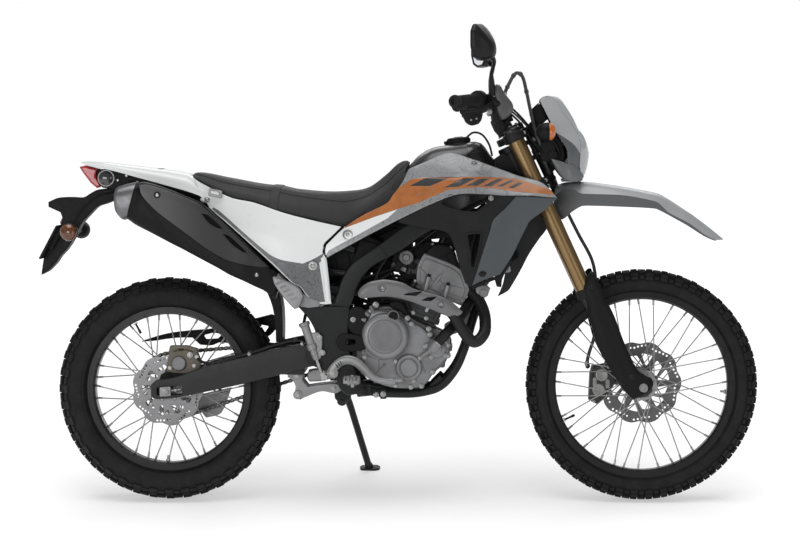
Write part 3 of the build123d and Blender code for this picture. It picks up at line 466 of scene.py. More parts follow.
            for poly, rm in regions:
                if inside(poly, cx, cy):
                    mm = rm
            tris.append(f)
            mats.append(mm)
        drop = {}
        for f in tris:
            for i in f:
                if i not in drop:
                    d = min(edge_distance(l, np.array((vo[i][0], vo[i][1]))) for l in loops)
                    drop[i] = 0.0 if d > 0.65 * e else (e if d < 0.13 * e else 0.3 * e)
        verts, top, bot = [], {}, {}
        for i in drop:
            x, z = vo[i][0], vo[i][1]
            y = surf(x, z)
            top[i] = len(verts)
            verts.append((x, y + drop[i], z))
            bot[i] = len(verts)
            verts.append((x, y + max(wall, e + 0.2), z))
        count = {(a, b): 1 for f in tris for a, b in zip(f, list(f[1:]) + list(f[:1]))}
        own = {}
        for k, f in enumerate(tris):
            for a, b in zip(f, list(f[1:]) + list(f[:1])):
                own[(a, b)] = mats[k]
        faces, fm = [], []
        for k, f in enumerate(tris):
            faces.append(tuple(top[i] for i in f))
            fm.append(mats[k])
            faces.append(tuple(bot[i] for i in reversed(f)))
            fm.append(mats[k] if inner_mat is None else inner_mat)
        for (a, b) in count:
            if (b, a) not in count:
                faces.append((top[b], top[a], bot[a], bot[b]))
                fm.append(own[(a, b)])
        return self.add(verts, faces, fm)

    # -- lofts
    def loft(self, rings, mat=0, closed=True, caps=(True, True), mats=None):
        n = len(rings[0])
        verts = [p for r in rings for p in r]
        faces, fm = [], []
        for i in range(len(rings) - 1):
            for k in range(n if closed else n - 1):
                j = (k + 1) % n
                faces.append((i * n + k, i * n + j, (i + 1) * n + j, (i + 1) * n + k))
                fm.append(mats(i, k) if mats else mat)
        if caps[0]:
            faces.append(tuple(reversed(range(n))))
            fm.append(mat)
        if caps[1]:
            faces.append(tuple(range((len(rings) - 1) * n, len(rings) * n)))
            fm.append(mat)
        return self.add(verts, faces, fm)

    def grid(self, outer, inner, mat=0, active=None, mats=None, inner_mat=None):
        """Thick moulding from two grids of points, rows by columns. Cells where active(i, k) is
        false are left open; every open edge gets a wall."""
        ni, nk = len(outer), len(outer[0])
        verts = [p for r in outer for p in r] + [p for r in inner for p in r]
        off = ni * nk
        cells = {(i, k) for i in range(ni - 1) for k in range(nk - 1) if active is None or active(i, k)}
        faces, fm = [], []
        for i, k in sorted(cells):
            a, b, c, d = i * nk + k, i * nk + k + 1, (i + 1) * nk + k + 1, (i + 1) * nk + k
            mm = mats(i, k) if mats else mat
            faces += [(a, b, c, d), (off + d, off + c, off + b, off + a)]
            fm += [mm, mm if inner_mat is None else inner_mat]
            for (p, q), o in (((a, b), (i - 1, k)), ((b, c), (i, k + 1)), ((c, d), (i + 1, k)), ((d, a), (i, k - 1))):
                if o not in cells:
                    faces.append((q, p, off + p, off + q))
                    fm.append(mm)
        return self.add(verts, faces, fm)

    def box(self, c, axes, half, mat=0, edge=1.5):
        """Box about c with half sizes along three axes, its rims rounded."""
        u, v, w = [vec(a).normalized() for a in axes]
        c = vec(c)
        e = min(edge, 0.45 * min(half))
        o = fillet([(-half[0], -half[1]), (half[0], -half[1]), (half[0], half[1]), (-half[0], half[1])], max(e, 0.4), 3)
        return self.prism(o, lambda a, b, d: c + u * a + v * b + w * d, -half[2], half[2], mat, e)


def refine(rings, times=1, closed=True):
    """Chaikin-like smoothing between loft rings: inserts a ring halfway on a smooth curve."""
    for _ in range(times):
        out = []
        n = len(rings)
        for i in range(n - 1):
            a, b, c, d = rings[max(i - 1, 0)], rings[i], rings[i + 1], rings[min(i + 2, n - 1)]
            out.append(b)
            out.append([(-p0 + 9 * p1 + 9 * p2 - p3) / 16 if 0 < i < n - 2 else (p1 + p2) / 2
                        for p0, p1, p2, p3 in zip([vec(p) for p in a], [vec(p) for p in b], [vec(p) for p in c], [vec(p) for p in d])])
        out.append(rings[-1])
        rings = out
    return rings


PIECES = {}


def piece(name, kit, mats, body, stands_for=(), angle=38.0, weight=True, recalc=True, subsurf=0):
    """Makes the Blender object, in row-frame metres, riding on a CAD body."""
    if isinstance(mats, bpy.types.Material):
        mats = [mats]
    me = bpy.data.meshes.new(name)
    me.from_pydata([tuple(M @ Vector(p)) for p in kit.v], [], kit.f)
    for m in mats:
        me.materials.append(m)
    me.polygons.foreach_set("material_index", kit.m)
    me.validate()
    bm = bmesh.new()
    bm.from_mesh(me)
    bmesh.ops.remove_doubles(bm, verts=bm.verts, dist=1e-6)
    bmesh.ops.dissolve_degenerate(bm, edges=bm.edges, dist=1e-7)
    if recalc:
        bmesh.ops.recalc_face_normals(bm, faces=bm.faces)
    bm.to_mesh(me)
    bm.free()
    me.polygons.foreach_set("use_smooth", [True] * len(me.polygons))
    me.set_sharp_from_angle(angle=math.radians(angle))
    ob = bpy.data.objects.new(name, me)
    bpy.context.scene.collection.objects.link(ob)
    if subsurf:
        s = ob.modifiers.new("subdivision", "SUBSURF")
        s.levels = s.render_levels = subsurf
    if weight:
        w = ob.modifiers.new("weighted", "WEIGHTED_NORMAL")
        w.keep_sharp = True
    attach(ob, body)
    if stands_for:
        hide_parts(*([stands_for] if isinstance(stands_for, str) else stands_for))
    PIECES[name] = ob
    return ob


def repaint(node, material, angle=None):
    """A carried-over CAD node gets its procedural material."""
    ob = frame["nodes"][node]
    if not ob.data.materials:
        ob.data.materials.append(material)
    for s in ob.material_slots:
        s.link = "OBJECT"
        s.material = material
    return ob


# ---------------------------------------------------------------- materials
def material(name, base, rough=0.5, metal=0.0, vary=0.12, vary_scale=9.0, rough_vary=0.06, grain=None,
             grain_depth=0.0004, grain_kind="noise", coat=0.0, coat_rough=0.08, spec=0.5, second=None, second_scale=3.0,
             second_edges=(0.45, 0.6), clear=0.0, ior=1.45, sheen=0.0, brushed=None, glow=0.0, dust=0.0, grain2=None):
    """Painted, moulded, cast or ground surface: colour drifts a little over the piece, roughness
    varies with it, and a fine grain in the bump has the size given in 1/m."""
    m = bpy.data.materials.new(name)
    m.use_nodes = True
    nt = m.node_tree
    nodes, link = nt.nodes, nt.links.new
    bsdf = nodes["Principled BSDF"]
    bsdf.inputs["Metallic"].default_value = metal
    bsdf.inputs["Coat Weight"].default_value = coat
    bsdf.inputs["Coat Roughness"].default_value = coat_rough
    bsdf.inputs["Specular IOR Level"].default_value = spec
    bsdf.inputs["IOR"].default_value = ior
    bsdf.inputs["Transmission Weight"].default_value = clear
    bsdf.inputs["Sheen Weight"].default_value = sheen
    where = nodes.new("ShaderNodeTexCoord")
    n1 = nodes.new("ShaderNodeTexNoise")
    n1.inputs["Scale"].default_value = vary_scale
    n1.inputs["Detail"].default_value = 5.0
    link(where.outputs["Object"], n1.inputs["Vector"])
    ramp = nodes.new("ShaderNodeValToRGB")
    lo, hi = [c * (1 - vary) for c in base], [min(c * (1 + vary), 1) for c in base]
    ramp.color_ramp.elements[0].position, ramp.color_ramp.elements[1].position = 0.3, 0.7
    ramp.color_ramp.elements[0].color = (*lo, 1)
    ramp.color_ramp.elements[1].color = (*hi, 1)
    link(n1.outputs["Fac"], ramp.inputs["Fac"])
    colour = ramp.outputs["Color"]
    if second is not None:
        n2 = nodes.new("ShaderNodeTexNoise")
        n2.inputs["Scale"].default_value = second_scale
        n2.inputs["Detail"].default_value = 8.0
        n2.inputs["Roughness"].default_value = 0.68
        link(where.outputs["Object"], n2.inputs["Vector"])
        step = nodes.new("ShaderNodeMapRange")
        step.inputs["From Min"].default_value, step.inputs["From Max"].default_value = second_edges
        link(n2.outputs["Fac"], step.inputs["Value"])
        mix = nodes.new("ShaderNodeMix")
        mix.data_type = "RGBA"
        mix.inputs["B"].default_value = (*second, 1)
        link(step.outputs["Result"], mix.inputs["Factor"])
        link(colour, mix.inputs["A"])
        colour = mix.outputs["Result"]
    if dust:
        n4 = nodes.new("ShaderNodeTexNoise")
        n4.inputs["Scale"].default_value = 38.0
        n4.inputs["Detail"].default_value = 9.0
        link(where.outputs["Object"], n4.inputs["Vector"])
        dm = nodes.new("ShaderNodeMapRange")
        dm.inputs["From Min"].default_value, dm.inputs["From Max"].default_value = 0.5, 0.9
        dm.inputs["To Max"].default_value = dust
        link(n4.outputs["Fac"], dm.inputs["Value"])
        mx = nodes.new("ShaderNodeMix")
        mx.data_type = "RGBA"
        mx.inputs["B"].default_value = (0.25, 0.24, 0.22, 1)
        link(dm.outputs["Result"], mx.inputs["Factor"])
        link(colour, mx.inputs["A"])
        colour = mx.outputs["Result"]
    link(colour, bsdf.inputs["Base Color"])
    if glow:
        link(colour, bsdf.inputs["Emission Color"])
        bsdf.inputs["Emission Strength"].default_value = glow
    n3 = nodes.new("ShaderNodeTexNoise")
    n3.inputs["Scale"].default_value = vary_scale * 6
    n3.inputs["Detail"].default_value = 6.0
    link(where.outputs["Object"], n3.inputs["Vector"])
    rr = nodes.new("ShaderNodeMapRange")
    rr.inputs["From Min"].default_value, rr.inputs["From Max"].default_value = 0.3, 0.7
    rr.inputs["To Min"].default_value = max(rough - rough_vary, 0.02)
    rr.inputs["To Max"].default_value = min(rough + rough_vary, 1.0)
    link(n3.outputs["Fac"], rr.inputs["Value"])
    link(rr.outputs["Result"], bsdf.inputs["Roughness"])
    if grain or brushed:
        if brushed:  # (centre, axis is bike y): rings about a wheel axle
            sep = nodes.new("ShaderNodeVectorMath")
            sep.operation = "SUBTRACT"
            sep.inputs[1].default_value = brushed[0]
            link(where.outputs["Object"], sep.inputs[0])
            length = nodes.new("ShaderNodeVectorMath")
            length.operation = "LENGTH"
            link(sep.outputs["Vector"], length.inputs[0])
            g = nodes.new("ShaderNodeTexNoise")
            g.noise_dimensions = "1D"
            g.inputs["Scale"].default_value = brushed[1]
            g.inputs["Detail"].default_value = 3.0
            link(length.outputs["Value"], g.inputs["W"])
            out = g.outputs["Fac"]
        elif grain_kind == "cells":
            g = nodes.new("ShaderNodeTexVoronoi")
            g.feature = "DISTANCE_TO_EDGE"
            g.inputs["Scale"].default_value = grain
            link(where.outputs["Object"], g.inputs["Vector"])
            cr = nodes.new("ShaderNodeMapRange")
            cr.inputs["From Max"].default_value = 0.25
            link(g.outputs["Distance"], cr.inputs["Value"])
            out = cr.outputs["Result"]
        else:
            g = nodes.new("ShaderNodeTexNoise")
            g.inputs["Scale"].default_value = grain
            g.inputs["Detail"].default_value = 4.0
            link(where.outputs["Object"], g.inputs["Vector"])
            out = g.outputs["Fac"]
        bump = nodes.new("ShaderNodeBump")
        bump.inputs["Strength"].default_value = 0.6
        bump.inputs["Distance"].default_value = grain_depth
        link(out, bump.inputs["Height"])
        if grain2:
            g2 = nodes.new("ShaderNodeTexNoise")
            g2.inputs["Scale"].default_value = grain2[0]
            g2.inputs["Detail"].default_value = 3.0
            link(where.outputs["Object"], g2.inputs["Vector"])
            b2 = nodes.new("ShaderNodeBump")
            b2.inputs["Strength"].default_value = 0.5
            b2.inputs["Distance"].default_value = grain2[1]
            link(g2.outputs["Fac"], b2.inputs["Height"])
            link(b2.outputs["Normal"], bump.inputs["Normal"])
        link(bump.outputs["Normal"], bsdf.inputs["Normal"])
    return m


def contour(name, base, line, rough, scale=11.0, bands=7.0, width=0.10, coat=0.3):
    """Moulding with a printed pattern of thin wandering contour lines."""
    m = material(name, base, rough, coat=coat, vary=0.08, grain=1500, grain_depth=0.00006)
    nt = m.node_tree
    nodes, link = nt.nodes, nt.links.new
    bsdf = nodes["Principled BSDF"]
    old = bsdf.inputs["Base Color"].links[0].from_socket
    where = nodes.new("ShaderNodeTexCoord")
    n = nodes.new("ShaderNodeTexNoise")
    n.inputs["Scale"].default_value = scale
    n.inputs["Detail"].default_value = 2.5
    n.inputs["Distortion"].default_value = 0.8
    link(where.outputs["Object"], n.inputs["Vector"])
    mul = nodes.new("ShaderNodeMath")
    mul.operation = "MULTIPLY"
    mul.inputs[1].default_value = bands
    link(n.outputs["Fac"], mul.inputs[0])
    fr = nodes.new("ShaderNodeMath")
    fr.operation = "PINGPONG"
    fr.inputs[1].default_value = 0.5
    link(mul.outputs[0], fr.inputs[0])
    rng = nodes.new("ShaderNodeMapRange")
    rng.inputs["From Min"].default_value, rng.inputs["From Max"].default_value = width, width * 0.4
    link(fr.outputs[0], rng.inputs["Value"])
    mix = nodes.new("ShaderNodeMix")
    mix.data_type = "RGBA"
    mix.inputs["B"].default_value = (*line, 1)
    link(rng.outputs["Result"], mix.inputs["Factor"])
    link(old, mix.inputs["A"])
    link(mix.outputs["Result"], bsdf.inputs["Base Color"])
    return m


def graded(m, other, a, b):
    """The colour drifts towards another one between x = a and x = b along the object."""
    nt = m.node_tree
    nodes, link = nt.nodes, nt.links.new
    bsdf = nodes["Principled BSDF"]
    old = bsdf.inputs["Base Color"].links[0].from_socket
    where = nodes.new("ShaderNodeTexCoord")
    axis = nodes.new("ShaderNodeSeparateXYZ")
    link(where.outputs["Object"], axis.inputs[0])
    rng = nodes.new("ShaderNodeMapRange")
    rng.interpolation_type = "SMOOTHSTEP"
    rng.inputs["From Min"].default_value, rng.inputs["From Max"].default_value = a, b
    link(axis.outputs["X"], rng.inputs["Value"])
    mix = nodes.new("ShaderNodeMix")
    mix.data_type = "RGBA"
    mix.inputs["B"].default_value = (*other, 1)
    link(rng.outputs["Result"], mix.inputs["Factor"])
    link(old, mix.inputs["A"])
    link(mix.outputs["Result"], bsdf.inputs["Base Color"])
    return m


front_hub_centre = tuple(WHEELS["front_wheel_spin"])
rear_hub_centre = tuple(WHEELS["rear_wheel_spin"])
RUBBER = material("tyre_rubber", (0.0105, 0.0105, 0.011), 0.66, vary=0.25, vary_scale=22, grain=900, grain_depth=0.00025, spec=0.20, dust=0.03, grain2=(120, 0.0004))
RIM = material("rim_black", (0.008, 0.008, 0.0085), 0.34, coat=0.12, coat_rough=0.25, vary=0.15, grain=700, grain_depth=0.00005, spec=0.30)
SPOKE = material("spoke_zinc", (0.30, 0.30, 0.30), 0.36, metal=1.0, vary=0.1, vary_scale=60, grain=900, grain_depth=0.00004)
HUB = material("hub_cast", (0.17, 0.17, 0.173), 0.45, metal=0.7, vary=0.12, vary_scale=30, grain=650, grain_depth=0.00025)
DISC_F = material("front_disc_steel", (0.165, 0.165, 0.169), 0.34, metal=1.0, vary=0.06, vary_scale=14, rough_vary=0.03, brushed=(front_hub_centre, 900.0), grain_depth=0.00010)
DISC_R = material("rear_disc_steel", (0.180, 0.180, 0.184), 0.34, metal=1.0, vary=0.06, vary_scale=14, rough_vary=0.03, brushed=(rear_hub_centre, 900.0), grain_depth=0.00010)
FRAME = material("frame_paint", (0.0100, 0.0104, 0.0112), 0.44, vary=0.14, vary_scale=12, grain=420, grain_depth=0.00020, coat=0.04, coat_rough=0.3, spec=0.24)
SWING = material("swingarm_paint", (0.0200, 0.0200, 0.0210), 0.46, vary=0.12, vary_scale=10, grain=420, grain_depth=0.0002, spec=0.30)
CAST = material("engine_casting", (0.205, 0.206, 0.211), 0.50, metal=0.30, vary=0.16, vary_scale=24, grain=520, grain_depth=0.0005, grain2=(90, 0.0004), dust=0.05, spec=0.35)
COVER = material("engine_cover", (0.195, 0.196, 0.200), 0.40, metal=0.35, vary=0.12, vary_scale=20, grain=700, grain_depth=0.00025, coat=0.1, coat_rough=0.3, spec=0.4)
COVER_L = material("cover_turned", (0.150, 0.150, 0.154), 0.38, metal=0.5, vary=0.12, vary_scale=26, grain=900, grain_depth=0.00012)
GOLD = material("fork_gold", (0.215, 0.140, 0.064), 0.34, metal=0.85, vary=0.02, vary_scale=6, rough_vary=0.02, grain=1100, grain_depth=0.00002, coat=0.1)
SLIDER = material("slider_dark", (0.03, 0.03, 0.031), 0.32, metal=0.6, vary=0.1, grain=700, grain_depth=0.00006)
PLASTIC = material("black_moulding", (0.0072, 0.0072, 0.0077), 0.50, vary=0.14, vary_scale=16, grain=1300, grain_depth=0.00012, spec=0.16)
PLASTIC_S = material("black_smooth", (0.0090, 0.0090, 0.0095), 0.38, vary=0.1, vary_scale=14, grain=900, grain_depth=0.00005, spec=0.22)
INNER = material("inner_black", (0.0125, 0.0125, 0.0130), 0.60, vary=0.12, vary_scale=14, grain=1100, grain_depth=0.00022, spec=0.18)
GREY = contour("shroud_print", (0.215, 0.219, 0.224), (0.135, 0.138, 0.142), 0.36, scale=14, bands=9, width=0.09)
GREY_P = material("grey_moulding", (0.335, 0.345, 0.353), 0.36, coat=0.15, coat_rough=0.22, vary=0.05, grain=1500, grain_depth=0.00004, spec=0.4)
SLATE = material("slate_moulding", (0.052, 0.061, 0.067), 0.38, coat=0.12, coat_rough=0.22, vary=0.05, vary_scale=6, grain=1500, grain_depth=0.00005, spec=0.35)
ORANGE = material("orange_print", (0.345, 0.118, 0.034), 0.36, coat=0.2, coat_rough=0.15, vary=0.16, vary_scale=30, second=(0.24, 0.17, 0.12), second_scale=17, second_edges=(0.60, 0.68), grain=1500, grain_depth=0.00005, spec=0.35)
CHAR = material("charcoal_print", (0.034, 0.035, 0.037), 0.38, coat=0.2, coat_rough=0.15, vary=0.2, vary_scale=60, second=(0.16, 0.15, 0.14), second_scale=34, second_edges=(0.62, 0.70), grain=1500, grain_depth=0.00005, spec=0.35)
PRINT = contour("panel_print", (0.120, 0.124, 0.128), (0.058, 0.060, 0.062), 0.40, scale=20, bands=8, width=0.10, coat=0.15)
WHITE = material("white_moulding", (0.690, 0.698, 0.700), 0.32, coat=0.25, coat_rough=0.14, vary=0.02, vary_scale=5, grain=1400, grain_depth=0.00004, spec=0.4)
FENDER = material("fender_moulding", (0.300, 0.308, 0.315), 0.36, coat=0.15, coat_rough=0.2, vary=0.05, grain=1500, grain_depth=0.00004, spec=0.4)
TANK = material("tank_satin", (0.021, 0.021, 0.022), 0.35, vary=0.08, coat=0.3, coat_rough=0.24, grain=1000, grain_depth=0.00005, spec=0.4)
VINYL = material("seat_vinyl", (0.0330, 0.0330, 0.0340), 0.58, vary=0.10, vary_scale=10, grain=430, grain_depth=0.00030, grain_kind="cells", spec=0.26, sheen=0.06)
VINYL2 = material("seat_vinyl_side", (0.0330, 0.0330, 0.0340), 0.54, vary=0.10, vary_scale=10, grain=600, grain_depth=0.00026, grain_kind="cells", spec=0.26, sheen=0.04)
THREAD = material("seam_thread", (0.05, 0.05, 0.05), 0.7, vary=0.2, vary_scale=200, grain=1500, grain_depth=0.0002)
PIPE = material("silencer_black", (0.0060, 0.0060, 0.0064), 0.46, vary=0.18, vary_scale=7, grain=1400, grain_depth=0.00010, spec=0.17)
HEADER_M = material("header_black", (0.014, 0.014, 0.0145), 0.44, metal=0.2, vary=0.2, vary_scale=16, grain=500, grain_depth=0.0001, spec=0.3)
SATIN = material("satin_silver", (0.235, 0.235, 0.240), 0.40, metal=0.6, vary=0.08, vary_scale=14, grain=1200, grain_depth=0.00008, spec=0.4)
SHIELD_M = material("shield_silver", (0.150, 0.150, 0.154), 0.42, metal=0.5, vary=0.06, vary_scale=10, grain=1200, grain_depth=0.00005, spec=0.4)
CAP_M = material("endcap_steel", (0.165, 0.165, 0.170), 0.38, metal=0.8, vary=0.10, vary_scale=10, grain=900, grain_depth=0.00008)
# painted highlight: the silencer guard's upper panel is coloured lighter where it tilts up towards the overhead light,
# fading darker towards the front
GUARD_HIGHLIGHT = graded(material("guard_upper_painted_highlight", (0.086, 0.086, 0.087), 0.44, spec=0.35, vary=0.05, vary_scale=8, grain=1500, grain_depth=0.00006), (0.026, 0.026, 0.0265), -0.77, -0.53)
# painted shade: the front fender's down-facing lower flanks are coloured dark grey, darker still towards the rear where
# the parts around them shade them
FLANK_SHADE = graded(material("fender_flank_painted_shade", (0.092, 0.095, 0.099), 0.38, coat=0.12, coat_rough=0.22, vary=0.05, grain=1500, grain_depth=0.00004), (0.026, 0.026, 0.027), 0.562, 0.487)
# painted light: a lighter copy of the black moulding, standing in for light that doesn't reach the shroud wing
WING_PAINTED_LIGHT = material("shroud_wing_painted_light", (0.034, 0.035, 0.036), 0.42, coat=0.1, coat_rough=0.25, vary=0.08, grain=1500, grain_depth=0.00005, spec=0.3)
# painted highlight: the brake master cylinder's hood is coloured mid grey for the highlight it catches
MASTER_HIGHLIGHT = material("master_hood_painted_highlight", (0.070, 0.070, 0.0715), 0.44, metal=0.15, vary=0.06, grain=1200, grain_depth=0.00008, spec=0.4)
CHIN = material("cowl_chin_grey", (0.118, 0.121, 0.125), 0.38, coat=0.12, coat_rough=0.22, vary=0.05, grain=1500, grain_depth=0.00004)
AMBER_R = material("amber_lens_dark", (0.095, 0.028, 0.006), 0.16, coat=0.6, coat_rough=0.05, vary=0.18, vary_scale=40, spec=0.5)
BOLT = material("zinc_bolt", (0.32, 0.32, 0.315), 0.36, metal=1.0, vary=0.12, vary_scale=120, grain=900, grain_depth=0.00006)
BOLT_B = material("black_bolt", (0.016, 0.016, 0.017), 0.42, metal=0.4, vary=0.15, vary_scale=90, grain=900, grain_depth=0.00006, spec=0.3)
CASTBLK = material("yoke_black", (0.0090, 0.0090, 0.0095), 0.44, vary=0.14, vary_scale=20, grain=600, grain_depth=0.0003, spec=0.22)
GRIP = material("grip_rubber", (0.0115, 0.0115, 0.0120), 0.66, vary=0.12, vary_scale=60, grain=900, grain_depth=0.0003, spec=0.22)
HOSE_B = material("brake_hose_sleeve", (0.048, 0.048, 0.0485), 0.50, vary=0.15, vary_scale=60, grain=900, grain_depth=0.0001, spec=0.3)
HOSE_M = material("hose_rubber", (0.0095, 0.0095, 0.0100), 0.46, vary=0.12, vary_scale=40, grain=900, grain_depth=0.0001, spec=0.28)
AMBER = material("amber_lens", (0.44, 0.105, 0.014), 0.16, vary=0.08, vary_scale=60, coat=0.6, coat_rough=0.05, spec=0.5, grain=260, grain_depth=0.0006, glow=0.03)
RED = material("red_lens", (0.30, 0.009, 0.012), 0.16, vary=0.12, vary_scale=60, coat=0.5, coat_rough=0.06, spec=0.45, grain=180, grain_depth=0.0004, glow=0.03)
GLASS = material("clear_lens", (0.62, 0.64, 0.66), 0.07, vary=0.02, vary_scale=30, clear=0.55, coat=0.5, coat_rough=0.03, spec=0.5, grain=90, grain_depth=0.0002)
LENS_D = material("smoke_lens", (0.030, 0.030, 0.031), 0.08, vary=0.05, vary_scale=30, coat=0.8, coat_rough=0.03, spec=0.5, grain=140, grain_depth=0.0003)
BARREL = material("barrel_casting", (0.052, 0.053, 0.055), 0.52, metal=0.2, vary=0.16, vary_scale=24, grain=520, grain_depth=0.0005, spec=0.3)
CALIP_F = material("caliper_dark", (0.050, 0.049, 0.047), 0.42, metal=0.3, vary=0.12, vary_scale=30, grain=600, grain_depth=0.0003, spec=0.35)
REFLECT = material("reflector_chrome", (0.55, 0.56, 0.58), 0.18, metal=1.0, vary=0.04, vary_scale=60, grain=120, grain_depth=0.0008)
MIRROR = material("mirror_glass", (0.72, 0.74, 0.76), 0.05, metal=1.0, vary=0.02, vary_scale=20, rough_vary=0.01)
SCREEN = material("meter_glass", (0.02, 0.022, 0.024), 0.08, vary=0.1, vary_scale=20, coat=0.9, coat_rough=0.03)
CALIPER = material("caliper_anodised", (0.105, 0.092, 0.072), 0.44, metal=0.5, vary=0.10, vary_scale=26, grain=700, grain_depth=0.0002, spec=0.35)
CHAIN_M = material("chain_steel", (0.075, 0.072, 0.069), 0.42, metal=0.8, vary=0.25, vary_scale=80, grain=900, grain_depth=0.0001)
SPROCK = material("sprocket_steel", (0.20, 0.20, 0.20), 0.38, metal=0.9, vary=0.12, vary_scale=30, grain=900, grain_depth=0.0001)
PLATE = material("plate_blank", (0.72, 0.72, 0.70), 0.37, vary=0.03, vary_scale=12, coat=0.2, grain=1800, grain_depth=0.00006)
RADCORE = material("radiator_core", (0.02, 0.02, 0.021), 0.5, metal=0.3, vary=0.1, vary_scale=30, grain=300, grain_depth=0.0004, spec=0.3)
REDSW = material("red_switch", (0.42, 0.012, 0.02), 0.35, vary=0.08, vary_scale=60, coat=0.4, grain=900, grain_depth=0.00005)
BLACKGLOSS = material("tank_front", (0.0125, 0.0125, 0.0130), 0.24, vary=0.08, vary_scale=14, coat=0.3, coat_rough=0.12, grain=900, grain_depth=0.00003, spec=0.35)


# ---------------------------------------------------------------- camera, floor, light
def set_stage():
    sc = bpy.context.scene
    sc.view_settings.view_transform = "Standard"
    sc.view_settings.look = "None"
    cam = bpy.data.cameras.new("camera")
    cam.sensor_width = 36.0
    cam.lens = 114.641
    cam.clip_end = 400
    ob = bpy.data.objects.new("camera", cam)
    sc.collection.objects.link(ob)
    eye, aim = M @ Vector((950.2, -7813.7, 1081.9)), M @ Vector((710.47, 0, 711.37))
    back = (eye - aim).normalized()
    right = (TURN.to_3x3() @ Vector((0, 0, 1))).cross(back).normalized()
    up = back.cross(right)
    right, up = right * math.cos(0.0023) - up * math.sin(0.0023), right * math.sin(0.0023) + up * math.cos(0.0023)
    ob.matrix_world = Matrix.Translation(eye) @ Matrix((right, up, back)).transposed().to_4x4()
    sc.camera = ob

    me = bpy.data.meshes.new("floor")
    s = 90.0
    me.from_pydata([(-s, -s, 0), (s, -s, 0), (s, s, 0), (-s, s, 0)], [], [(0, 1, 2, 3)])
    floor = bpy.data.objects.new("floor", me)
    sc.collection.objects.link(floor)
    fm = bpy.data.materials.new("floor_pale")
    fm.use_nodes = True
    b = fm.node_tree.nodes["Principled BSDF"]
    b.inputs["Base Color"].default_value = (0.60, 0.60, 0.60, 1)
    b.inputs["Roughness"].default_value = 0.9
    b.inputs["Specular IOR Level"].default_value = 0.0
    b.inputs["Emission Color"].default_value = (1, 1, 1, 1)
    b.inputs["Emission Strength"].default_value = 0.43
    me.materials.append(fm)

    w = bpy.data.worlds.new("studio")
    sc.world = w
    w.use_nodes = True
    bg = w.node_tree.nodes["Background"]
    bg.inputs["Color"].default_value = (1, 1, 1, 1)
    bg.inputs["Strength"].default_value = 0.28

    def area(name, at, to, size, power):
        L = bpy.data.lights.new(name, "AREA")
        L.shape = "RECTANGLE"
        L.size, L.size_y = size
        L.energy = power
        o = bpy.data.objects.new(name, L)
        sc.collection.objects.link(o)
        o.location = at
        o.rotation_euler = (Vector(to) - Vector(at)).to_track_quat("-Z", "Y").to_euler()

    L = bpy.data.lights.new("overhead", "SUN")
    L.energy, L.angle = 2.10, 0.85
    o = bpy.data.objects.new("overhead", L)
    sc.collection.objects.link(o)
    o.rotation_euler = Vector((0.04, -0.02, -1)).to_track_quat("-Z", "Y").to_euler()
    area("key", (-2.4, -5.4, 2.0), (0.1, 0, 0.7), (3.4, 1.6), 88)
    area("fill", (3.4, -4.6, 1.6), (0.2, 0, 0.7), (2.0, 2.4), 34)
    area("behind", (0.4, 4.2, 2.6), (0, 0, 0.7), (4.0, 1.8), 48)


set_stage()


# ---------------------------------------------------------------- tyres
def tyre_knobs(kit, cx, cz, R, half, deep, count, rows, mat=0):
    """Blocks of tread. Tip line: crown of radius 50 then the shoulder, deep above the carcass."""
    edge_y = 50 * math.sin(math.radians(50))
    edge_r = R - 50 * (1 - math.cos(math.radians(50)))
    low_r = R - 0.4 * (R - (271 if R > 350 else 238))

    def tip(s):
        """s along the section: 0 at the centre, edge_y..: past it down the shoulder."""
        if s <= edge_y:
            return Vector((s, R - (50 - math.sqrt(2500 - s * s))))
        t = (s - edge_y) / (half - edge_y + (edge_r - low_r))
        return Vector((edge_y + (half - edge_y) * min(t * 1.6, 1.0), edge_r + (low_r - edge_r) * t))

    def foot(s):
        d = 0.5
        a, b = tip(max(s - d, 0)), tip(s + d)
        n = Vector((-(b - a).y, (b - a).x)).normalized()
        if n.y < 0:
            n = -n
        if s > edge_y:
            n = Vector((1, 0.35)).normalized()
            return tip(s) - n * (deep * 0.62)
        return tip(s) - n * (deep + 2.0)

    for (s0, s1, phase, length, both) in rows:
        for i in range(count):
            a = 2 * math.pi * (i + phase) / count
            for side in ((1, -1) if both else (1,)):
                n = 3
                grid = []
                for layer, (grow, ch) in enumerate(((2.2, None), (0.0, 0.86), (-1.1, 1.0))):
                    rowp = []
                    for j in range(n + 1):
                        s = s0 + (s1 - s0) * j / n
                        if layer == 0:
                            sg = s + (grow * 0.8 if j == n else (-grow * 0.8 if j == 0 else 0))
                            p = foot(abs(sg)) if sg >= 0 else Vector((-foot(-sg).x, foot(-sg).y))
                        else:
                            sg = s + (grow if j == n else (-grow if j == 0 else 0))
                            q = tip(abs(sg)) if sg >= 0 else Vector((-tip(-sg).x, tip(-sg).y))
                            f = foot(abs(sg)) if sg >= 0 else Vector((-foot(-sg).x, foot(-sg).y))
                            p = f + (q - f) * ch
                        rowp.append((p.x * side, p.y))
                    for tside in (-1, 1):
                        h = (length / 2 + grow) * tside
                        grid.append([(cx + r * math.cos(a + h / r), y, cz + r * math.sin(a + h / r)) for y, r in rowp])
                # rows: 0,1 foot (back,front), 2,3 upper, 4,5 top
                verts = [p for g in grid for p in g]
                w = n + 1

                def q(r0, r1):
                    return [(r0 * w + j, r0 * w + j + 1, r1 * w + j + 1, r1 * w + j) for j in range(n)]
                faces = q(0, 2) + q(2, 4) + q(4, 5) + q(5, 3) + q(3, 1)
                for j, flip in ((0, False), (n, True)):
                    for lo, hi in ((0, 2), (2, 4)):
                        faces.append((lo * w + j, hi * w + j, (hi + 1) * w + j, (lo + 1) * w + j))
                kit.add(verts, faces, mat)


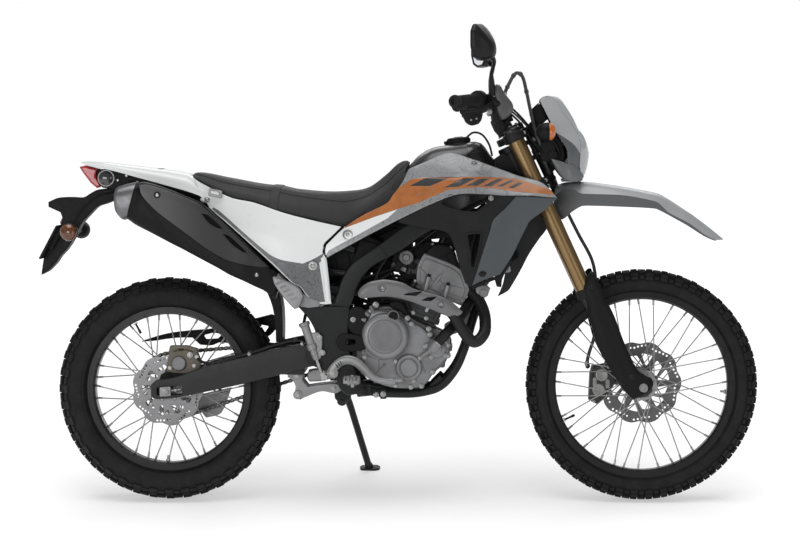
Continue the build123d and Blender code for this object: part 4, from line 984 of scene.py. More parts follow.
def make_tyre(name, cx, cz, R, half, bead_r, bead_half, deep, count, rows, body):
    k = Kit()
    h = half - 1.5
    c = R - deep
    right = [(0, c), (0.30 * h, c - 1.6), (0.58 * h, c - 6.5), (0.82 * h, c - 15), (0.96 * h, c - 27),
             (h, c - 38), (0.985 * h, bead_r + 34), (0.90 * h, bead_r + 27), (0.80 * h, bead_r + 21),
             (bead_half + 4.5, bead_r + 17.5), (bead_half, bead_r + 12.0), (bead_half, bead_r)]
    half_line = catmull([Vector((y, r, 0)) for y, r in right], 4.0, False, 60)
    pts = [(p.x, p.y) for p in half_line]
    # two raised rings on the sidewall
    out = []
    for y, r in pts:
        bump = 0.0
        for at, size in ((bead_r + 24, 1.6), (bead_r + 45, 0.9)):
            if y > bead_half + 2:
                bump += size * max(0, 1 - abs(r - at) / 3.0)
        out.append((y + bump, r))
    outline = [(-y, r) for y, r in reversed(out)] + out[1:]
    k.turned((cx, 0, cz), (0, 1, 0), outline, 96, 0)
    # blocks of tread
    tyre_knobs(k, cx, cz, R, half, deep, count, rows)
    ob = piece(name + "_treaded", k, RUBBER, body, name, angle=32)
    return ob


make_tyre("front_tyre", FX, FZ, 355.0, 43.0, 271.0, 21.5, 10.5, 46, [
    (-9.5, 9.5, 0.0, 19.0, False), (12.5, 26.0, 0.5, 23.0, True), (28.5, 40.0, 0.0, 24.0, True),
    (41.5, 55.0, 0.0, 22.0, True), (41.5, 50.0, 0.5, 15.0, True)], "front_wheel")
make_tyre("rear_tyre", RX, RZ, 343.0, 58.0, 238.0, 29.5, 12.0, 40, [
    (2.5, 15.0, 0.0, 24.0, True), (17.5, 31.0, 0.5, 25.0, True), (30.0, 40.0, 0.0, 25.0, True),
    (41.5, 66.0, 0.0, 25.0, True), (41.5, 58.0, 0.5, 19.0, True)], "rear_wheel")

# ---------------------------------------------------------------- rims, spokes, hubs, discs
for n, m in (("front_rim", RIM), ("rear_rim", RIM), ("front_hub_and_spokes", SPOKE), ("rear_hub_and_spokes", SPOKE)):
    repaint(n, m)


def wheel_trim(name, cx, cz, count, r_hub, r_rim, flange_y, rim_y, body, valve_a):
    k = Kit()
    for i in range(count):
        side = 1 if i % 2 else -1
        lead = 1 if (i // 2) % 2 else -1
        a0 = math.radians(360 / count * i)
        a1 = a0 + lead * math.radians(62)
        p0 = Vector((cx + r_hub * math.cos(a0), side * (flange_y + lead * 2.5), cz + r_hub * math.sin(a0)))
        p1 = Vector((cx + r_rim * math.cos(a1), side * (rim_y + lead * 2.4), cz + r_rim * math.sin(a1)))
        d = (p1 - p0).normalized()
        k.cyl(p1 - d * 15, p1 + d * 3, 3.3, 8, 0, edge=0.4)
        k.ball(tuple(p0 + Vector((0, side * 2.2 * (1 if lead > 0 else 0.2), 0))), 3.6, 0, 8)
    # valve stem and its cap
    a = math.radians(valve_a)
    d = Vector((-math.cos(a), 0, -math.sin(a)))
    p = Vector((cx, 0, cz)) - d * (r_rim - 1)
    k.cyl(p, p + d * 26, 3.2, 10, 1)
    k.cyl(p + d * 24, p + d * 36, 4.2, 10, 1)
    k.cyl(p - d * 0, p + d * 4, 6.5, 6, 0)
    # rim lock nut
    a = math.radians(valve_a + 150)
    d = Vector((-math.cos(a), 0, -math.sin(a)))
    p = Vector((cx, 0, cz)) - d * (r_rim - 1)
    k.cyl(p, p + d * 18, 3.6, 10, 0)
    k.cyl(p, p + d * 6, 7.0, 6, 0)
    piece(name, k, [BOLT, BOLT_B], body)


wheel_trim("front_spoke_nipples", FX, FZ, 36, 40, 261.2, 33.5, 7, "front_wheel", 205)
wheel_trim("rear_spoke_nipples", RX, RZ, 36, 46, 228.0, 37, 9, "rear_wheel", 118)


def disc(name, node, mat, cx, cz, y0, y1, R, lobes, body, hub_r, band_in, arms, front):
    """Wavy brake disc: drilled band, open carrier and its buttons."""
    out = []
    n = 240
    for i in range(n):
        a = 2 * math.pi * i / n
        w = 0.5 - 0.5 * math.cos(a * lobes)
        out.append((cx + (R - 7.5 * w ** 1.6) * math.cos(a), cz + (R - 7.5 * w ** 1.6) * math.sin(a)))
    holes = []

    def circ(a, r, hr, seg=10):
        x, z = cx + r * math.cos(a), cz + r * math.sin(a)
        return [(x + hr * math.cos(2 * math.pi * j / seg), z + hr * math.sin(2 * math.pi * j / seg)) for j in range(seg)]
    for i in range(lobes):
        for j, (da, rr, hr) in enumerate(((-0.15, R - 11, 3.3), (-0.05, R - 14.0, 3.3), (0.05, R - 16.5, 3.3), (0.15, R - 19.0, 3.3), (0.25, R - 17, 2.8))):
            a = 2 * math.pi * (i + 0.5) / lobes + da * 1.05
            holes.append(circ(a, rr, hr))
    for i in range(arms):
        a = 2 * math.pi * i / arms
        w = 2 * math.pi / arms
        if front:  # two triangular windows between the arms
            r0, r1 = hub_r + 7, band_in - 4
            holes.append(fillet([(cx + r * math.cos(a + t * w), cz + r * math.sin(a + t * w)) for r, t in
                                 ((r0 + 1, 0.14), (r1, 0.07), (r1, 0.46))], 5, 3))
            holes.append(fillet([(cx + r * math.cos(a + t * w), cz + r * math.sin(a + t * w)) for r, t in
                                 ((r0, 0.30), (r1 - 8, 0.60), (r1 - 4, 0.90), (r0, 0.72))], 6, 3))
        else:
            r0, r1 = hub_r + 6, band_in - 3
            holes.append(fillet([(cx + r * math.cos(a + t * w), cz + r * math.sin(a + t * w)) for r, t in
                                 ((r0, 0.1), (r1, 0.22), (r1, 0.55), (r0, 0.36))], 5, 3))
            holes.append(circ(a + 0.74 * w, (r0 + r1) / 2 + 3, 5.5, 12))
    holes.append([(cx + 26 * math.cos(2 * math.pi * j / 40), cz + 26 * math.sin(2 * math.pi * j / 40)) for j in range(40)])
    k = Kit()
    k.side(out, y0, y1, 0, 0.6, holes)
    # carrier bolts
    s = 1 if front else -1
    y_face = max(y0, y1) if front else min(y0, y1)
    for i in range(5):
        a = 2 * math.pi * (i + 0.3) / 5
        k.bolt((cx + 34 * math.cos(a), y_face, cz + 34 * math.sin(a)), (0, s, 0), 6.0, 5.0, 1, "button")
        k.bolt((cx + 34 * math.cos(a), min(y0, y1) if front else max(y0, y1), cz + 34 * math.sin(a)), (0, -s, 0), 6.0, 3.0, 1, "button")
    piece(name, k, [mat, BOLT], body, node, angle=35)


disc("front_disc", "front_brake_disc", DISC_F, FX, FZ, 57.6, 62.0, 128, 10, "front_wheel", 44, 96, 6, True)
disc("rear_disc", "rear_brake_disc", DISC_R, RX, RZ, -69.7, -65.3, 110, 9, "rear_wheel", 44, 82, 9, False)


def sprocket():
    k = Kit()
    teeth, R = 40, 103.0
    out = []
    for i in range(teeth):
        a = 2 * math.pi * i / teeth
        p = 2 * math.pi / teeth
        for t, r in ((0.0, 0.966), (0.12, 0.950), (0.26, 0.905), (0.5, 0.878), (0.74, 0.905), (0.88, 0.950)):
            out.append((RX + R * r * 0.945 * math.cos(a + t * p), RZ + R * r * 0.945 * math.sin(a + t * p)))
    holes = []
    for i in range(6):
        a = 2 * math.pi * i / 6 + 0.3
        w = 2 * math.pi / 6
        holes.append(fillet([(RX + r * math.cos(a + t * w), RZ + r * math.sin(a + t * w)) for r, t in
                             ((52, 0.16), (78, 0.12), (80, 0.5), (78, 0.88), (52, 0.84))], 7, 3))
    holes.append([(RX + 30 * math.cos(2 * math.pi * j / 36), RZ + 30 * math.sin(2 * math.pi * j / 36)) for j in range(36)])
    k.side(out, 71.2, 76.8, 0, 0.6, holes)
    for i in range(6):
        a = 2 * math.pi * (i + 0.5) / 6 + 0.3 - 0.52
        k.bolt((RX + 44 * math.cos(a), 76.6, RZ + 44 * math.sin(a)), (0, 1, 0), 6.5, 6, 1, "hex")
    piece("rear_sprocket_toothed", k, [SPROCK, BOLT], "rear_wheel", "rear_sprocket", angle=35)


sprocket()


# ---------------------------------------------------------------- body surfaces
def spline_surface(points, stiff=0.0):
    """y(x, z) through (x, z, y) points: a thin-plate spline."""
    p = np.array(points, float)
    xy, y = p[:, :2] / 100.0, p[:, 2]
    n = len(p)
    d = np.sqrt(((xy[:, None] - xy[None]) ** 2).sum(2))
    k = np.where(d > 0, d * d * np.log(np.maximum(d, 1e-9)), 0) + np.eye(n) * stiff
    a = np.zeros((n + 3, n + 3))
    a[:n, :n] = k
    a[:n, n], a[:n, n + 1:] = 1, xy
    a[n, :n], a[n + 1:, :n] = 1, xy.T
    w = np.linalg.solve(a, np.append(y, [0, 0, 0]))

    def f(x, z):
        q = np.array((x, z)) / 100.0
        r = np.sqrt(((xy - q) ** 2).sum(1))
        r = np.where(r > 0, r * r * np.log(np.maximum(r, 1e-9)), 0)
        return float(r @ w[:n] + w[n] + w[n + 1:] @ q)
    return f


def shift(surf, dy):
    return lambda x, z: surf(x, z) + dy


shroud_y = spline_surface([
    (495, 755, -157), (489, 790, -156), (550, 838, -152), (594, 873, -150), (640, 896, -148), (694, 940, -142),
    (726, 985, -134), (741, 1017, -128), (774, 1032, -124), (835, 1059, -120), (871, 1066, -121), (926, 1050, -130),
    (1016, 1018, -148), (1076, 996, -162), (1136, 980, -178), (1187, 932, -197),
    (594, 805, -162), (655, 837, -166), (716, 868, -173), (812, 914, -186), (891, 942, -195), (977, 942, -203),
    (1064, 938, -208), (800, 965, -164), (900, 990, -172), (1000, 985, -178), (1090, 965, -192), (700, 905, -160),
    (870, 1030, -150), (960, 1012, -163)], 0.02)
lower_y = spline_surface([
    (1064, 938, -208), (1187, 932, -198), (1151, 896, -194), (1106, 863, -190), (1097, 848, -189), (1046, 746, -178),
    (1016, 701, -173), (971, 686, -176), (931, 667, -178), (943, 700, -183), (964, 767, -192), (985, 830, -200),
    (997, 867, -204), (1033, 902, -207), (1040, 840, -200), (1010, 760, -190)], 0.01)
inner_y = spline_surface([
    (741, 850, -158), (800, 838, -160), (844, 832, -160), (862, 822, -160), (875, 795, -162), (896, 721, -164),
    (911, 676, -166), (929, 664, -172), (943, 700, -178), (964, 767, -187), (985, 830, -195), (997, 867, -199),
    (1033, 902, -202), (1064, 936, -203), (977, 941, -198), (891, 941, -190), (812, 913, -181), (770, 880, -168),
    (880, 870, -180), (920, 820, -178)], 0.01)
panel_y = spline_surface([
    (88, 990, -112), (121, 970, -113), (204, 931, -124), (274, 916, -134), (365, 885, -143), (472, 858, -150),
    (541, 843, -152), (488, 793, -155), (484, 768, -156), (493, 753, -157), (508, 612, -160), (455, 615, -160),
    (414, 662, -160), (391, 675, -160), (263, 794, -150), (143, 896, -124), (122, 927, -116), (330, 820, -158),
    (430, 780, -160), (250, 860, -142)], 0.01)

SHROUD = smooth2([(741, 1017), (774, 1032), (835, 1059), (871, 1066), (926, 1050), (1016, 1018), (1076, 996),
                  (1136, 980), (1160, 962), (1187, 931), (1120, 937), (1064, 938), (1016, 939), (977, 942), (891, 942),
                  (812, 914), (716, 868), (655, 837), (594, 805), (495, 751), (489, 768), (493, 790), (545, 840),
                  (594, 874), (640, 897), (679, 918), (694, 940), (711, 961), (726, 985)], 9, 30)
WEDGE = [(480, 740), (480, 800), (505, 811), (547, 840), (639, 874), (708, 897), (678, 870), (589, 821), (500, 773)]
ORANGE_P = [(540, 838), (560, 862), (617, 900), (672, 936), (712, 962), (750, 987), (795, 992), (950, 995), (1061, 990),
            (1106, 977), (1170, 955), (1175, 940), (1120, 946), (1061, 950), (1006, 959), (950, 964), (895, 959),
            (861, 956), (817, 937), (772, 917), (708, 898), (639, 875), (578, 846)]
STRIPES = [[(744, 967), (790, 990), (862, 990), (806, 967)], [(846, 962), (906, 990), (944, 990), (892, 965)],
           [(914, 968), (958, 989), (985, 989), (948, 968)], [(965, 967), (1010, 988), (1026, 987), (990, 966)],
           [(1006, 966), (1046, 984), (1060, 983), (1022, 965)], [(1040, 962), (1072, 978), (1085, 975), (1056, 960)]]
k = Kit()
k.sheet(SHROUD, shroud_y, 4.5, 0, 13, 3.0, (), [(ORANGE_P, 1), (WEDGE, 3)] + [(s, 2) for s in STRIPES], inner_mat=4)
k.mirror()
piece("shroud_upper", k, [GREY, ORANGE, CHAR, WHITE, PLASTIC], "root", "radiator_shrouds")

LOWER = smooth2([(1064, 937), (1120, 935), (1186, 930), (1151, 896), (1106, 863), (1097, 848), (1046, 746), (1016, 701),
                 (971, 686), (931, 667), (943, 700), (964, 767), (985, 830), (997, 867), (1033, 902)], 9, 30)
k = Kit()
k.sheet(LOWER, lower_y, 4.5, 0, 14, 3.0, inner_mat=1)
# black lip and tab under the lower edge
k.sheet(smooth2([(929, 666), (971, 684), (1016, 700), (1046, 744), (1052, 738), (1024, 690), (1020, 662), (1006, 664), (1000, 684),
                 (970, 672), (932, 655)], 9, 30), shift(lower_y, 6), 4.5, 1, 14, 1.6)
k.mirror()
piece("shroud_lower_panel", k, [SLATE, PLASTIC], "root", "shroud_lower")

INNER_O = smooth2([(709, 858), (741, 850), (800, 838), (844, 832), (862, 822), (875, 795), (896, 721), (911, 676), (929, 662),
                   (946, 700), (968, 767), (989, 830), (1001, 867), (1037, 902), (1072, 940), (1016, 944), (977, 947),
                   (891, 946), (812, 919), (716, 872)], 9, 30)
TRI = fillet([(836, 915), (867, 936), (950, 941), (1010, 938), (968, 908), (945, 891), (905, 893), (868, 902)], 6, 4)
SLOT = fillet([(918, 822), (957, 824), (951, 773), (937, 722), (929, 726), (926, 773)], 5, 3)
k = Kit()
k.sheet(INNER_O, inner_y, 4.0, 0, 14, 2.5, (TRI, SLOT))
# raised rims round the openings
for hole in (TRI, SLOT):
    rim = inset(hole, -6)
    kk = Kit()
    kk.sheet(rim, shift(inner_y, -3.0), 4.0, 0, 14, 1.6, (hole,))
    k.join(kk)
k.mirror()
piece("shroud_inner_panel", k, [INNER], "root", "shroud_inners")

# shroud screws
k = Kit()
for (x, z, r, mt) in ((939, 1032, 6.5, 0), (989, 931, 5.5, 0), (558, 821, 0, 0), (963, 706, 8.0, 1)):
    surf = lower_y if z < 750 else shroud_y
    y = surf(x, z)
    if r:
        k.bolt((x, y + 0.5, z), (0.05, -1, 0.12), r, 4, mt, "button", washer=r * 1.5)
    else:  # recessed cup with a bolt in it
        k.lathe((x, y + 3, z), (0, -1, 0), [(0, 7), (4.2, 12.5), (5.2, 13.2), (5.4, 14.6), (4.6, 15.4), (2, 15.4), (0, 15)], 32, 2)
        k.bolt((x, y + 1.0, z), (0, -1, 0), 6.5, 4, 0, "button")
k.mirror()
piece("shroud_screws", k, [BOLT, BOLT_B, SATIN], "root")

# ---------------------------------------------------------------- white side panels
PANEL_O = smooth2([(88, 990), (119, 972), (204, 932), (274, 917), (365, 886), (472, 859), (541, 844), (488, 793), (484, 768),
                   (493, 753), (508, 612), (490, 611), (455, 614), (430, 640), (414, 662), (391, 674), (330, 733), (263, 793),
                   (200, 848), (143, 895), (122, 927), (104, 958)], 9, 32)
PRINT_R = [(150, 903), (172, 889), (235, 834), (318, 765), (345, 750), (369, 743), (423, 734), (457, 749), (486, 766), (478, 742),
           (472, 736), (489, 618), (457, 618), (433, 643), (416, 665), (392.5, 677.5), (331.5, 736.5), (264.5, 796.5), (201.5, 851.5), (145, 898)]
k = Kit()
k.sheet(PANEL_O, panel_y, 4.0, 0, 14, 3.0, (), [(smooth2(PRINT_R, 9, 30), 1)], inner_mat=2)
# raised rib along the lower edge, and the upright rib at the front
rib = catmull([(136, 0, 904.5), (200, 0, 849.3), (263, 0, 794.3), (330, 0, 734.3), (391, 0, 675.4)], 10)
k.tube([(p.x, panel_y(p.x, p.z) - 0.2, p.z) for p in rib], 1.5, 8, 0)
rib = catmull([(483, 0, 752), (490, 0, 700), (498, 0, 620)], 10)
k.tube([(p.x, panel_y(p.x, p.z) - 1.5, p.z) for p in rib], 6.5, 10, 0, flat=(1.0, 0.5), up=(1, 0, 0))
k.mirror()
piece("side_panel_shells", k, [WHITE, PRINT, PLASTIC], "root", "side_panels")
k = Kit()
for x, z in ((453, 727),):
    y = panel_y(x, z)
    k.bolt((x, y + 0.3, z), (0, -1, 0), 7.5, 4, 0, "button", washer=13.5)
k.mirror()
k.bolt((130, -118, 925), (0, -1, 0.2), 6, 4, 0, "button", washer=9)
piece("side_panel_screws", k, [BOLT], "root")

# dark seam between the side panel and the shroud
k = Kit()
line = catmull([(541, 0, 846), (510, 0, 815), (487, 0, 792), (483, 0, 768), (492, 0, 752)], 8, False, 50)
k.tube([(p.x, panel_y(p.x, p.z) + 2.0, p.z) for p in line], 2.2, 6, 0)
k.mirror()
piece("panel_seam_gasket", k, [PLASTIC], "root")

# ---------------------------------------------------------------- seat
seat_top = table([(73, 1000), (80, 1004), (91, 1008), (184, 992), (307, 970), (350, 966), (399, 956), (507, 948), (584, 953), (615, 961),
                  (670, 1000), (710, 1036), (728, 1043), (741, 1042)])
seat_bot = table([(73, 994), (84, 992), (119, 971), (204, 931), (274, 916), (365, 885), (472, 858), (543, 843), (623, 893), (683, 932),
                  (717, 978), (741, 1033)])
seat_w = table([(73, 62), (100, 84), (160, 104), (250, 120), (330, 130), (420, 134), (500, 130), (600, 112), (680, 92), (741, 84)])


def seat_ring(x, grow=0.0, count=44):
    zt, zb, w = seat_top(x), seat_bot(x), seat_w(x)
    h = max(zt - zb, 2.0)
    sh = min(20.0, 0.42 * h)
    wt = w * (0.84 - 0.06 * ease(480, 640, x))
    half_pts = [(0, zb + min(8, 0.2 * h)), (-0.55 * w, zb + min(6, 0.15 * h)), (-w + 4, zb), (-w - 1, zb + min(5, 0.2 * h)),
                (-w + (w - wt) * 0.30 - 2.5, zb + 0.36 * h), (-wt - (w - wt) * 0.22, zt - sh - 0.12 * h), (-wt + 1.5, zt - sh),
                (-wt + 11, zt - 0.42 * sh), (-wt * 0.70, zt - 0.10 * sh), (-wt * 0.35, zt + 0.2), (0, zt)]
    if grow:
        cx, cz = 0, (zt + zb) / 2
        half_pts = [(y * (1 + grow / w), z + grow * (1 if z > cz else -1) * (0.7 if abs(y) < 0.9 * w else 0.3)) for y, z in half_pts]
    line = catmull([Vector((x, y, z)) for y, z in half_pts], 4.0)
    d = [0.0]
    for a, b in zip(line, line[1:]):
        d.append(d[-1] + (b - a).length)
    out = []
    for i in range(count + 1):
        t = d[-1] * i / count
        j = min(max(int(np.searchsorted(d, t)) - 1, 0), len(line) - 2)
        f = (t - d[j]) / max(d[j + 1] - d[j], 1e-6)
        out.append(line[j].lerp(line[j + 1], f))
    return out + [Vector((p.x, -p.y, p.z)) for p in reversed(out[1:-1])]


def seat():
    k = Kit()
    xs = [73.2, 74.5, 77, 81, 86, 92] + list(np.arange(100, 730, 9.0)) + [732, 736, 739, 740.6]
    rings = []
    for x in xs:
        r = seat_ring(x)
        # the two ends pull in, and the top crowns gently between the strap and the nose
        e0, e1 = ease(73, 88, x), ease(741, 733, x)
        c = Vector((x, 0, (seat_top(x) + seat_bot(x)) / 2))
        s = 0.72 + 0.28 * min(e0, e1)
        rings.append([Vector((p.x, p.y * s, c.z + (p.z - c.z) * (0.55 + 0.45 * min(e0, e1)))) for p in r])
    # soft wrinkles near the nose, and the foam's slow unevenness
    for r, x in zip(rings, xs):
        for i, p in enumerate(r):
            a = math.sin(p.x * 0.045 + p.z * 0.03) * math.sin(p.y * 0.05 + p.x * 0.011)
            side = 1 if abs(p.y) > 0.7 * seat_w(x) else 0.6
            p.y += (0.5 * a * side) * (1 if p.y > 0 else -1)
            if p.z > (seat_top(x) + seat_bot(x)) / 2:
                p.z += 0.5 * math.sin(p.x * 0.03 + 1.3) * math.cos(p.y * 0.04)
    n = len(rings[0])

    def which(i, j):
        f = (j + 0.5) / n
        return 0 if 0.315 < f < 0.685 else 1
    k.loft(rings, 1, True, (True, True), which)
    ob = piece("seat_cover", k, [VINYL, VINYL2], "root", "seat", angle=60, weight=False)
    # piping on both shoulders, with its row of stitches
    k = Kit()
    idx = int(round(n * 0.315))
    for j in (idx, n - idx):
        line = [r[j] for r in rings[5:-2]]
        mid = [Vector((p.x, p.y * 1.004, p.z + 0.3)) for p in line]
        k.tube(mid, 1.5, 8, 0)
        walk, acc = 0.0, []
        for a, b in zip(mid, mid[1:]):
            L = (b - a).length
            while walk < L:
                q = a.lerp(b, walk / L)
                d = (b - a).normalized()
                s = 1 if q.y > 0 else -1
                k.cyl(q + Vector((0, -s * 3.2, 1.4)) - d * 1.8, q + Vector((0, -s * 3.2, 1.4)) + d * 1.8, 0.45, 5, 1, edge=0)
                walk += 6.0
            walk -= L
    piece("seat_piping", k, [VINYL2, THREAD], "root")
    # passenger strap
    k = Kit()
    n2 = len(seat_ring(300, 2.4))
    a, b = [], []
    for j in range(n2):
        f = min(j, n2 - j) / (n2 / 2)
        xa = 322 + 18 * ease(0.1, 0.8, f)
        a.append(seat_ring(xa - 13, 2.6)[j])
        b.append(seat_ring(xa + 13, 2.6)[j])
    mid1 = [p.lerp(q, 0.12) for p, q in zip(a, b)]
    mid2 = [p.lerp(q, 0.88) for p, q in zip(a, b)]
    c = [Vector((p.x, p.y * 1.012, p.z + 0.9)) for p in mid1]
    d = [Vector((p.x, p.y * 1.012, p.z + 0.9)) for p in mid2]
    lo_a = [Vector((p.x, p.y * 0.97, p.z - 2.4)) for p in a]
    lo_b = [Vector((p.x, p.y * 0.97, p.z - 2.4)) for p in b]
    k.loft([lo_a, a, c, d, b, lo_b, lo_a], 0, True, (False, False))
    piece("seat_strap", k, [VINYL2], "root", angle=50)
    # strap anchors on the tail
    k = Kit()
    o = fillet([(134, 938), (138, 962), (178, 953), (176, 930)], 5, 3)
    k.side(o, -124, -131, 0, 1.8)
    o = fillet([(143, 944), (145, 955), (170, 949), (169, 938)], 3, 3)
    k.side(o, -130.5, -134, 1, 1.2)
    k.mirror()
    piece("seat_strap_anchor", k, [SATIN, BOLT], "root")


seat()

# ---------------------------------------------------------------- tank
tank_top = table([(690, 985), (715, 1010), (742, 1030), (769, 1058), (815, 1083), (850, 1089), (892, 1093), (938, 1098), (958, 1094),
                  (973, 1080), (984, 1063), (1000, 1043)])
tank_w = table([(690, 104), (740, 114), (800, 120), (870, 118), (920, 108), (960, 88), (985, 70), (1000, 56)])
k = Kit()
rings = []
for x in [690, 696] + list(np.arange(704, 990, 8.0)) + [992, 996, 999, 1001]:
    zt, w = tank_top(x), tank_w(x)
    zb = 880 + 0.45 * max(0, x - 860)
    drop = 70 + 20 * ease(740, 900, x)
    e = 1 - 0.25 * ease(990, 1001, x)
    ring = []
    for j in range(25):
        t = math.pi * j / 24
        c, s = math.cos(t), math.sin(t)
        y = -w * e * math.copysign(abs(c) ** 0.62, c)
        ring.append(Vector((x, y, zt - drop + drop * (abs(s) ** 0.72) * (0.8 + 0.2 * e) - (1 - e) * 10)))
    ring = [Vector((x, -w * e * 1.0, zb))] + ring + [Vector((x, w * e, zb))]
    rings.append(ring)
k.loft(rings, 0, True, (True, True))
piece("tank_shell", k, [TANK], "root", "fuel_tank", angle=50)
# front cover of the tank: glossier moulding with a lip, and its seam
k = Kit()
rings = []
for x in list(np.arange(918, 994, 6.0)) + [997, 1001, 1003.5]:
    zt, w = tank_top(min(x, 1000)) + 2.2, tank_w(min(x, 1000)) + 2.6
    ring = []
    for j in range(25):
        t = math.pi * j / 24
        c, s = math.cos(t), math.sin(t)
        ring.append(Vector((x, -w * math.copysign(abs(c) ** 0.62, c), zt - 92 + 92 * abs(s) ** 0.72)))
    rings.append(ring)
inner = [[Vector((p.x - 1, p.y * 0.97, p.z - 2.6)) for p in r] for r in reversed(rings)]
k.loft(rings + inner + [rings[0]], 0, False, (False, False))
piece("tank_front_cover", k, [BLACKGLOSS], "root", angle=50)
# filler cap: flange, knurled lid, hinge and lock
k = Kit()
o, w = Vector((892, 0, 1088)), Vector((-0.09, 0, 1)).normalized()
k.lathe(o, w, [(0, 0), (0, 42), (5, 43), (8, 41), (8.5, 38), (8.5, 0)], 48, 0)
prof = [(8, 0), (8, 35), (11, 36), (19, 36), (23.5, 33), (25, 28), (25.4, 12), (25.0, 0)]
k.lathe(o, w, prof, 48, 0)
u, v, _ = Vector((1, 0, 0.09)).normalized(), Vector((0, 1, 0)), 0
for i in range(24):
    a = 2 * math.pi * i / 24
    d = u * math.cos(a) + v * math.sin(a)
    k.cyl(o + w * 11 + d * 35.6, o + w * 19 + d * 35.6, 1.6, 6, 0, edge=0.3)
k.box(o + w * 26.2, (u, v, w), (14, 6, 1.2), 1, 0.8)
k.cyl(o + w * 25, o + w * 27.5 + u * 0, 5.2, 16, 2)
k.box(o + w * 12 - u * 40, (u, v, w), (5, 11, 5), 0, 1.5)
piece("filler_cap", k, [PLASTIC, SATIN, BOLT], "root", "fuel_cap")
# breather hose from the cap to the steering head
k = Kit()
k.tube(catmull([(914, 10, 1112), (936, 16, 1128), (962, 22, 1122), (984, 26, 1092), (994, 26, 1056)], 6), 3.2, 10, 0)
piece("tank_breather", k, [HOSE_M], "root")

# ---------------------------------------------------------------- tail
tail_top = table([(-266, 1040), (-262, 1042), (-205, 1041), (-161, 1036), (-63, 1024), (73, 1003), (84, 995), (121, 973)])
tail_bot = table([(-266, 1038), (-245, 1030), (-171, 1016), (-90, 995), (-16, 975), (105, 939), (121, 930)])
tail_w = table([(-266, 36), (-240, 50), (-180, 74), (-60, 96), (60, 112), (121, 118)])
k = Kit()
rings = []
for x in [-266, -264, -258] + list(np.arange(-248, 115, 11.0)) + [121]:
    zt, zb, w = tail_top(x), tail_bot(x), tail_w(x)
    h = max(zt - zb, 3)
    pts = [(-w, zb), (-w + 1, zb + 0.35 * h), (-w * 0.95, zb + 0.62 * h), (-w * 0.80, zt - 0.16 * h), (-w * 0.60, zt - 0.03 * h), (-w * 0.3, zt), (0, zt)]
    line = catmull([Vector((x, y, z)) for y, z in pts], 1e9)
    line = catmull(line, 5.0)
    d = np.cumsum([0] + [(b - a).length for a, b in zip(line, line[1:])])
    half = []
    for i in range(17):
        t = d[-1] * i / 16
        j = min(max(int(np.searchsorted(d, t)) - 1, 0), len(line) - 2)
        half.append(line[j].lerp(line[j + 1], (t - d[j]) / max(d[j + 1] - d[j], 1e-6)))
    outer = half + [Vector((p.x, -p.y, p.z)) for p in reversed(half[:-1])]
    inner = [Vector((p.x + (3 if x < -250 else 0), p.y * (1 - 3.5 / w), max(p.z - 3.5, zb))) for p in reversed(outer)]
    rings.append(outer + inner)
k.loft(rings, 0, True, (True, True))
piece("tail_shell", k, [WHITE], "root", "tail_fender", angle=40)
k = Kit()
k.bolt((-121, -70, 999), (0, -1, 0), 5.5, 4, 0, "button")
for x, y in ((-22, 38),):
    k.bolt((x, y, tail_top(x) - 1.2), (0.15, 0, 1), 6, 2, 1, "button", washer=9)
    k.bolt((x, -y, tail_top(x) - 1.2), (0.15, 0, 1), 6, 2, 1, "button", washer=9)
piece("tail_screws", k, [BOLT, BOLT_B], "root")

# tail light: red lens over a dark body, with a round side reflector
LIGHT = fillet([(-271, 1026), (-251, 1030), (-213, 1019), (-218, 999), (-201, 967), (-216, 960), (-236, 977), (-257, 1005)], 5, 3)
k = Kit()
k.side(LIGHT, 49, -49, 0, 7)
k.side(fillet([(-214, 1020), (-200, 1014), (-196, 970), (-214, 962), (-216, 999)], 4, 3), 47, -47, 1, 3)
piece("tail_lens", k, [RED, PLASTIC], "root", "tail_light", angle=35)
k = Kit()
for s in (1, -1):
    k.lathe((-186, s * 55, 991), (0, s, 0), [(-6, 0), (-6, 25), (0, 25), (1.5, 24), (1.5, 22.5), (5, 20), (8.4, 12), (9.4, 0)], 32, 0)
    k.lathe((-186, s * 55, 991), (0, s, 0), [(0, 23.4), (1.8, 24.6), (1.8, 25.6), (0, 25.8)], 32, 1)
piece("tail_side_reflector", k, [LENS_D, SATIN], "root")

# under-tail, plate bracket, inner guard
k = Kit()
k.side(fillet([(-211, 1018), (-170, 1020), (-110, 1006), (20, 972), (120, 942), (120, 913), (-40, 956), (-99, 971), (-150, 956), (-198, 962), (-216, 998)], 4, 3), 56, -56, 0, 4)
HOLDER = [(-369, 918), (-345, 929), (-332, 932), (-296, 933), (-261, 932), (-238, 945), (-215, 956), (-150, 962), (-160, 944), (-166, 922), (-190, 912), (-215, 904),
          (-240, 880), (-261, 857), (-282, 822), (-300, 790), (-316, 768), (-332, 751), (-344, 733), (-353, 723), (-370, 706), (-393, 694), (-389, 720), (-382.5, 752), (-359.5, 795), (-334, 842),
          (-326, 868), (-332, 886), (-369, 903)]
k.side(smooth2(HOLDER, 9, 35), 30, -30, 0, 6)
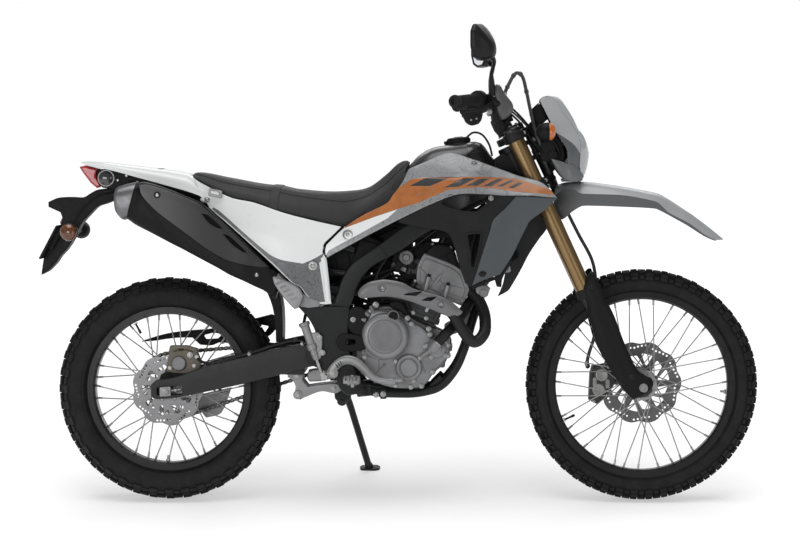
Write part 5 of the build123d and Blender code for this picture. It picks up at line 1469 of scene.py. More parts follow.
# strengthening ribs on the bracket's sides
for s in (1, -1):
    k.tube(catmull([(-160, s * 29, 948), (-212, s * 29, 936), (-258, s * 29, 902), (-296, s * 28, 846), (-340, s * 26, 772)], 10), 4.0, 8, 0)
piece_guard = Kit()
GUARD_IN = [(-150, 958), (-70, 944), (0, 925), (70, 900), (130, 868), (190, 824), (240, 780), (284, 736), (318, 690), (338, 648), (350, 600), (353, 545), (352, 488), (344, 488),
            (344, 545), (341, 598), (330, 645), (311, 685), (278, 728), (234, 772), (184, 815), (126, 860), (66, 892), (-2, 916), (-70, 936), (-150, 950)]
piece_guard.side(smooth2(GUARD_IN, 12, 50), 58, -58, 0, 2)
for s in (1, -1):
    piece_guard.side(smooth2([(126, 862), (184, 817), (234, 776), (278, 730), (311, 687), (332, 645), (343, 598), (346, 545), (344, 488), (332, 490), (330, 545), (322, 596), (306, 640), (286, 676), (256, 712), (214, 752), (170, 792), (116, 842)], 12, 50), s * 58, s * 54, 0, 1.5)
k.join(piece_guard)
k.bolt((-90, -56, 978), (0, -1, 0), 6, 4, 1, "button")
k.bolt((-90, 56, 978), (0, 1, 0), 6, 4, 1, "button")
k.bolt((-150, -56, 985), (0, -1, 0), 5, 4, 1, "button")
piece("mudguard_shell", k, [PLASTIC, BOLT], "root", "rear_mudguard")

# blank plate sunk in its dark rim
k = Kit()
dn, ax2 = Vector((-0.47, 0, -0.8827)), Vector((-0.8827, 0, 0.47))
o = Vector((-330, 0, 844)) + ax2 * 5
k.box(o + dn * 57 + ax2 * 0.2, (LEFT, dn, ax2), (81, 53, 1.0), 0, 0.5)
k.box(o + dn * 57 - ax2 * 1.8, (LEFT, dn, ax2), (84, 56, 1.2), 1, 0.6)
for s in (1, -1):
    k.box(o + dn * 57 + LEFT * (s * 83), (LEFT, dn, ax2), (2.2, 57, 2.6), 1, 1.0)
    k.box(o + dn * (57 + s * 55), (LEFT, dn, ax2), (84, 2.2, 2.6), 1, 1.0)
    # flanges that carry the plate from the bracket
    k.box(o + dn * 40 + LEFT * (s * 52) - ax2 * 9, (LEFT, dn, ax2), (2.4, 36, 8), 1, 1.0)
    k.bolt(o + dn * 22 + LEFT * (s * 58) + ax2 * 1.0, ax2, 5, 3, 2, "button")
k.box(o + dn * 30 - ax2 * 9, (LEFT, dn, ax2), (52, 20, 2), 1, 1.0)
k.lathe(o + dn * -15 + ax2 * 1, ax2, [(0, 0), (0, 13), (3, 13), (5, 10.5), (5.6, 0)], 28, 3)
piece("plate_blank", k, [PLATE, PLASTIC, BOLT, RED], "root", "number_plate")


def indicator(k, c, out, fore, r, stem, lens_dir=1, body=0, lens=1):
    """Turn signal: rubber stem, bullet body and domed lens. fore points to the lens side."""
    c, out, fore = vec(c), vec(out).normalized(), vec(fore).normalized()
    k.cyl(c - out * stem, c - out * (r * 0.55), 8.5, 14, body)
    k.lathe(c, -fore, [(-9, r - 1.5), (-7, r), (4, r), (14, r * 0.93), (24, r * 0.72), (31, r * 0.4), (33, 0)], 32, body)
    k.lathe(c, fore, [(3, r - 1.0), (6, r - 0.5), (13, r * 0.96), (19, r * 0.82), (24, r * 0.55), (26, r * 0.3), (26.6, 0)], 32, lens)
    k.lathe(c, fore, [(1, r * 0.98), (2, r + 0.8), (4.5, r + 0.8), (5.5, r * 0.98)], 32, body)


k = Kit()
# the rear pair's lens wraps the outer side, with a rib up its middle
indicator(k, (-290, -120, 828), (0, -1, 0), (-0.16, -1, 0), 27, 80)
rib = [Vector((-290, -120, 828)) + Vector((-0.16, -1, 0)).normalized() * h + Vector((0, 0, v)) for h, v in ((12, -25.8), (19, -22), (24.2, -14.5), (26.6, -6), (27.2, 0), (26.6, 6), (24.2, 14.5), (19, 22), (12, 25.8))]
k.tube(catmull(rib, 3), 0.9, 8, 1)
k.mirror()
piece("rear_indicator_pair", k, [PLASTIC, AMBER_R], "root", "rear_indicators")


# ---------------------------------------------------------------- fork and yokes
def on_steer(u, v, w):
    return steer(w, u, v)


YOKE = [(-26, 22), (-10, 70), (4, 104), (14, 122), (34, 131), (50, 126), (60, 114), (60, 88), (46, 66), (34, 50), (38, 20),
        (38, -20), (34, -50), (46, -66), (60, -88), (60, -114), (50, -126), (34, -131), (14, -122), (4, -104), (-10, -70), (-26, -22)]
for name, t0, t1, node in (("yoke_lower", 668, 702, "lower_yoke"), ("yoke_upper", 838, 866, "top_yoke")):
    k = Kit()
    k.prism(smooth2(YOKE, 9, 50), on_steer, t0 + 3, t1 - 3, 0, 4)
    up = STEER_UP
    for s in (1, -1):
        c = steer(t0, 28, s * 97)
        k.lathe(c, up, [(0, 25.2), (0, 31), (2, 33), (t1 - t0 - 2, 33), (t1 - t0, 31), (t1 - t0, 25.2)], 40, 0)
        # pinch bosses on the front and their bolts
        for dt in ((8, 26) if node == "lower_yoke" else (14,)):
            b = steer(t0 + dt, 59, s * 97)
            k.box(b, (STEER_FORE, LEFT, up), (8, 15, 7.5), 0, 2.5)
            k.bolt(b + LEFT * (s * 15), (0, s, 0), 5.4, 5, 1, "allen")
        k.box(steer((t0 + t1) / 2, 62, s * 97), (STEER_FORE, LEFT, up), (8.6, 0.9, (t1 - t0) / 2 - 0.5), 2, 0.3)
    if node == "top_yoke":
        # stem nut, riser posts and ignition barrel
        k.lathe(steer(866, 0), up, [(0, 0), (0, 18), (2, 18), (3, 17), (3, 0)], 28, 1)
        k.lathe(steer(869, 0), up, [(0, 0), (0, 15), (9, 15), (10, 13.6), (10, 0)], 6, 1)
        for y in (-38, 38):
            k.lathe(steer(864, 20, y), up, [(0, 19), (4, 18), (8, 15.5), (22, 15), (24, 15), (24, 0)], 28, 0)
        k.cyl(steer(845, 50, 0), steer(884, 50, 0), 19, 28, 0)
        k.cyl(steer(883, 50, 0), steer(887, 50, 0), 13, 24, 1)
        k.box(steer(888, 50, 0), (STEER_FORE, LEFT, up), (4, 1.0, 2), 2, 0.3)
    else:
        k.cyl(steer(660, 0), steer(670, 0), 20, 28, 0)
    piece(name, k, [CASTBLK, BOLT, PLASTIC], "steering", node)

k = Kit()
prof = [(345, 0), (345, 25), (664, 25), (665, 25.3), (668, 25.3), (830, 25.3), (838, 25), (866.4, 25), (866.8, 24), (866.8, 0)]
for s in (1, -1):
    k.lathe(steer(0, 28, s * 97), STEER_UP, prof, 48, 0)
piece("fork_tube_pair", k, [GOLD], "steering", "fork_tubes")
k = Kit()
for s in (1, -1):
    c = steer(0, 28, s * 97)
    k.lathe(c, STEER_UP, [(319, 0), (319, 27), (321, 28.6), (333, 29), (335, 27.4), (338, 27.2), (340, 28.4), (345, 28), (347, 26), (348, 25)], 40, 0)
    k.lathe(c, STEER_UP, [(865.8, 0), (865.8, 25.2), (867, 25.6), (875, 25.6), (877, 24.8), (879, 23), (880, 17), (880, 0)], 40, 1)
    k.lathe(c, STEER_UP, [(880, 0), (880, 12), (885, 12), (886, 11), (886, 0)], 6, 1)
    k.cyl(c + STEER_UP * 885.5, c + STEER_UP * 888, 4, 12, 2)
piece("fork_wipers_and_caps", k, [GRIP, SLIDER, BOLT], "steering")

k = Kit()
LUG_TF = [(-24, 44), (-30, 66), (-22, 90), (6, 94), (30, 84), (64, 50), (64, 6), (18, 6)]
lug = fillet([(steer(t, f).x, steer(t, f).z) for t, f in LUG_TF], 9, 4)
for s in (1, -1):
    k.lathe(steer(0, 28, s * 97), STEER_UP, [(40, 0), (40, 19), (44, 21.5), (330, 21.5), (330, 0)], 40, 0)
    k.side(lug, s * 76, s * 119, 0, 6)
    for t in (4, -10):
        k.bolt(steer(t - 20, 58 + 18 * (t == 4), s * 84), -STEER_UP, 4.5, 4, 1, "allen")
k.cyl((FX, -120, FZ), (FX, 120, FZ), 9, 24, 1)
k.lathe((FX, -119, FZ), (0, -1, 0), [(0, 7), (0, 14), (2.6, 14), (3.6, 13), (3.6, 9), (2, 8), (2, 0)], 32, 1)
k.lathe((FX, 119, FZ), (0, 1, 0), [(0, 0), (0, 15), (2, 15), (2, 13), (8, 13), (9, 12), (9, 0)], 6, 1)
piece("fork_slider_pair", k, [SLIDER, BOLT], "steering", "fork_sliders")

GUARD_O = smooth2([(1284, 698), (1292, 706), (1301, 706), (1328, 640), (1360, 576), (1391, 494), (1410, 452), (1430, 412), (1452, 394), (1474, 384), (1480, 368),
                   (1474, 351), (1448, 332), (1420, 319), (1400, 337), (1380, 363), (1349, 410), (1326, 452), (1307, 493), (1294, 540), (1285, 571), (1277, 612),
                   (1264, 650), (1272, 678)], 10, 40)


def guard_y(x, z):
    d = edge_distance(GUARD_O, np.array((x, z)))
    return -119.0 - 6.5 * ease(0, 9, d) - 5.0 * min(d / 26.0, 1.0)


hole = [(FX + 15.5 * math.cos(a), FZ + 15.5 * math.sin(a)) for a in [2 * math.pi * i / 28 for i in range(28)]]
k = Kit()
k.sheet(GUARD_O, guard_y, 22, 0, 8, 2.5, (hole,))
for x, z, r in ((1414, 388, 6), (1382, 372, 6), (1292, 662, 5)):
    k.bolt((x, guard_y(x, z) + 1.0, z), (0, -1, 0), r, 4, 1, "button", washer=r * 1.45)
k.mirror()
piece("fork_guard_pair", k, [PLASTIC, BOLT_B], "steering", "fork_guards")

# ---------------------------------------------------------------- handlebar and its controls
BAR = [(1031, 0, 1166), (1031, -62, 1166), (1006, -112, 1190), (978, -178, 1216), (950, -262, 1226), (884, -398, 1216)]
k = Kit()
half = rounded(BAR, 0.42, 7)
full = [Vector((p.x, -p.y, p.z)) for p in reversed(half)][:-1] + half
k.tube(full, 11.0, 24, 0)
for y in (-38, 38):
    c = Vector((1031, y, 1166))
    k.lathe(c - LEFT * 17, LEFT, [(0, 11), (0, 17.5), (1.5, 19), (32.5, 19), (34, 17.5), (34, 11)], 32, 1)
    k.box(c + STEER_UP * 1.2, (STEER_FORE, LEFT, STEER_UP), (25, 15, 1.0), 2, 0.5)
    for f in (-19.5, 19.5):
        k.box(c + STEER_FORE * f, (STEER_FORE, LEFT, STEER_UP), (5.5, 14, 13), 1, 3)
        k.bolt(c + STEER_FORE * f * 0.98 + STEER_UP * 13, STEER_UP, 4.6, 4.5, 3, "allen")
for s in (1, -1):
    k.side(fillet([(986, 1163), (1031, 1182), (1055, 1152), (1052, 1126), (1018, 1112), (1000, 1132)], 9, 4), s * 63, s * 36, 1, 5)
    k.bolt((1030, s * 63, 1146), (0, s, 0), 7, 5, 1, "hex", washer=10)
piece("handlebar_tube", k, [FRAME, CASTBLK, PLASTIC, BOLT], "steering", "handlebar")

ga, gb = Vector((946.1, -270, 1225.4)), Vector((884.5, -397, 1216.1))
gd = (gb - ga).normalized()
gl = (gb - ga).length
prof = [(0, 11.2), (0, 21), (1.5, 22), (4, 22), (5.5, 20), (7, 16.5)]
a = 9.0
while a < gl - 10:
    prof += [(a, 15.3), (a + 0.8, 16.6), (a + 3.0, 16.6), (a + 3.8, 15.3)]
    a += 5.2
prof += [(gl - 8, 16.0), (gl - 5, 18.5), (gl + 2, 19.5), (gl + 6, 19.0), (gl + 9, 16.5), (gl + 9.6, 12), (gl + 9.6, 9.2), (gl - 1, 9.2)]
k = Kit()
k.lathe(ga, gd, prof, 36, 0)
k.mirror()
piece("grip_pair", k, [GRIP], "steering", "grips")


def controls(brake):
    k = Kit()
    # throttle housing, two halves with a parting line and screws
    a, b = Vector((957.6, -246.5, 1226.3)), Vector((946.5, -269.4, 1225.5))
    d = (b - a).normalized()
    k.lathe(a, d, [(-2, 11), (-2, 21), (0, 24), (2, 25), (11.6, 25), (12.4, 24.2), (13.2, 25), (22, 25), (24.5, 23.5), (25.4, 20), (25.4, 11)], 40, 0)
    # switch box under and in front of the bar
    k.side(smooth2([(903, 1178), (914, 1200), (924, 1238), (946, 1246), (960, 1240), (966, 1204), (962, 1170), (952, 1156), (930, 1151), (912, 1160)], 8, 40), -222, -256, 0, 6)
    k.side(fillet([(926, 1242), (944, 1249), (958, 1246), (960, 1238), (940, 1236)], 3, 3), -228, -246, 1, 2)
    k.ball((915, -240, 1182), 8, 2, 16, (1, 1.1, 1))
    k.box((952, -256.5, 1188), ((1, 0, 0), (0, 0, 1), (0, 1, 0)), (9, 6, 2), 2, 1.2)
    k.bolt((946, -256, 1168), (0, -1, 0), 3.5, 2.5, 3, "button")
    k.bolt((930, -256, 1164), (0, -1, 0), 3.5, 2.5, 3, "button")
    # master cylinder across the bar, clamp, reservoir
    k.side(smooth2([(962, 1242), (984, 1240), (1014, 1236), (1038, 1222), (1052, 1207), (1047, 1184), (1026, 1166), (1003, 1152), (992, 1168), (990, 1196), (968, 1206)], 9, 42), -208, -248, 0, 7)
    k.cyl((1040, -236, 1200), (988, -262, 1220), 10.5, 24, 0)
    k.lathe((978, -212, 1221), (0.35, -0.93, 0.05), [(-9, 11), (-9, 18), (-7, 20), (7, 20), (9, 18), (9, 11)], 32, 0)
    for z in (1244, 1198):
        k.bolt((996, -212, z), (1, -0.1, 0), 4.4, 4, 3, "hex")
    if brake:
        HULL = smooth2([(998, 1266), (1007, 1270), (1017, 1265), (1025, 1250), (1038, 1232), (1052, 1213), (1055, 1198), (1048, 1180), (1034, 1168), (1020, 1163), (1010, 1180), (1004, 1199), (999, 1229)], 5, 40)
        # the hood takes the grey painted highlight
        k.side(HULL, -212, -259, 4, 12)
        k.side(fillet([(1003, 1262), (1009, 1266), (1016, 1261), (1023, 1248), (1014, 1243), (1002, 1246)], 3, 3), -211, -252, 2, 3)
    # perch shell on the clutch side
    else:
        k.side(smooth2([(1000, 1240), (1016, 1238), (1040, 1224), (1050, 1206), (1044, 1184), (1026, 1170), (1010, 1180), (1002, 1204)], 5, 40), -214, -254, 2, 10)
    k.cyl((985, -250, 1188), (985, -264, 1188), 8, 20, 3)
    k.bolt((985, -262, 1188), (0, -1, 0), 5, 4, 3, "hex")
    # lever: pivot, blade and ball end
    line = catmull([(1000, -248, 1222), (992, -268, 1212), (978, -296, 1202), (955, -334, 1194), (930, -370, 1189), (908, -400, 1186)], 6)
    n = len(line)
    k.tube(line, [7.6 - 1.6 * ease(0, 0.5, i / n) + 0.6 * ease(0.6, 1, i / n) for i in range(n)], 16, 0, True, flat=(1.0, 0.62), up=(0, 0, 1))
    k.ball((906, -403, 1185.8), 9.0, 0, 20)
    k.cyl((998, -252, 1208), (998, -252, 1232), 7, 20, 0)
    k.bolt((998, -252, 1231), (0, 0, 1), 5, 4, 3, "hex")
    return k


k = controls(True)
k.join(controls(False), flip=True)
piece("bar_control_set", k, [PLASTIC, REDSW, PLASTIC_S, BOLT, MASTER_HIGHLIGHT], "steering", "bar_controls")


# ---------------------------------------------------------------- mirrors
def mirror_kit():
    k = Kit()
    o = Vector((958, -336, 1388))
    ux, uz = Vector((0.42, 0.907, 0)), Vector((0, 0, 1))
    nn = Vector((-0.907, 0.42, 0))
    # outline across the glass: u to the inside, v up
    out = [Vector((p[0], 0, p[1])) for p in fillet([(-52, -12), (-52, 34), (-36, 54), (10, 56), (46, 44), (60, 8), (56, -28), (34, -49), (-6, -52), (-36, -42)], 13, 5)]
    depth = [(9, 0.86), (9.8, 0.965), (7, 1.0), (2, 1.0), (-4, 0.985), (-13, 0.885), (-23, 0.745), (-33, 0.575), (-41, 0.38), (-44.5, 0.22), (-45.5, 0.06)]
    rings = []
    for h, s in depth:
        rings.append([o + ux * (p.x * s) + uz * (p.z * s + 0.50 * min(0, h)) + nn * h for p in out])
    k.loft(rings, 0, True, (False, True))
    rim_in = [o + ux * (p.x * 0.86) + uz * (p.z * 0.86) + nn * 7.2 for p in out]
    k.loft([rings[0], rim_in], 0, True, (False, False))
    c = Kit()
    n = len(out)
    glass = [o + ux * (p.x * 0.862) + uz * (p.z * 0.862) + nn * 7.4 for p in out]
    k.add(glass + [o + nn * 7.4], [((i + 1) % n, i, n) for i in range(n)], 1)
    # stem: threaded foot, lock nut, sleeve, bent rod, ball joint
    k.cyl((992, -244, 1236), (994, -248, 1252), 9.5, 24, 0)
    k.lathe((993, -247, 1246), (0.05, -0.1, 1), [(0, 0), (0, 10.5), (8, 10.5), (9, 9.5), (9, 0)], 6, 0)
    line = catmull([(993, -248, 1250), (991, -252, 1278), (990, -262, 1300), (996, -286, 1322), (998, -302, 1336), (990, -318, 1350)], 6)
    n = len(line)
    k.tube(line, [8.6 - 2.8 * ease(0.1, 0.45, i / n) + 2.2 * ease(0.75, 1, i / n) for i in range(n)], 18, 0)
    k.ball((986, -321, 1352), 11.5, 0, 20)
    k.cyl((986, -321, 1352), (980, -327, 1372), 9, 20, 0)
    return k


k = mirror_kit()
k.join(mirror_kit(), flip=True)
piece("mirror_pair", k, [PLASTIC_S, MIRROR], "steering", "mirrors", angle=38)

# ---------------------------------------------------------------- meter and carrier
k = Kit()
k.side(fillet([(1107, 1187), (1139, 1217), (1150, 1200), (1163, 1168), (1148, 1155), (1126, 1155), (1112, 1172)], 6, 4), 62, -62, 0, 5)
cx, cz = 1122, 1203.5
n_scr = Vector((-0.684, 0, 0.729))
k.box(Vector((cx, 0, cz)) + n_scr * 0.2, (Vector((0.729, 0, 0.684)), LEFT, n_scr), (18, 56, 1.6), 0, 1.2)
k.box(Vector((cx, 0, cz)) + n_scr * 1.4, (Vector((0.729, 0, 0.684)), LEFT, n_scr), (14.5, 49, 1.0), 1, 0.5)
for y in (-24, 24):
    k.cyl(Vector((1113, y, 1192)) + n_scr * 0.5, Vector((1113, y, 1192)) + n_scr * 3.6, 4, 16, 0)
CAR = fillet([(steer(t, f).x, steer(t, f).z) for t, f in [(862, 66), (874, 96), (856, 120), (806, 128), (762, 120), (752, 84), (760, 64), (812, 60)]], 7, 4)
for s in (1, -1):
    k.side(CAR, s * 56, s * 50, 2, 2)
    for t in (820, 770):
        k.cyl(steer(t, 76, s * 50), steer(t, 48, s * 84), 7, 20, 2)
        k.bolt(steer(t, 78, s * 56), (0, s, 0), 5, 4, 3, "hex", washer=7)
for t, f in ((852, 108), (772, 104)):
    k.cyl(steer(t, f, -50), steer(t, f, 50), 5, 16, 2)
piece("meter_and_carrier", k, [PLASTIC, SCREEN, FRAME, BOLT], "steering", "instrument_panel")

# ---------------------------------------------------------------- headlight cowl
c_rear = table([(975, 1262), (988, 1250), (1004, 1236), (1020, 1226), (1039, 1221), (1062, 1222), (1090, 1212), (1120, 1190), (1161, 1169), (1200, 1150), (1222, 1141), (1234, 1147), (1239, 1160)])
c_front = table([(975, 1262), (985, 1268), (1002, 1276), (1033, 1284), (1064, 1287), (1092, 1281), (1115, 1272), (1133, 1259), (1169, 1242), (1196, 1226), (1226, 1205), (1235, 1196), (1239, 1182)])
c_crease = table([(975, 1260), (998, 1262), (1018, 1257), (1054, 1258), (1090, 1260), (1112, 1255), (1133, 1246), (1169, 1222), (1181, 1212), (1210, 1196), (1232, 1180), (1239, 1170)])
c_wide = table([(975, 52), (988, 66), (1004, 80), (1022, 90), (1060, 96), (1100, 95), (1140, 90), (1180, 82), (1215, 72), (1232, 62), (1239, 52)])
c_cy = table([(975, 40), (998, 50), (1040, 62), (1090, 60), (1133, 50), (1180, 47), (1220, 42), (1239, 34)])


zs = [976, 980, 986, 993, 1000, 1010, 1021, 1032, 1043, 1054, 1065, 1078, 1092, 1106, 1119, 1131, 1140, 1152, 1164, 1176, 1188, 1200, 1212, 1222, 1229, 1234, 1237, 1238.6]
# painted shade: the cowl's lower flank, a facet that faces down, is coloured darker grey; row IB is its edge
IB = 10  # the row that follows the edge between the dark lower flank and the lighter side


def cowl_row(i):
    """One section of the cowl. On the flanks the rows slant so that row IB runs along the edge of the painted shade."""
    def z_at(t):
        zb = 1128 - 63 * t
        if i <= IB:
            return 976 + (zs[i] - 976) / (zs[IB] - 976) * (zb - 976)
        return 1238.6 - (1238.6 - zs[i]) / (1238.6 - zs[IB]) * (1238.6 - zb)
    pts = []
    for t in [j / 6 for j in range(7)]:
        z = z_at(t)
        xr, xc, w, yc = c_rear(z), c_crease(z), c_wide(z), c_cy(z)
        pts.append(Vector((xr + (xc - xr) * t, -w + (w - yc) * t ** 1.45, z)))
    z = z_at(1)
    xf, xc, yc = c_front(z), c_crease(z), c_cy(z)
    # the front panel stands proud of the flank along the crease
    step = 1.7 * ease(1234, 1222, z)
    pts += [Vector((xc + (xf - xc) * (1 - (1 - t) ** 1.8) + step * (1 - t), -yc * (1 - t) - 0.5 * step * (1 - t), z)) for t in [j / 9 for j in range(10)]]
    return pts + [Vector((p.x, -p.y, p.z)) for p in reversed(pts[:-1])]


outer = [cowl_row(i) for i in range(len(zs))]
inner = [[Vector((p.x - 3.0 if abs(p.y) < 70 else p.x - 0.8, p.y * (1 - 3.0 / 95), p.z)) for p in r] for r in outer]
nk = len(outer[0])


def lens_cell(i, kk):
    return 4 <= i < 15 and 7 <= kk < nk - 8


# cells below row IB on the flanks take the painted shade of the down-facing lower flank
def cowl_mat(i, kk):
    return 1 if i < IB and not (7 <= kk < nk - 8 and i >= 4) else 0


k = Kit()
k.grid(outer, inner, 0, lambda i, kk: not lens_cell(i, kk), cowl_mat, 2)
# the second material is painted shade on the down-facing lower flank
piece("cowl_shell", k, [GREY_P, material("cowl_lower_painted_shade", (0.085, 0.089, 0.094), 0.38, coat=0.12, coat_rough=0.22, vary=0.05, grain=1500, grain_depth=0.00004), PLASTIC],
      "steering", "headlight_cowl", angle=30)
COWL_SHADE = bpy.data.materials["cowl_lower_painted_shade"]

k = Kit()
lo = [outer[i][7:nk - 7] for i in range(4, 16)]
out_l = [[Vector((p.x + 2.2 * math.sin(math.pi * (j + 0.5) / len(r)) + 0.6, p.y * 0.99, p.z)) for j, p in enumerate(r)] for r in lo]
in_l = [[Vector((p.x - 2.6, p.y * 0.95, p.z)) for p in r] for r in out_l]
k.grid(out_l, in_l, 0)
piece("headlight_glass", k, [GLASS], "steering", "headlight_lens", angle=40)
# lamp body: reflector bowl, inner bezel, projector and position lamp strip
k = Kit()
o, w = Vector((1246, 0, 1066)), Vector((1, 0, 0.08)).normalized()
k.lathe(o, w, [(-54, 0), (-54, 15), (-50, 24), (-38, 36), (-20, 43), (0, 47), (6, 48), (6, 50), (-2, 50), (-24, 46), (-44, 38), (-58, 22), (-62, 0)], 44, 1)
k.lathe(o, w, [(-50, 0), (-50, 11), (-26, 12), (-18, 15), (-14, 15), (-10, 10), (-8, 0)], 28, 2)
rows_o, rows_i = [], []
for z in [998, 1006, 1018, 1034, 1052, 1070, 1088, 1106, 1122, 1133]:
    yc = c_cy(z) - 2
    xa = c_front(z) - 30
    rows_o.append([Vector((xa - 4 * abs(t) ** 2 * 3, yc * t, z)) for t in [-1, -0.8, -0.6, -0.3, 0, 0.3, 0.6, 0.8, 1]])
    rows_i.append([p + Vector((-2, 0, 0)) for p in rows_o[-1]])
k.grid(rows_o, rows_i, 0, lambda i, kk: not (2 <= i < 7 and 1 <= kk < 7))
for s in (1, -1):
    k.tube(catmull([(1251, s * 46, 1030), (1254, s * 49, 1060), (1252, s * 46, 1090), (1246, s * 38, 1120)], 6), 2.6, 10, 3)
piece("headlight_unit", k, [PLASTIC, REFLECT, SCREEN, WHITE], "steering")

# cheek pieces under the cowl, black carrier blocks beside it
CHEEK = smooth2([(1171, 1048), (1194, 1042), (1218, 1034), (1240, 1026), (1256, 1014), (1267, 1003), (1272, 993), (1262, 980), (1240, 977), (1210, 987), (1189, 1012), (1175, 1038)], 7, 42)
cheek_base = table([(1165, 93), (1190, 97), (1220, 95), (1245, 84), (1275, 60)])


def cheek_y(x, z):
    d = edge_distance(CHEEK, np.array((x, z)))
    return -cheek_base(x) - 3.0 * min(d / 14.0, 1.0) - 1.5 * ease(0, 6, d)


k = Kit()
k.sheet(CHEEK, cheek_y, 5, 0, 7, 2.0)
k.mirror()
# bridge under the cowl joining both cheeks
rows_o, rows_i = [], []
for x in (1206, 1224, 1242, 1258, 1268):
    zz = 984 - 0.0 * x + 3 * ease(1240, 1268, x)
    yy = cheek_base(x) - 6
    rows_o.append([Vector((x, yy * t, zz - 7 + 5 * abs(t) ** 3)) for t in [-1, -0.7, -0.35, 0, 0.35, 0.7, 1]])
    rows_i.append([p + Vector((0, 0, 4)) for p in rows_o[-1]])
k.grid(rows_o, rows_i, 0)
piece("cowl_cheek_pair", k, [CHIN], "steering", angle=30)
k = Kit()
k.side(smooth2([(1137, 1088), (1154, 1103), (1170, 1106), (1183, 1088), (1189, 1052), (1180, 1040), (1150, 1038), (1139, 1046)], 8, 45), -40, -78, 0, 6)
k.side(fillet([(1150, 1150), (1166, 1158), (1204, 1100), (1216, 1060), (1212, 1030), (1180, 1020), (1160, 1040), (1186, 1060), (1186, 1096)], 8, 4), -30, -70, 0, 4)
k.cyl((1176, -72, 1058), (1176, -82, 1058), 15, 28, 0)
k.bolt((1150, -78, 1090), (0, -1, 0), 5, 4, 1, "button")
k.mirror()
for z in (1044, 1098):
    k.cyl((1165, -45, z), (1165, 45, z), 8, 18, 0)
# wiring between the legs and the lamp, its block and the looms
WB = fillet([(steer(t, f).x, steer(t, f).z) for t, f in [(706, 66), (708, 98), (738, 112), (752, 106), (756, 70)]], 6, 4)
k.side(WB, 46, -46, 0, 5)
for pts, r in (([(0, 86, 44, 716), (0, 104, 58, 760), (0, 92, 70, 812), (0, 78, 64, 856)], 5.0), ([(0, 78, 40, 744), (0, 86, 74, 770), (0, 74, 84, 812), (0, 60, 66, 868)], 4.0),
               ([(0, 108, 50, 726), (0, 128, 66, 744), (0, 132, 76, 776), (0, 118, 68, 816)], 5.5), ([(0, 70, 46, 706), (0, 72, 62, 740), (0, 66, 78, 790), (0, 64, 70, 840)], 3.4),
               ([(0, 112, 40, 760), (0, 122, 60, 786), (0, 112, 64, 826), (0, 92, 60, 872)], 3.6)):
    for s in (1, -1):
        k.tube(catmull([steer(t, f, s * y) for _, f, y, t in pts], 7), r, 12, 0)
        q = steer(pts[1][3], pts[1][1], s * pts[1][2])
        k.ball(q, r + 2.2, 0, 12)
k.side(fillet([(1112, 1078), (1148, 1088), (1164, 1070), (1178, 1016), (1190, 962), (1176, 948), (1156, 994), (1132, 1040)], 6, 4), -34, 34, 0, 4)
for s in (1, -1):
    k.tube(catmull([(1118, s * 38, 1072), (1134, s * 42, 1044), (1150, s * 40, 1010), (1170, s * 38, 966)], 7), 5, 12, 0)
    k.tube(catmull([(1140, s * 36, 1082), (1158, s * 42, 1052), (1166, s * 40, 1020), (1182, s * 36, 972)], 7), 4, 12, 0)
piece("cowl_stay_blocks", k, [PLASTIC, BOLT_B], "steering")

k = Kit()
indicator(k, (1157, -140, 1129), (0, -1, 0), (1, 0, 0.02), 27.5, 84)
k.mirror()
piece("front_indicator_pair", k, [PLASTIC, AMBER], "steering", "front_indicators")

# ---------------------------------------------------------------- front fender
f_top = table([(1108, 912), (1130, 928), (1150, 944), (1193, 968), (1225, 976), (1274, 977), (1323, 972), (1385, 963), (1446, 952), (1496, 942), (1533, 923), (1578, 893), (1600, 879), (1662, 832), (1700, 801)])
f_crease = table([(1108, 893), (1150, 915), (1193, 944), (1220, 958), (1246, 953), (1261, 942), (1373, 938), (1476, 921), (1494, 915), (1510, 901), (1526, 885), (1552, 871), (1600, 848), (1675, 808), (1700, 799)])
f_bot = table([(1108, 886), (1150, 880), (1180, 872), (1205, 863), (1230, 882), (1250, 896), (1271, 905), (1321, 904), (1400, 901), (1461, 898), (1490, 895), (1510, 887), (1564, 858), (1626, 828), (1684, 801), (1700, 796)])
f_wide = table([(1108, 58), (1208, 69), (1300, 75), (1480, 78), (1560, 72), (1640, 58), (1685, 42), (1700, 26)])


def fender_row(x, wall=0.0):
    zt, zc, zb, w = f_top(x), f_crease(x), f_bot(x), f_wide(x)
    zc = max(zc, zb + 1.5)
    zt = max(zt, zc + 1.0)
    wc = w - 5 * ease(1220, 1280, x) * (1 - ease(1480, 1640, x)) - 1
    pts = []
    for t in [i / 4 for i in range(5)]:
        pts.append(Vector((x, -(w + (wc - w) * t ** 1.5), zb + (zc - zb) * t)))
    # shoulder then a shallow valley and the raised middle
    for t in [(i + 1) / 10 for i in range(10)]:
        y = wc * (1 - t)
        rise = 1 - (1 - t) ** 2.3
        ridge = 2.0 * math.exp(-((t - 0.34) / 0.10) ** 2) * ease(1230, 1300, x) * (1 - ease(1450, 1520, x))
        pts.append(Vector((x, -y, zc + (zt - zc) * rise + ridge)))
    if wall:
        pts = [Vector((p.x, p.y * (1 - wall / w), p.z - (wall * ease(zb, zb + 8, p.z)))) for p in pts]
    return pts + [Vector((p.x, -p.y, p.z)) for p in reversed(pts[:-1])]


xs = [1184, 1190, 1198, 1206, 1216, 1226, 1236, 1246, 1256, 1266] + list(np.arange(1280, 1470, 17.0)) + [1478, 1490, 1500, 1512, 1526, 1542, 1560, 1580, 1602, 1626, 1650, 1668, 1682, 1691, 1697, 1700]
outer = [fender_row(x) for x in xs]
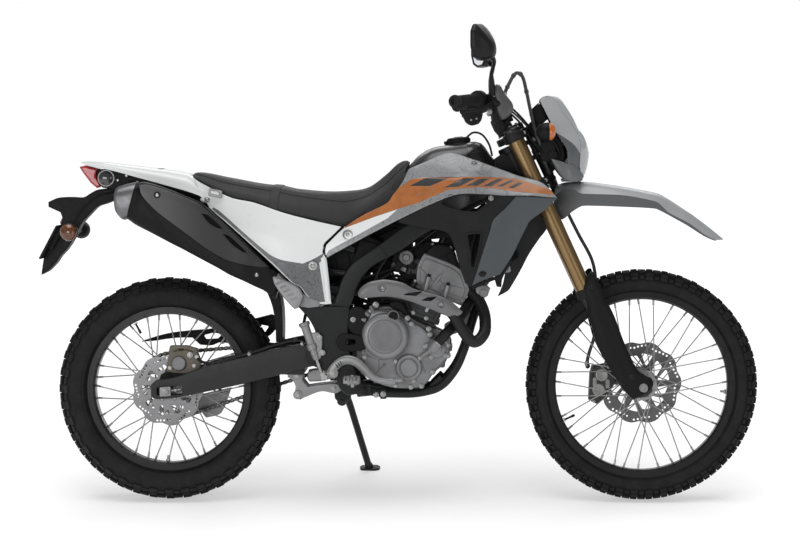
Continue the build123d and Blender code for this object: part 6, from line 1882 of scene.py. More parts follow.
# the tip is rounded in plan
for r, x in zip(outer, xs):
    for p in r:
        p.x -= 26 * ease(1560, 1700, x) * (abs(p.y) / max(f_wide(x), 1)) ** 2.5
inner = [fender_row(x, 3.5) for x in xs]
for r, q, x in zip(inner, outer, xs):
    for p, pq in zip(r, q):
        p.x = pq.x - (0.8 if x == xs[-1] else 0)
        p.z = min(p.z, pq.z - 0.4) if x > 1690 else p.z
k = Kit()
# the lower flank cells on both sides take the painted shade
k.grid(outer, inner, 0, None, lambda i, kk: 2 if kk < 4 or kk >= len(outer[0]) - 5 else 0, 2)
# tail of the fender, tucked under the lower yoke between the legs
xs2 = [1112, 1124, 1138, 1152, 1166, 1178, 1185]
out2, in2 = [], []
for x in xs2:
    zt, w = f_top(x), 56 + 0 * x
    row = []
    for i in range(17):
        t = -1 + 2 * i / 16
        row.append(Vector((x, w * t, zt - 26 * abs(t) ** 3 - 8)))
    out2.append(row)
    in2.append([p + Vector((1.2, 0, -4)) for p in row])
k.grid(out2, in2, 2)
for y in (-34, 34):
    k.bolt((1160, y, f_top(1160) - 6), (-0.4, 0, 1), 6, 4, 1, "hex", washer=10)
piece("fender_moulding", k, [FENDER, BOLT, FLANK_SHADE], "steering", "front_fender", angle=28)

# ---------------------------------------------------------------- front caliper, hose and cables
k = Kit()
k.side(fillet([(1297, 296), (1320, 286), (1352, 320), (1386, 366), (1362, 408), (1340, 414), (1306, 408), (1298, 384)], 8, 4), 82, 66.5, 0, 3.5)
k.side(fillet([(1300, 300), (1322, 290), (1350, 322), (1376, 360), (1354, 398), (1336, 406), (1308, 402)], 8, 4), 53, 42, 0, 3)
for x, z in ((1334, 384), (1322, 336)):
    k.lathe((x, 81, z), (0, 1, 0), [(0, 0), (0, 19), (2.4, 19), (3.2, 18), (3.2, 12), (2.2, 11), (2.2, 0)], 32, 0)
k.side(fillet([(1290, 302), (1294, 384), (1302, 410), (1312, 410), (1306, 384), (1303, 302)], 3, 3), 82, 42, 0, 3)
k.cyl((1352, 42, 404), (1352, 84, 404), 5, 16, 1)
k.cyl((1308, 42, 298), (1308, 84, 298), 5, 16, 1)
k.bolt((1352, 83, 404), (0, 1, 0), 5, 4, 1, "hex")
k.bolt((1308, 83, 298), (0, 1, 0), 5, 4, 1, "hex")
k.bolt((1290, 78, 404), (-0.3, 0.9, 0.2), 6, 6, 1, "hex", washer=8)
k.side([(1326, 352), (1372, 352), (1380, 366), (1362, 396), (1330, 392)], 66.3, 63.6, 2, 0.5)
k.side([(1326, 352), (1372, 352), (1380, 366), (1362, 396), (1330, 392)], 55.6, 53.2, 2, 0.5)
for x, z in ((1332, 380), (1322, 334)):
    k.lathe((x, 42.5, z), (0, -1, 0), [(0, 0), (0, 19), (0.8, 19), (1.3, 18), (1.3, 14), (0.7, 13), (0.7, 0)], 28, 1)
for x, z in ((1350, 352), (1310, 358)):
    k.side(fillet([(x - 6, z - 14), (x + 6, z - 14), (x + 6, z + 14), (x - 6, z + 14)], 4, 3), 42.5, 41.0, 1, 0.5)
piece("front_caliper_body", k, [CALIP_F, BOLT, PLASTIC], "steering", "front_caliper")

HOSE = [(1024, -228, 1228), (1040, -222, 1266), (1062, -200, 1302), (1082, -166, 1296), (1096, -128, 1250),
        (1108, -98, 1196), (1122, -76, 1140), (1140, -70, 1084), (1154, -66, 1034), (1168, -40, 1004),
        (1176, 0, 992), (1182, 44, 990), (1190, 78, 975), (1204, 89, 935), (1224, 92, 888), (1262, 98, 812),
        (1304, 92, 730), (1316, 72, 650), (1318, 66, 570), (1310, 66, 500), (1292, 70, 440), (1286, 74, 408)]
k = Kit()
line = catmull(HOSE, 6, False, 200)
k.tube(line, 5.4, 14, 0)
d = np.cumsum([0] + [(b - a).length for a, b in zip(line, line[1:])])


def hose_ring(at, r, half, mat):
    j = int(np.searchsorted(d, at))
    j = min(max(j, 1), len(line) - 2)
    w = (line[j + 1] - line[j - 1]).normalized()
    k.lathe(line[j] - w * half, w, [(0, 4), (0, r - 1), (1, r), (2 * half - 1, r), (2 * half, r - 1), (2 * half, 4)], 20, mat)


for at, r, half, mat in ((6, 7.2, 7, 1), (34, 7.0, 3.5, 0), (78, 7.2, 4, 0), (118, 7.2, 4, 0), (190, 7.0, 5, 0), (420, 7.5, 5, 0), (560, 7.5, 5, 0), (d[-1] - 130, 7, 6, 0), (d[-1] - 8, 6.6, 7, 1)):
    hose_ring(at, r, half, mat)
piece("brake_hose_front", k, [HOSE_B, BOLT, HOSE_M], "steering", "front_brake_hose", angle=50)
CABLES = [[(1014, -236, 1214), (1040, -216, 1206), (1066, -172, 1186), (1088, -124, 1164), (1104, -86, 1146), (1116, -56, 1136)],
          [(1008, -240, 1203), (1034, -220, 1192), (1060, -176, 1172), (1080, -128, 1152), (1098, -88, 1128), (1112, -56, 1116)],
          [(1014, 236, 1214), (1040, 216, 1206), (1066, 172, 1186), (1088, 124, 1164), (1104, 86, 1146), (1116, 56, 1136)]]
k = Kit()
for pts in CABLES:
    line = catmull(pts, 6)
    k.tube(line, 3.2, 12, 0)
    for at in (0, len(line) - 2):
        w = (line[at + 1] - line[at]).normalized()
        k.cyl(line[at] - w * 3, line[at] + w * 16, 4.6, 16, 1)
piece("control_cable_set", k, [HOSE_M, SLIDER], "steering", "control_cables", angle=50)


# ---------------------------------------------------------------- frame
SPAR = [(505, 604), (520, 631), (540, 688), (556, 716), (575, 738), (608, 761), (653, 791), (728, 845), (830, 903),
        (940, 958), (1040, 1000), (1062, 958), (940, 898), (780, 815), (738, 785), (689, 755), (638, 728),
        (608, 700), (590, 668), (569, 613), (562, 600)]
spar_plan = table([(495, -137), (640, -139), (780, -126), (900, -92), (1070, -34)])
k = Kit()
k.prism(smooth2(SPAR, 10, 48), lambda u, v, w: (u, spar_plan(u) + w, v), 27, 0, 0, 8)
for a, b in (((651, 788), (681, 750)), ((905, 936), (925, 893))):
    line = [Vector((a[0] + (b[0] - a[0]) * t, spar_plan(a[0] + (b[0] - a[0]) * t) - 0.2, a[1] + (b[1] - a[1]) * t)) for t in [i / 10 for i in range(11)]]
    k.tube([p + Vector((0.5 * math.sin(i * 2.1), 0, 0.5 * math.cos(i * 2.6))) for i, p in enumerate(line)], [1.7 + 0.35 * math.sin(i * 2.4) for i in range(11)], 8, 0)
k.mirror()
piece("spar_pair", k, [FRAME, BOLT], "root", "frame_spars")

k = Kit()
k.lathe(steer(0, 0), STEER_UP, [(706, 13), (706, 33), (710, 35), (722, 35), (726, 31), (812, 31), (816, 35), (830, 35), (834, 33), (834, 13)], 44, 0)
k.side(smooth2([(1080, 963), (1051, 950), (1010, 800), (972, 645), (968, 600), (930, 600), (936, 640), (975, 785), (1015, 930), (1045, 1010), (1070, 1010)], 14, 35), 22, -22, 0, 7)
for s in (1, -1):
    k.side(fillet([(985, 950), (1045, 1008), (1070, 1000), (1066, 958), (1030, 930), (1008, 905)], 8, 4), s * 24, s * 36, 0, 3)
    k.side(fillet([(940, 672), (966, 690), (972, 640), (966, 590), (936, 560), (922, 580), (934, 620)], 6, 3), s * 22, s * 27, 0, 1.5)
    k.bolt((950, s * 27, 600), (0, s, 0), 7.5, 6, 1, "hex", washer=11)
k.cyl((1042, -40, 978), (1042, 40, 978), 9, 20, 0)
k.side(fillet([(968, 1012), (984, 1036), (1004, 1050), (1028, 1066), (1050, 1062), (1066, 1020), (1070, 985), (1031, 975), (990, 975)], 8, 4), -30, 30, 0, 5)
piece("head_and_downtube", k, [FRAME, BOLT], "root", "frame_head")

PLATE_O = smooth2([(404, 604), (424, 582), (440, 562), (456, 530), (462, 496), (440, 484), (430, 460), (434, 432), (455, 420), (500, 403),
                   (519, 385), (532, 352), (556, 334), (584, 336), (606, 330), (612, 350), (592, 374), (576, 410), (562, 460), (556, 520), (562, 604)], 9, 42)
k = Kit()
for s in (1, -1):
    k.side(PLATE_O, s * 120, s * 134, 0, 4)
    # pivot bolt and cover ring
    k.lathe((460, s * 133, 453), (0, s, 0), [(0, 0), (0, 19), (3, 19), (4, 17.5), (4, 13), (2.5, 12), (2.5, 0)], 32, 0)
    k.bolt((460, s * 136, 453), (0, s, 0), 10, 6, 1, "hex", washer=13)
    k.bolt((597, s * 134, 347), (0, s, 0), 8, 5, 2, "hex", washer=11)
    k.bolt((566, s * 134, 384), (0, s, 0), 7, 5, 2, "hex", washer=10)
k.cyl((460, -132, 453), (460, 132, 453), 10.6, 24, 1)
k.cyl((572, -124, 354), (572, 124, 354), 13.5, 24, 0)
k.side(fillet([(498, 348), (560, 348), (552, 300), (540, 288), (512, 288), (502, 300)], 6, 4), 134, 112, 0, 3)
o, w = Vector(STAND_PIVOT), Vector(STAND_AXIS).normalized()
k.cyl(o - w * 52, o - w * 15, 14, 24, 0)
# heel plate with its window, and the sprocket shroud above it
HEEL = smooth2([(520, 500), (532, 516), (549, 522), (595, 514), (618, 500), (624, 486), (608, 474), (588, 468), (546, 468), (528, 478)], 7, 45)
k.side(HEEL, -132, -141, 3, 3.5, (fillet([(548, 486), (552, 504), (580, 503), (578, 488)], 5, 4),))
COVER_O = smooth2([(556, 560), (560, 590), (574, 601), (594, 601), (610, 588), (618, 560), (628, 530), (618, 512), (596, 508), (566, 524), (558, 540)], 7, 45)
k.side(COVER_O, -118, -131, 3, 3.5)
k.bolt((572, -131, 563), (0, -1, 0), 5, 4, 1, "button", washer=8)
piece("pivot_plate_pair", k, [FRAME, BOLT, BOLT_B, PLASTIC], "root", "pivot_plates")

CRADLE = [(950, -24, 606), (930, -62, 548), (912, -84, 480), (884, -88, 410), (836, -88, 352), (760, -88, 334), (660, -90, 336), (600, -98, 346)]
k = Kit()
half = rounded(CRADLE, 0.45, 8)
k.tube(half, 13.5, 24, 0)
k.box((662, -90, 334), ((1, 0, 0), (0, 1, 0), (0, 0, 1)), (10, 15.5, 15), 0, 4)
k.box((604, -104, 344), ((1, 0, 0.1), (0, 1, 0), (0, 0, 1)), (22, 14, 16), 0, 5)
k.bolt((662, -106, 334), (0, -1, 0), 6.5, 5, 1, "hex", washer=9)
k.bolt((640, -104, 332), (0, -1, 0), 6.5, 5, 1, "hex", washer=9)
k.box((826, -88, 366), ((0.7, 0, 0.7), (0, 1, 0), (-0.7, 0, 0.7)), (22, 5, 12), 0, 3)
k.mirror()
k.cyl((760, -88, 334), (760, 88, 334), 10, 20, 0)
k.cyl((905, -80, 470), (905, 80, 470), 9, 20, 0)
# skid plate between the lower rails
rows_o, rows_i = [], []
for x, z in ((650, 322), (700, 320), (760, 320), (800, 326), (836, 338), (864, 366), (884, 398), (898, 430)):
    rows_o.append([Vector((x + (0 if abs(t) < 0.9 else -2), 66 * t, z + 4 * abs(t) ** 4)) for t in [-1, -0.92, -0.6, -0.3, 0, 0.3, 0.6, 0.92, 1]])
    rows_i.append([p + Vector((-1.2 if x > 830 else 0, 0, 2.2)) for p in rows_o[-1]])
k.grid(rows_o, rows_i, 2, lambda i, kk: not (i in (1, 3) and kk in (2, 5)))
piece("cradle_pair", k, [FRAME, BOLT, PLASTIC], "root", "engine_cradle")

RAIL_TOP = [(575, -96, 770), (440, -92, 820), (250, -84, 872), (60, -70, 930), (-120, -50, 975)]
RAIL_LOW = [(566, -104, 700), (440, -84, 714), (320, -76, 754), (200, -76, 822), (60, -72, 906)]
k = Kit()
k.tube(rounded(RAIL_TOP, 0.45, 6), 11, 20, 0)
k.tube(rounded(RAIL_LOW, 0.45, 6), 10, 20, 0)
k.side(fillet([(330, 740), (352, 742), (372, 690), (410, 640), (430, 610), (416, 604), (396, 628), (350, 690)], 5, 3), -84, -92, 0, 2)
k.side(fillet([(120, 885), (146, 900), (160, 880), (140, 860)], 4, 3), -74, -84, 0, 2)
k.bolt((424, -93, 618), (0, -1, 0), 7, 5, 1, "hex", washer=10)
k.mirror()
for x, z, y in ((420, 826, 92), (200, 886, 82), (40, 935, 70), (-110, 972, 52)):
    k.cyl((x, -y, z), (x, y, z), 8, 18, 0)
piece("subframe_rails", k, [FRAME, BOLT], "root", "subframe")

# ---------------------------------------------------------------- swingarm
ARM = smooth2([(-44, 326), (-46, 362), (-30, 376), (8, 382), (48, 392), (79, 404), (152, 428), (230, 446), (321, 470), (420, 487), (470, 486),
               (490, 468), (490, 446), (478, 428), (431, 416), (369, 399), (290, 379), (237, 366), (109, 339), (52, 328), (15, 322), (-30, 320)], 12, 46)
ridge = catmull([(60, 0, 370), (133, 0, 390), (190, 0, 407), (313, 0, 440), (398, 0, 458), (460, 0, 470)], 14)


def arm_y(x, z):
    zr = 370 + (x - 60) * 0.2475 + 7 * math.sin(math.pi * min(max((x - 60) / 400, 0), 1)) * 0.25
    d = z - zr
    r = 1.0 - ease(20, 70, 70 - x) if x < 70 else 1.0
    return -121 + (0.030 * max(d, 0) + 0.085 * max(-d, 0)) * (1.0 if x > 40 else 0.3)


SLOT = fillet([(-26, 332), (-26, 356), (50, 360), (50, 334)], 4, 3)
k = Kit()
zr_line = [(x, 370 + (x - 60) * 0.2475 + 7 * math.sin(math.pi * min(max((x - 60) / 400, 0), 1)) * 0.25) for x in range(62, 468, 14)]
k.sheet(ARM, arm_y, 32, 0, 16, 3.5, (SLOT,), (), (zr_line,))
# chain adjuster block, washer, nut and bolt in the slot
k.box((-1, -118, 343), ((1, 0, 0.06), (0, 0, 1), (0, 1, 0)), (17, 14.5, 6), 1, 2)
k.bolt((0, -122, 343), (0, -1, 0), 11, 8, 1, "hex", washer=15)
k.cyl((16, -110, 345), (46, -110, 350), 4.5, 14, 1)
k.lathe((26, -110, 346.5), (1, 0, 0.16), [(0, 0), (0, 8), (7, 8), (7, 0)], 6, 1)
k.lathe((-26, -106, 343), (1, 0, 0), [(-16, 0), (-16, 12), (0, 12), (0, 0)], 24, 0)
k.mirror()
k.cyl((RX, -124, RZ), (RX, 124, RZ), 9, 24, 1)
k.side(fillet([(372, 391), (420, 391), (424, 462), (372, 456)], 9, 4), 90, -90, 0, 6)
for s in (1, -1):
    k.lathe((460, s * 96, 453), (0, s, 0), [(-14, 11.5), (-14, 26), (20, 26), (21, 24), (21, 11.5)], 32, 0)
    k.side(smooth2([(300, 420), (350, 452), (372, 456), (372, 391), (330, 396)], 8, 40), s * 89, s * 74, 0, 4)
# brake hose guides and the hose along the arm
line = catmull([(470, -131, 480), (430, -126, 494), (396, -123, 500), (330, -121, 484), (258, -120, 461), (180, -119, 441), (140, -117, 430), (112, -104, 432), (96, -88, 440)], 8)
k.tube(line, 4.2, 12, 2)
for x, z in ((258, 463), (396, 501), (170, 440)):
    k.side(fillet([(x - 7, z - 9), (x - 7, z + 5), (x + 7, z + 9), (x + 7, z - 5)], 3, 3), -116, -127, 2, 1.5)
k.bolt((256, -126, 458), (0, -1, 0), 4.5, 3.5, 1, "hex")
piece("swingarm_beams", k, [SWING, SATIN, HOSE_M], "root", "swingarm")

# ---------------------------------------------------------------- shock and linkage
k = Kit()
top, low = Vector((522, 0, 660)), Vector((508, 0, 366))
w = (top - low).normalized()
L = (top - low).length
k.lathe(low, w, [(0, 0), (0, 14), (20, 14), (26, 20), (40, 24), (44, 33), (50, 34), (52, 30), (120, 22), (250, 22), (252, 33), (262, 34), (266, 26), (286, 24), (292, 18), (L, 18), (L, 0)], 36, 0)
coil, turns = [], 7.5
u = Vector((0, 1, 0))
v = w.cross(u)
for i in range(int(turns * 20) + 1):
    t = 2 * math.pi * i / 20
    coil.append(low + w * (52 + 198 * i / (turns * 20)) + (u * math.cos(t) + v * math.sin(t)) * 29)
k.tube(coil, 4.8, 10, 1)
k.cyl((522, -22, 655), (522, 22, 655), 12, 24, 0)
k.lathe((560, 30, 600), (0.1, 0.1, 1), [(-2, 0), (0, 20), (4, 23), (70, 23), (76, 20), (78, 0)], 32, 0)
k.cyl((508, -40, 352), (508, 40, 352), 8, 20, 2)
k.cyl((397, -42, 322), (397, 42, 322), 8, 20, 2)
LINK = smooth2([(378, 398), (366, 392), (366, 380), (380, 372), (390, 352), (388, 334), (390, 318), (404, 310), (420, 318), (470, 336), (512, 330), (528, 338), (530, 350),
                (518, 360), (470, 358), (428, 352), (412, 372), (414, 390), (400, 402)], 7, 45)
for s in (1, -1):
    k.side(LINK, s * 29, s * 41, 2, 3.5)
    k.lathe((397, s * 41, 326), (0, s, 0), [(-1, 0), (-1, 14), (2, 14), (3, 13), (3, 0)], 28, 2)
    k.bolt((397, s * 44, 326), (0, s, 0), 7, 5, 3, "hex", washer=9)
    k.lathe((394, s * 41, 386), (0, s, 0), [(-1, 0), (-1, 14), (2, 14), (3, 13), (3, 0)], 28, 2)
    k.bolt((394, s * 44, 386), (0, s, 0), 7, 5, 3, "hex", washer=9)
    k.bolt((508, s * 41, 346), (0, s, 0), 6, 5, 3, "hex", washer=8)
k.side(smooth2([(430, 400), (424, 380), (432, 364), (470, 366), (500, 374), (494, 396), (462, 404)], 8, 45), -24, 24, 2, 5)
piece("shock_and_linkage", k, [SLIDER, CASTBLK, SATIN, BOLT], "root", "rear_shock")

# ---------------------------------------------------------------- engine
CASE_C = smooth2([(580, 478), (584, 412), (616, 380), (670, 358), (766, 358), (808, 392), (848, 430), (864, 488), (850, 512), (806, 534), (760, 556), (724, 582), (690, 600), (622, 592), (586, 545)], 12, 46)
k = Kit()
k.side(CASE_C, 88, -88, 0, 6)
k.side(inset(CASE_C, -5), 3, -3, 0, 1.5)
for x, z, y in ((700, 352, 30), (700, 352, -30)):
    k.bolt((x, y, 358), (0, 0, -1), 7, 5, 1, "hex", washer=10)
for i, (x, z) in enumerate(((600, 400), (640, 372), (790, 378), (840, 420), (862, 470))):
    k.side(fillet([(x - 9, z - 9), (x + 9, z - 9), (x + 9, z + 9), (x - 9, z + 9)], 6, 3), 60, -60, 0, 2)
# front mounting lug and rear lugs
k.side(fillet([(850, 500), (900, 520), (940, 556), (944, 580), (920, 588), (880, 560), (846, 540)], 7, 4), 20, -20, 0, 4)
k.side(fillet([(580, 520), (548, 540), (540, 560), (560, 570), (590, 560)], 7, 4), 60, -60, 0, 4)
piece("crankcase_casting", k, [CAST, BOLT], "root", "crankcase")

k = Kit()
RC = smooth2([(611, 588), (630, 592), (668, 592), (690, 590), (728, 563), (744, 553), (762, 548), (789, 530), (806, 506), (850, 500), (860, 472), (860, 448), (836, 427),
              (812, 398), (785, 363), (744, 353), (683, 357), (641, 374), (606, 430), (594, 470), (592, 540)], 9, 40)
k.side(inset(RC, -2.5), -86, -93, 0, 1.5)
k.side(RC, -92, -114, 0, 6)
RIB = [((640, 380), (700, 372)), ((700, 372), (770, 366)), ((815, 410), (845, 445))]
# bosses with bolts round the rim
for x, z in ((625, 586), (638, 571), (736, 566), (748, 548), (800, 533), (804, 516), (790, 480), (850, 492), (858, 452), (812, 402), (778, 360), (746, 357), (700, 362), (652, 380), (606, 446), (598, 500)):
    k.lathe((x, -112, z), (0, -1, 0), [(-16, 0), (-16, 9.5), (2, 8.6), (4, 8.2), (4, 0)], 20, 0)
    k.bolt((x, -116, z), (0, -1, 0), 5.2, 4.2, 2, "hex")
# cast webs and steps on the flat of the cover
for a, b, r in (((668, 425), (640, 396), 2.4), ((702, 412), (716, 372), 2.4), ((650, 404), (650, 440), 2.2), ((604, 448), (640, 452), 2.2), ((770, 444), (806, 470), 2.6), ((776, 438), (790, 400), 2.4)):
    k.tube([(a[0], -114, a[1]), (b[0], -114, b[1])], r, 10, 0, True, flat=(1.0, 1.2))
k.lathe((666, -113, 424), (0, -1, 0), [(0, 0), (0, 8.5), (3, 8), (3, 4.5), (1, 4), (1, 0)], 24, 0)
piece("clutch_side_case", k, [CAST, SATIN, BOLT], "root", angle=34)

k = Kit()
LOBE = smooth2([(616, 560), (629, 587), (657, 590), (693, 580), (716, 559), (730, 530), (728, 486), (708, 458), (672, 442), (636, 445), (609, 465), (602, 501), (606, 532)], 9, 46)
k.side(LOBE, -112, -134, 0, 6)
c = (669, -112, 513)
k.lathe(c, (0, -1, 0), [(0, 0), (0, 72), (20, 71), (27, 69), (33, 64), (35.5, 58), (36, 53), (34.5, 51.5), (34.5, 50), (36, 48.8), (38.2, 48), (38.8, 46), (38.8, 0)], 72, 0)
k.lathe(c, (0, -1, 0), [(38.6, 0), (38.6, 45.5), (39.4, 45), (39.4, 0)], 64, 1)
# neck fins at the upper left of the cover
for i, (x, z, dx, dz) in enumerate(((622, 574, -15, 10), (634, 585, -8, 16), (612, 560, -17, 4))):
    k.tube([(x, -131, z), (x + dx * 1.1, -124, z + dz * 1.1)], [6.6, 5.0], 12, 0)
k.lathe((694, -118, 574), (0, -1, 0), [(0, 0), (0, 19), (22, 17.5), (23, 16), (23, 0)], 28, 0)
k.lathe((694, -140, 574), (0, -1, 0), [(0, 0), (0, 14.5), (6, 14.2), (7.4, 12.5), (7.4, 0)], 20, 2)
k.box((694, -148, 574), ((1, 0, 0.4), (0, 0, 1), (0, 1, 0)), (9.5, 2.8, 2.2), 2, 0.8)
# oil filter cover
c = (740, -112, 417)
k.lathe(c, (0, -1, 0), [(0, 0), (0, 41), (10, 40), (15, 38), (16.5, 36), (16.5, 30), (15, 28.5), (15, 27), (17, 26), (22, 25), (23.5, 23), (24, 0)], 56, 0)
for a in (40, 155, 290):
    x, z = 740 + 43 * math.cos(math.radians(a)), 417 + 43 * math.sin(math.radians(a))
    k.lathe((x, -112, z), (0, -1, 0), [(-4, 0), (-4, 9), (8, 8), (9, 7), (9, 0)], 20, 0)
    k.bolt((x, -121, z), (0, -1, 0), 5, 4, 3, "hex")
# water pump, its outlet and bolts
c = (824, -112, 476)
k.lathe(c, (0, -1, 0), [(0, 0), (0, 32), (8, 31), (13, 28), (18, 20), (22, 16), (24, 15), (24, 0)], 44, 0)
k.tube(catmull([(812, -126, 474), (819, -131, 482), (826, -131, 490)], 4), 17.4, 22, 0)
k.tube(catmull([(806, -124, 470), (790, -120, 458), (778, -116, 450)], 4), 8, 14, 0)
for x, z in ((795, 482), (808, 448), (850, 454), (858, 484)):
    k.lathe((x, -112, z), (0, -1, 0), [(-4, 0), (-4, 9), (6, 8), (7, 7), (7, 0)], 20, 0)
    k.bolt((x, -119, z), (0, -1, 0), 5, 4, 3, "hex")
# left side: generator cover, sprocket cover, gear shaft
L_OUT = smooth2([(604, 470), (620, 410), (690, 384), (770, 384), (820, 420), (838, 480), (810, 540), (740, 572), (650, 560)], 9, 46)
k.side(L_OUT, 88, 114, 0, 6)
k.lathe((742, 112, 478), (0, 1, 0), [(0, 0), (0, 78), (14, 77), (22, 74), (28, 68), (31, 58), (32, 42), (30.5, 40), (30.5, 38), (33, 36), (34, 0)], 64, 0)
k.lathe((742, 144, 478), (0, 1, 0), [(0, 0), (0, 22), (2, 21), (2, 8), (1, 7), (1, 0)], 32, 1)
for i in range(9):
    a = math.radians(40 * i + 10)
    x, z = 742 + 84 * math.cos(a), 478 + 84 * math.sin(a)
    if inside([(p[0], p[1]) for p in inset(L_OUT, -14)], x, z):
        k.lathe((x, 100, z), (0, 1, 0), [(0, 0), (0, 9), (15, 8), (16, 7), (16, 0)], 20, 0)
        k.bolt((x, 116, z), (0, 1, 0), 5, 4, 3, "hex")
k.side(smooth2([(494, 412), (540, 404), (602, 408), (606, 470), (602, 506), (540, 512), (494, 506), (486, 460)], 8, 46), 87, 98, 2, 3)
k.bolt((510, 98, 420), (0, 1, 0), 5, 4, 3, "hex")
k.bolt((590, 98, 498), (0, 1, 0), 5, 4, 3, "hex")
k.cyl((604, 88, 400), (604, 122, 400), 10, 24, 1)
piece("engine_cover_set", k, [COVER, COVER_L, PLASTIC, BOLT], "root", "engine_covers", angle=34)

# cylinder, head and cam cover, canted forward
cu, cw = Vector((0.921, 0, -0.39)), Vector((0.39, 0, 0.921))
c0 = Vector((768, 0, 566))


def on_cyl(u, v, w):
    return c0 + cu * u + cw * w + LEFT * v


def rect(a, b, r=10, per=4):
    return fillet([(-a, -b), (a, -b), (a, b), (-a, b)], r, per)


k = Kit()
k.prism(rect(58, 62, 14), on_cyl, 0, 92, 0, 2)
for i in range(6):
    k.prism(rect(62, 65.5, 15), on_cyl, 22 + 11.5 * i, 26.2 + 11.5 * i, 0, 1.2)
k.prism(rect(66, 68, 12), on_cyl, 0, 12, 0, 2.5)
for u in (-52, 52):
    for v in (-60, 60):
        k.cyl(on_cyl(u, v, 4), on_cyl(u, v, 94), 8, 18, 0)
        k.lathe(on_cyl(u, v, 92), cw, [(0, 0), (0, 9), (2, 9), (2, 7), (10, 7), (10, 0)], 6, 1)
for u in (-20, 24):
    k.bolt(on_cyl(u, -67, 6), (0, -1, 0), 5, 4, 1, "hex", washer=7)
piece("cylinder_barrel", k, [BARREL, BOLT], "root", angle=34)

HEAD = smooth2([(764, 664), (762, 690), (768, 728), (786, 762), (828, 746), (876, 726), (902, 706), (916, 676), (924, 650), (914, 622), (902, 606), (870, 612), (810, 637)], 9, 30)
k = Kit()
k.side(HEAD, 70, -70, 0, 5)
k.side(inset(HEAD, 12), 74, -74, 0, 3)
# bosses, ribs and studs on the side of the head
for s in (1, -1):
    k.tube([(846, s * 72, 706), (826, s * 76, 678), (806, s * 73, 652)], [2.5, 5.5, 3.0], 12, 0, True, flat=(1.2, 1))
    for a, b in (((800, 690), (788, 648)), ((858, 664), (846, 624))):
        k.cyl((a[0], s * 78, a[1]), (b[0], s * 78, b[1]), 7.4, 20, 1)
        k.cyl((a[0], s * 78, a[1]), (a[0] + 2.5, s * 78, a[1] + 8), 5.0, 16, 2)
        k.box(((a[0] + b[0]) / 2, s * 72, (a[1] + b[1]) / 2), (cu, LEFT, cw), (9, 8, 20), 0, 3)
    k.tube(catmull([(772, s * 73.5, 718), (790, s * 74, 700), (796, s * 74, 684), (830, s * 74, 672), (880, s * 74, 660), (914, s * 72, 652)], 8), 2.0, 10, 0)
    k.tube(catmull([(766, s * 72, 676), (800, s * 73, 664), (856, s * 73, 642), (910, s * 72, 622)], 8), 2.4, 10, 0)
    k.box((824, s * 73, 664), (cu, LEFT, cw), (13, 5, 16), 0, 3)
# gasket line under the head
k.prism(rect(69, 70, 12), on_cyl, 92, 94, 2, 0.3)
k.side(fillet([(760, 655), (782, 648), (900, 600), (906, 610), (790, 655), (766, 666)], 3, 3), 66, -66, 0, 1.5)
# cam cover in black, with bolts, breather and the plug lead
CAM = smooth2([(782, 759), (793, 768), (817, 788), (848, 789), (874, 770), (890, 726), (897, 704), (876, 714), (848, 722), (822, 742)], 5, 34)
k.side(CAM, 66, -66, 2, 6)
for s in (1, -1):
    k.tube([(826, s * 66, 744), (850, s * 66.5, 752), (874, s * 66, 768)], 1.6, 8, 2)
    k.tube([(850, s * 66.5, 752), (880, s * 66, 716)], 1.6, 8, 2)
for v in (-50, 50):
    for x, z in ((812, 786), (866, 776)):
        k.bolt((x, v, z), (0.3, 0, 1), 5.5, 5, 1, "hex", washer=8)
k.cyl((838, 0, 780), (848, 0, 808), 14, 24, 3)
k.tube(catmull([(848, 0, 806), (852, 10, 824), (862, 30, 838), (876, 44, 852)], 6), 4, 12, 3)
# exhaust and intake stubs
k.lathe((896, -34, 660), (0.87, -0.42, -0.26), [(-16, 0), (-16, 27), (-2, 27), (0, 24), (4, 24), (4, 0)], 36, 0)
k.lathe((778, 0, 716), (-0.98, 0, 0.18), [(-10, 0), (-10, 30), (8, 30), (10, 28), (10, 0)], 36, 0)
piece("cylinder_head", k, [CAST, SATIN, PLASTIC, PLASTIC_S], "root", "cylinder_and_head", angle=34)

# coolant hoses, clamps, cables and small hoses around the engine
k = Kit()
hose = catmull([(823, -130.5, 487), (838, -129, 504), (854, -123, 521), (882, -102, 549), (906, -74, 584), (934, -30, 622), (960, 30, 658), (985, 80, 690), (1006, 96, 712)], 7)
k.tube(hose, 15.8, 22, 0)
for at in (1, len(hose) - 4):
    w = (hose[at + 1] - hose[at]).normalized()
    k.lathe(hose[at] - w * 4, w, [(0, 15), (0, 17.2), (6, 17.2), (6, 15)], 28, 1)
hose = catmull([(856, 20, 780), (890, 40, 800), (940, 70, 830), (980, 92, 862), (1000, 98, 880)], 8)
k.tube(hose, 12.5, 18, 0)
for pts, r in (([(700, -60, 600), (690, -84, 612), (704, -92, 624), (726, -86, 618), (742, -80, 590)], 4.5),
               ([(640, -70, 600), (662, -88, 622), (690, -80, 640), (700, -50, 668), (690, -40, 700)], 4.0),
               ([(608, -96, 628), (634, -100, 668), (650, -94, 712), (676, -86, 752), (730, -90, 800), (800, -70, 850)], 4.5),
               ([(566, -90, 668), (610, -90, 690), (650, -84, 700), (684, -60, 712), (716, -50, 722), (732, -36, 740)], 3.6),
               ([(560, -80, 650), (600, -80, 664), (636, -78, 678), (672, -66, 694), (700, -40, 716), (712, -30, 730)], 5.0),
               ([(738, -40, 764), (780, -70, 800), (830, -72, 838), (880, -60, 880)], 3.6)):
    k.tube(catmull(pts, 7), r, 12, 0)
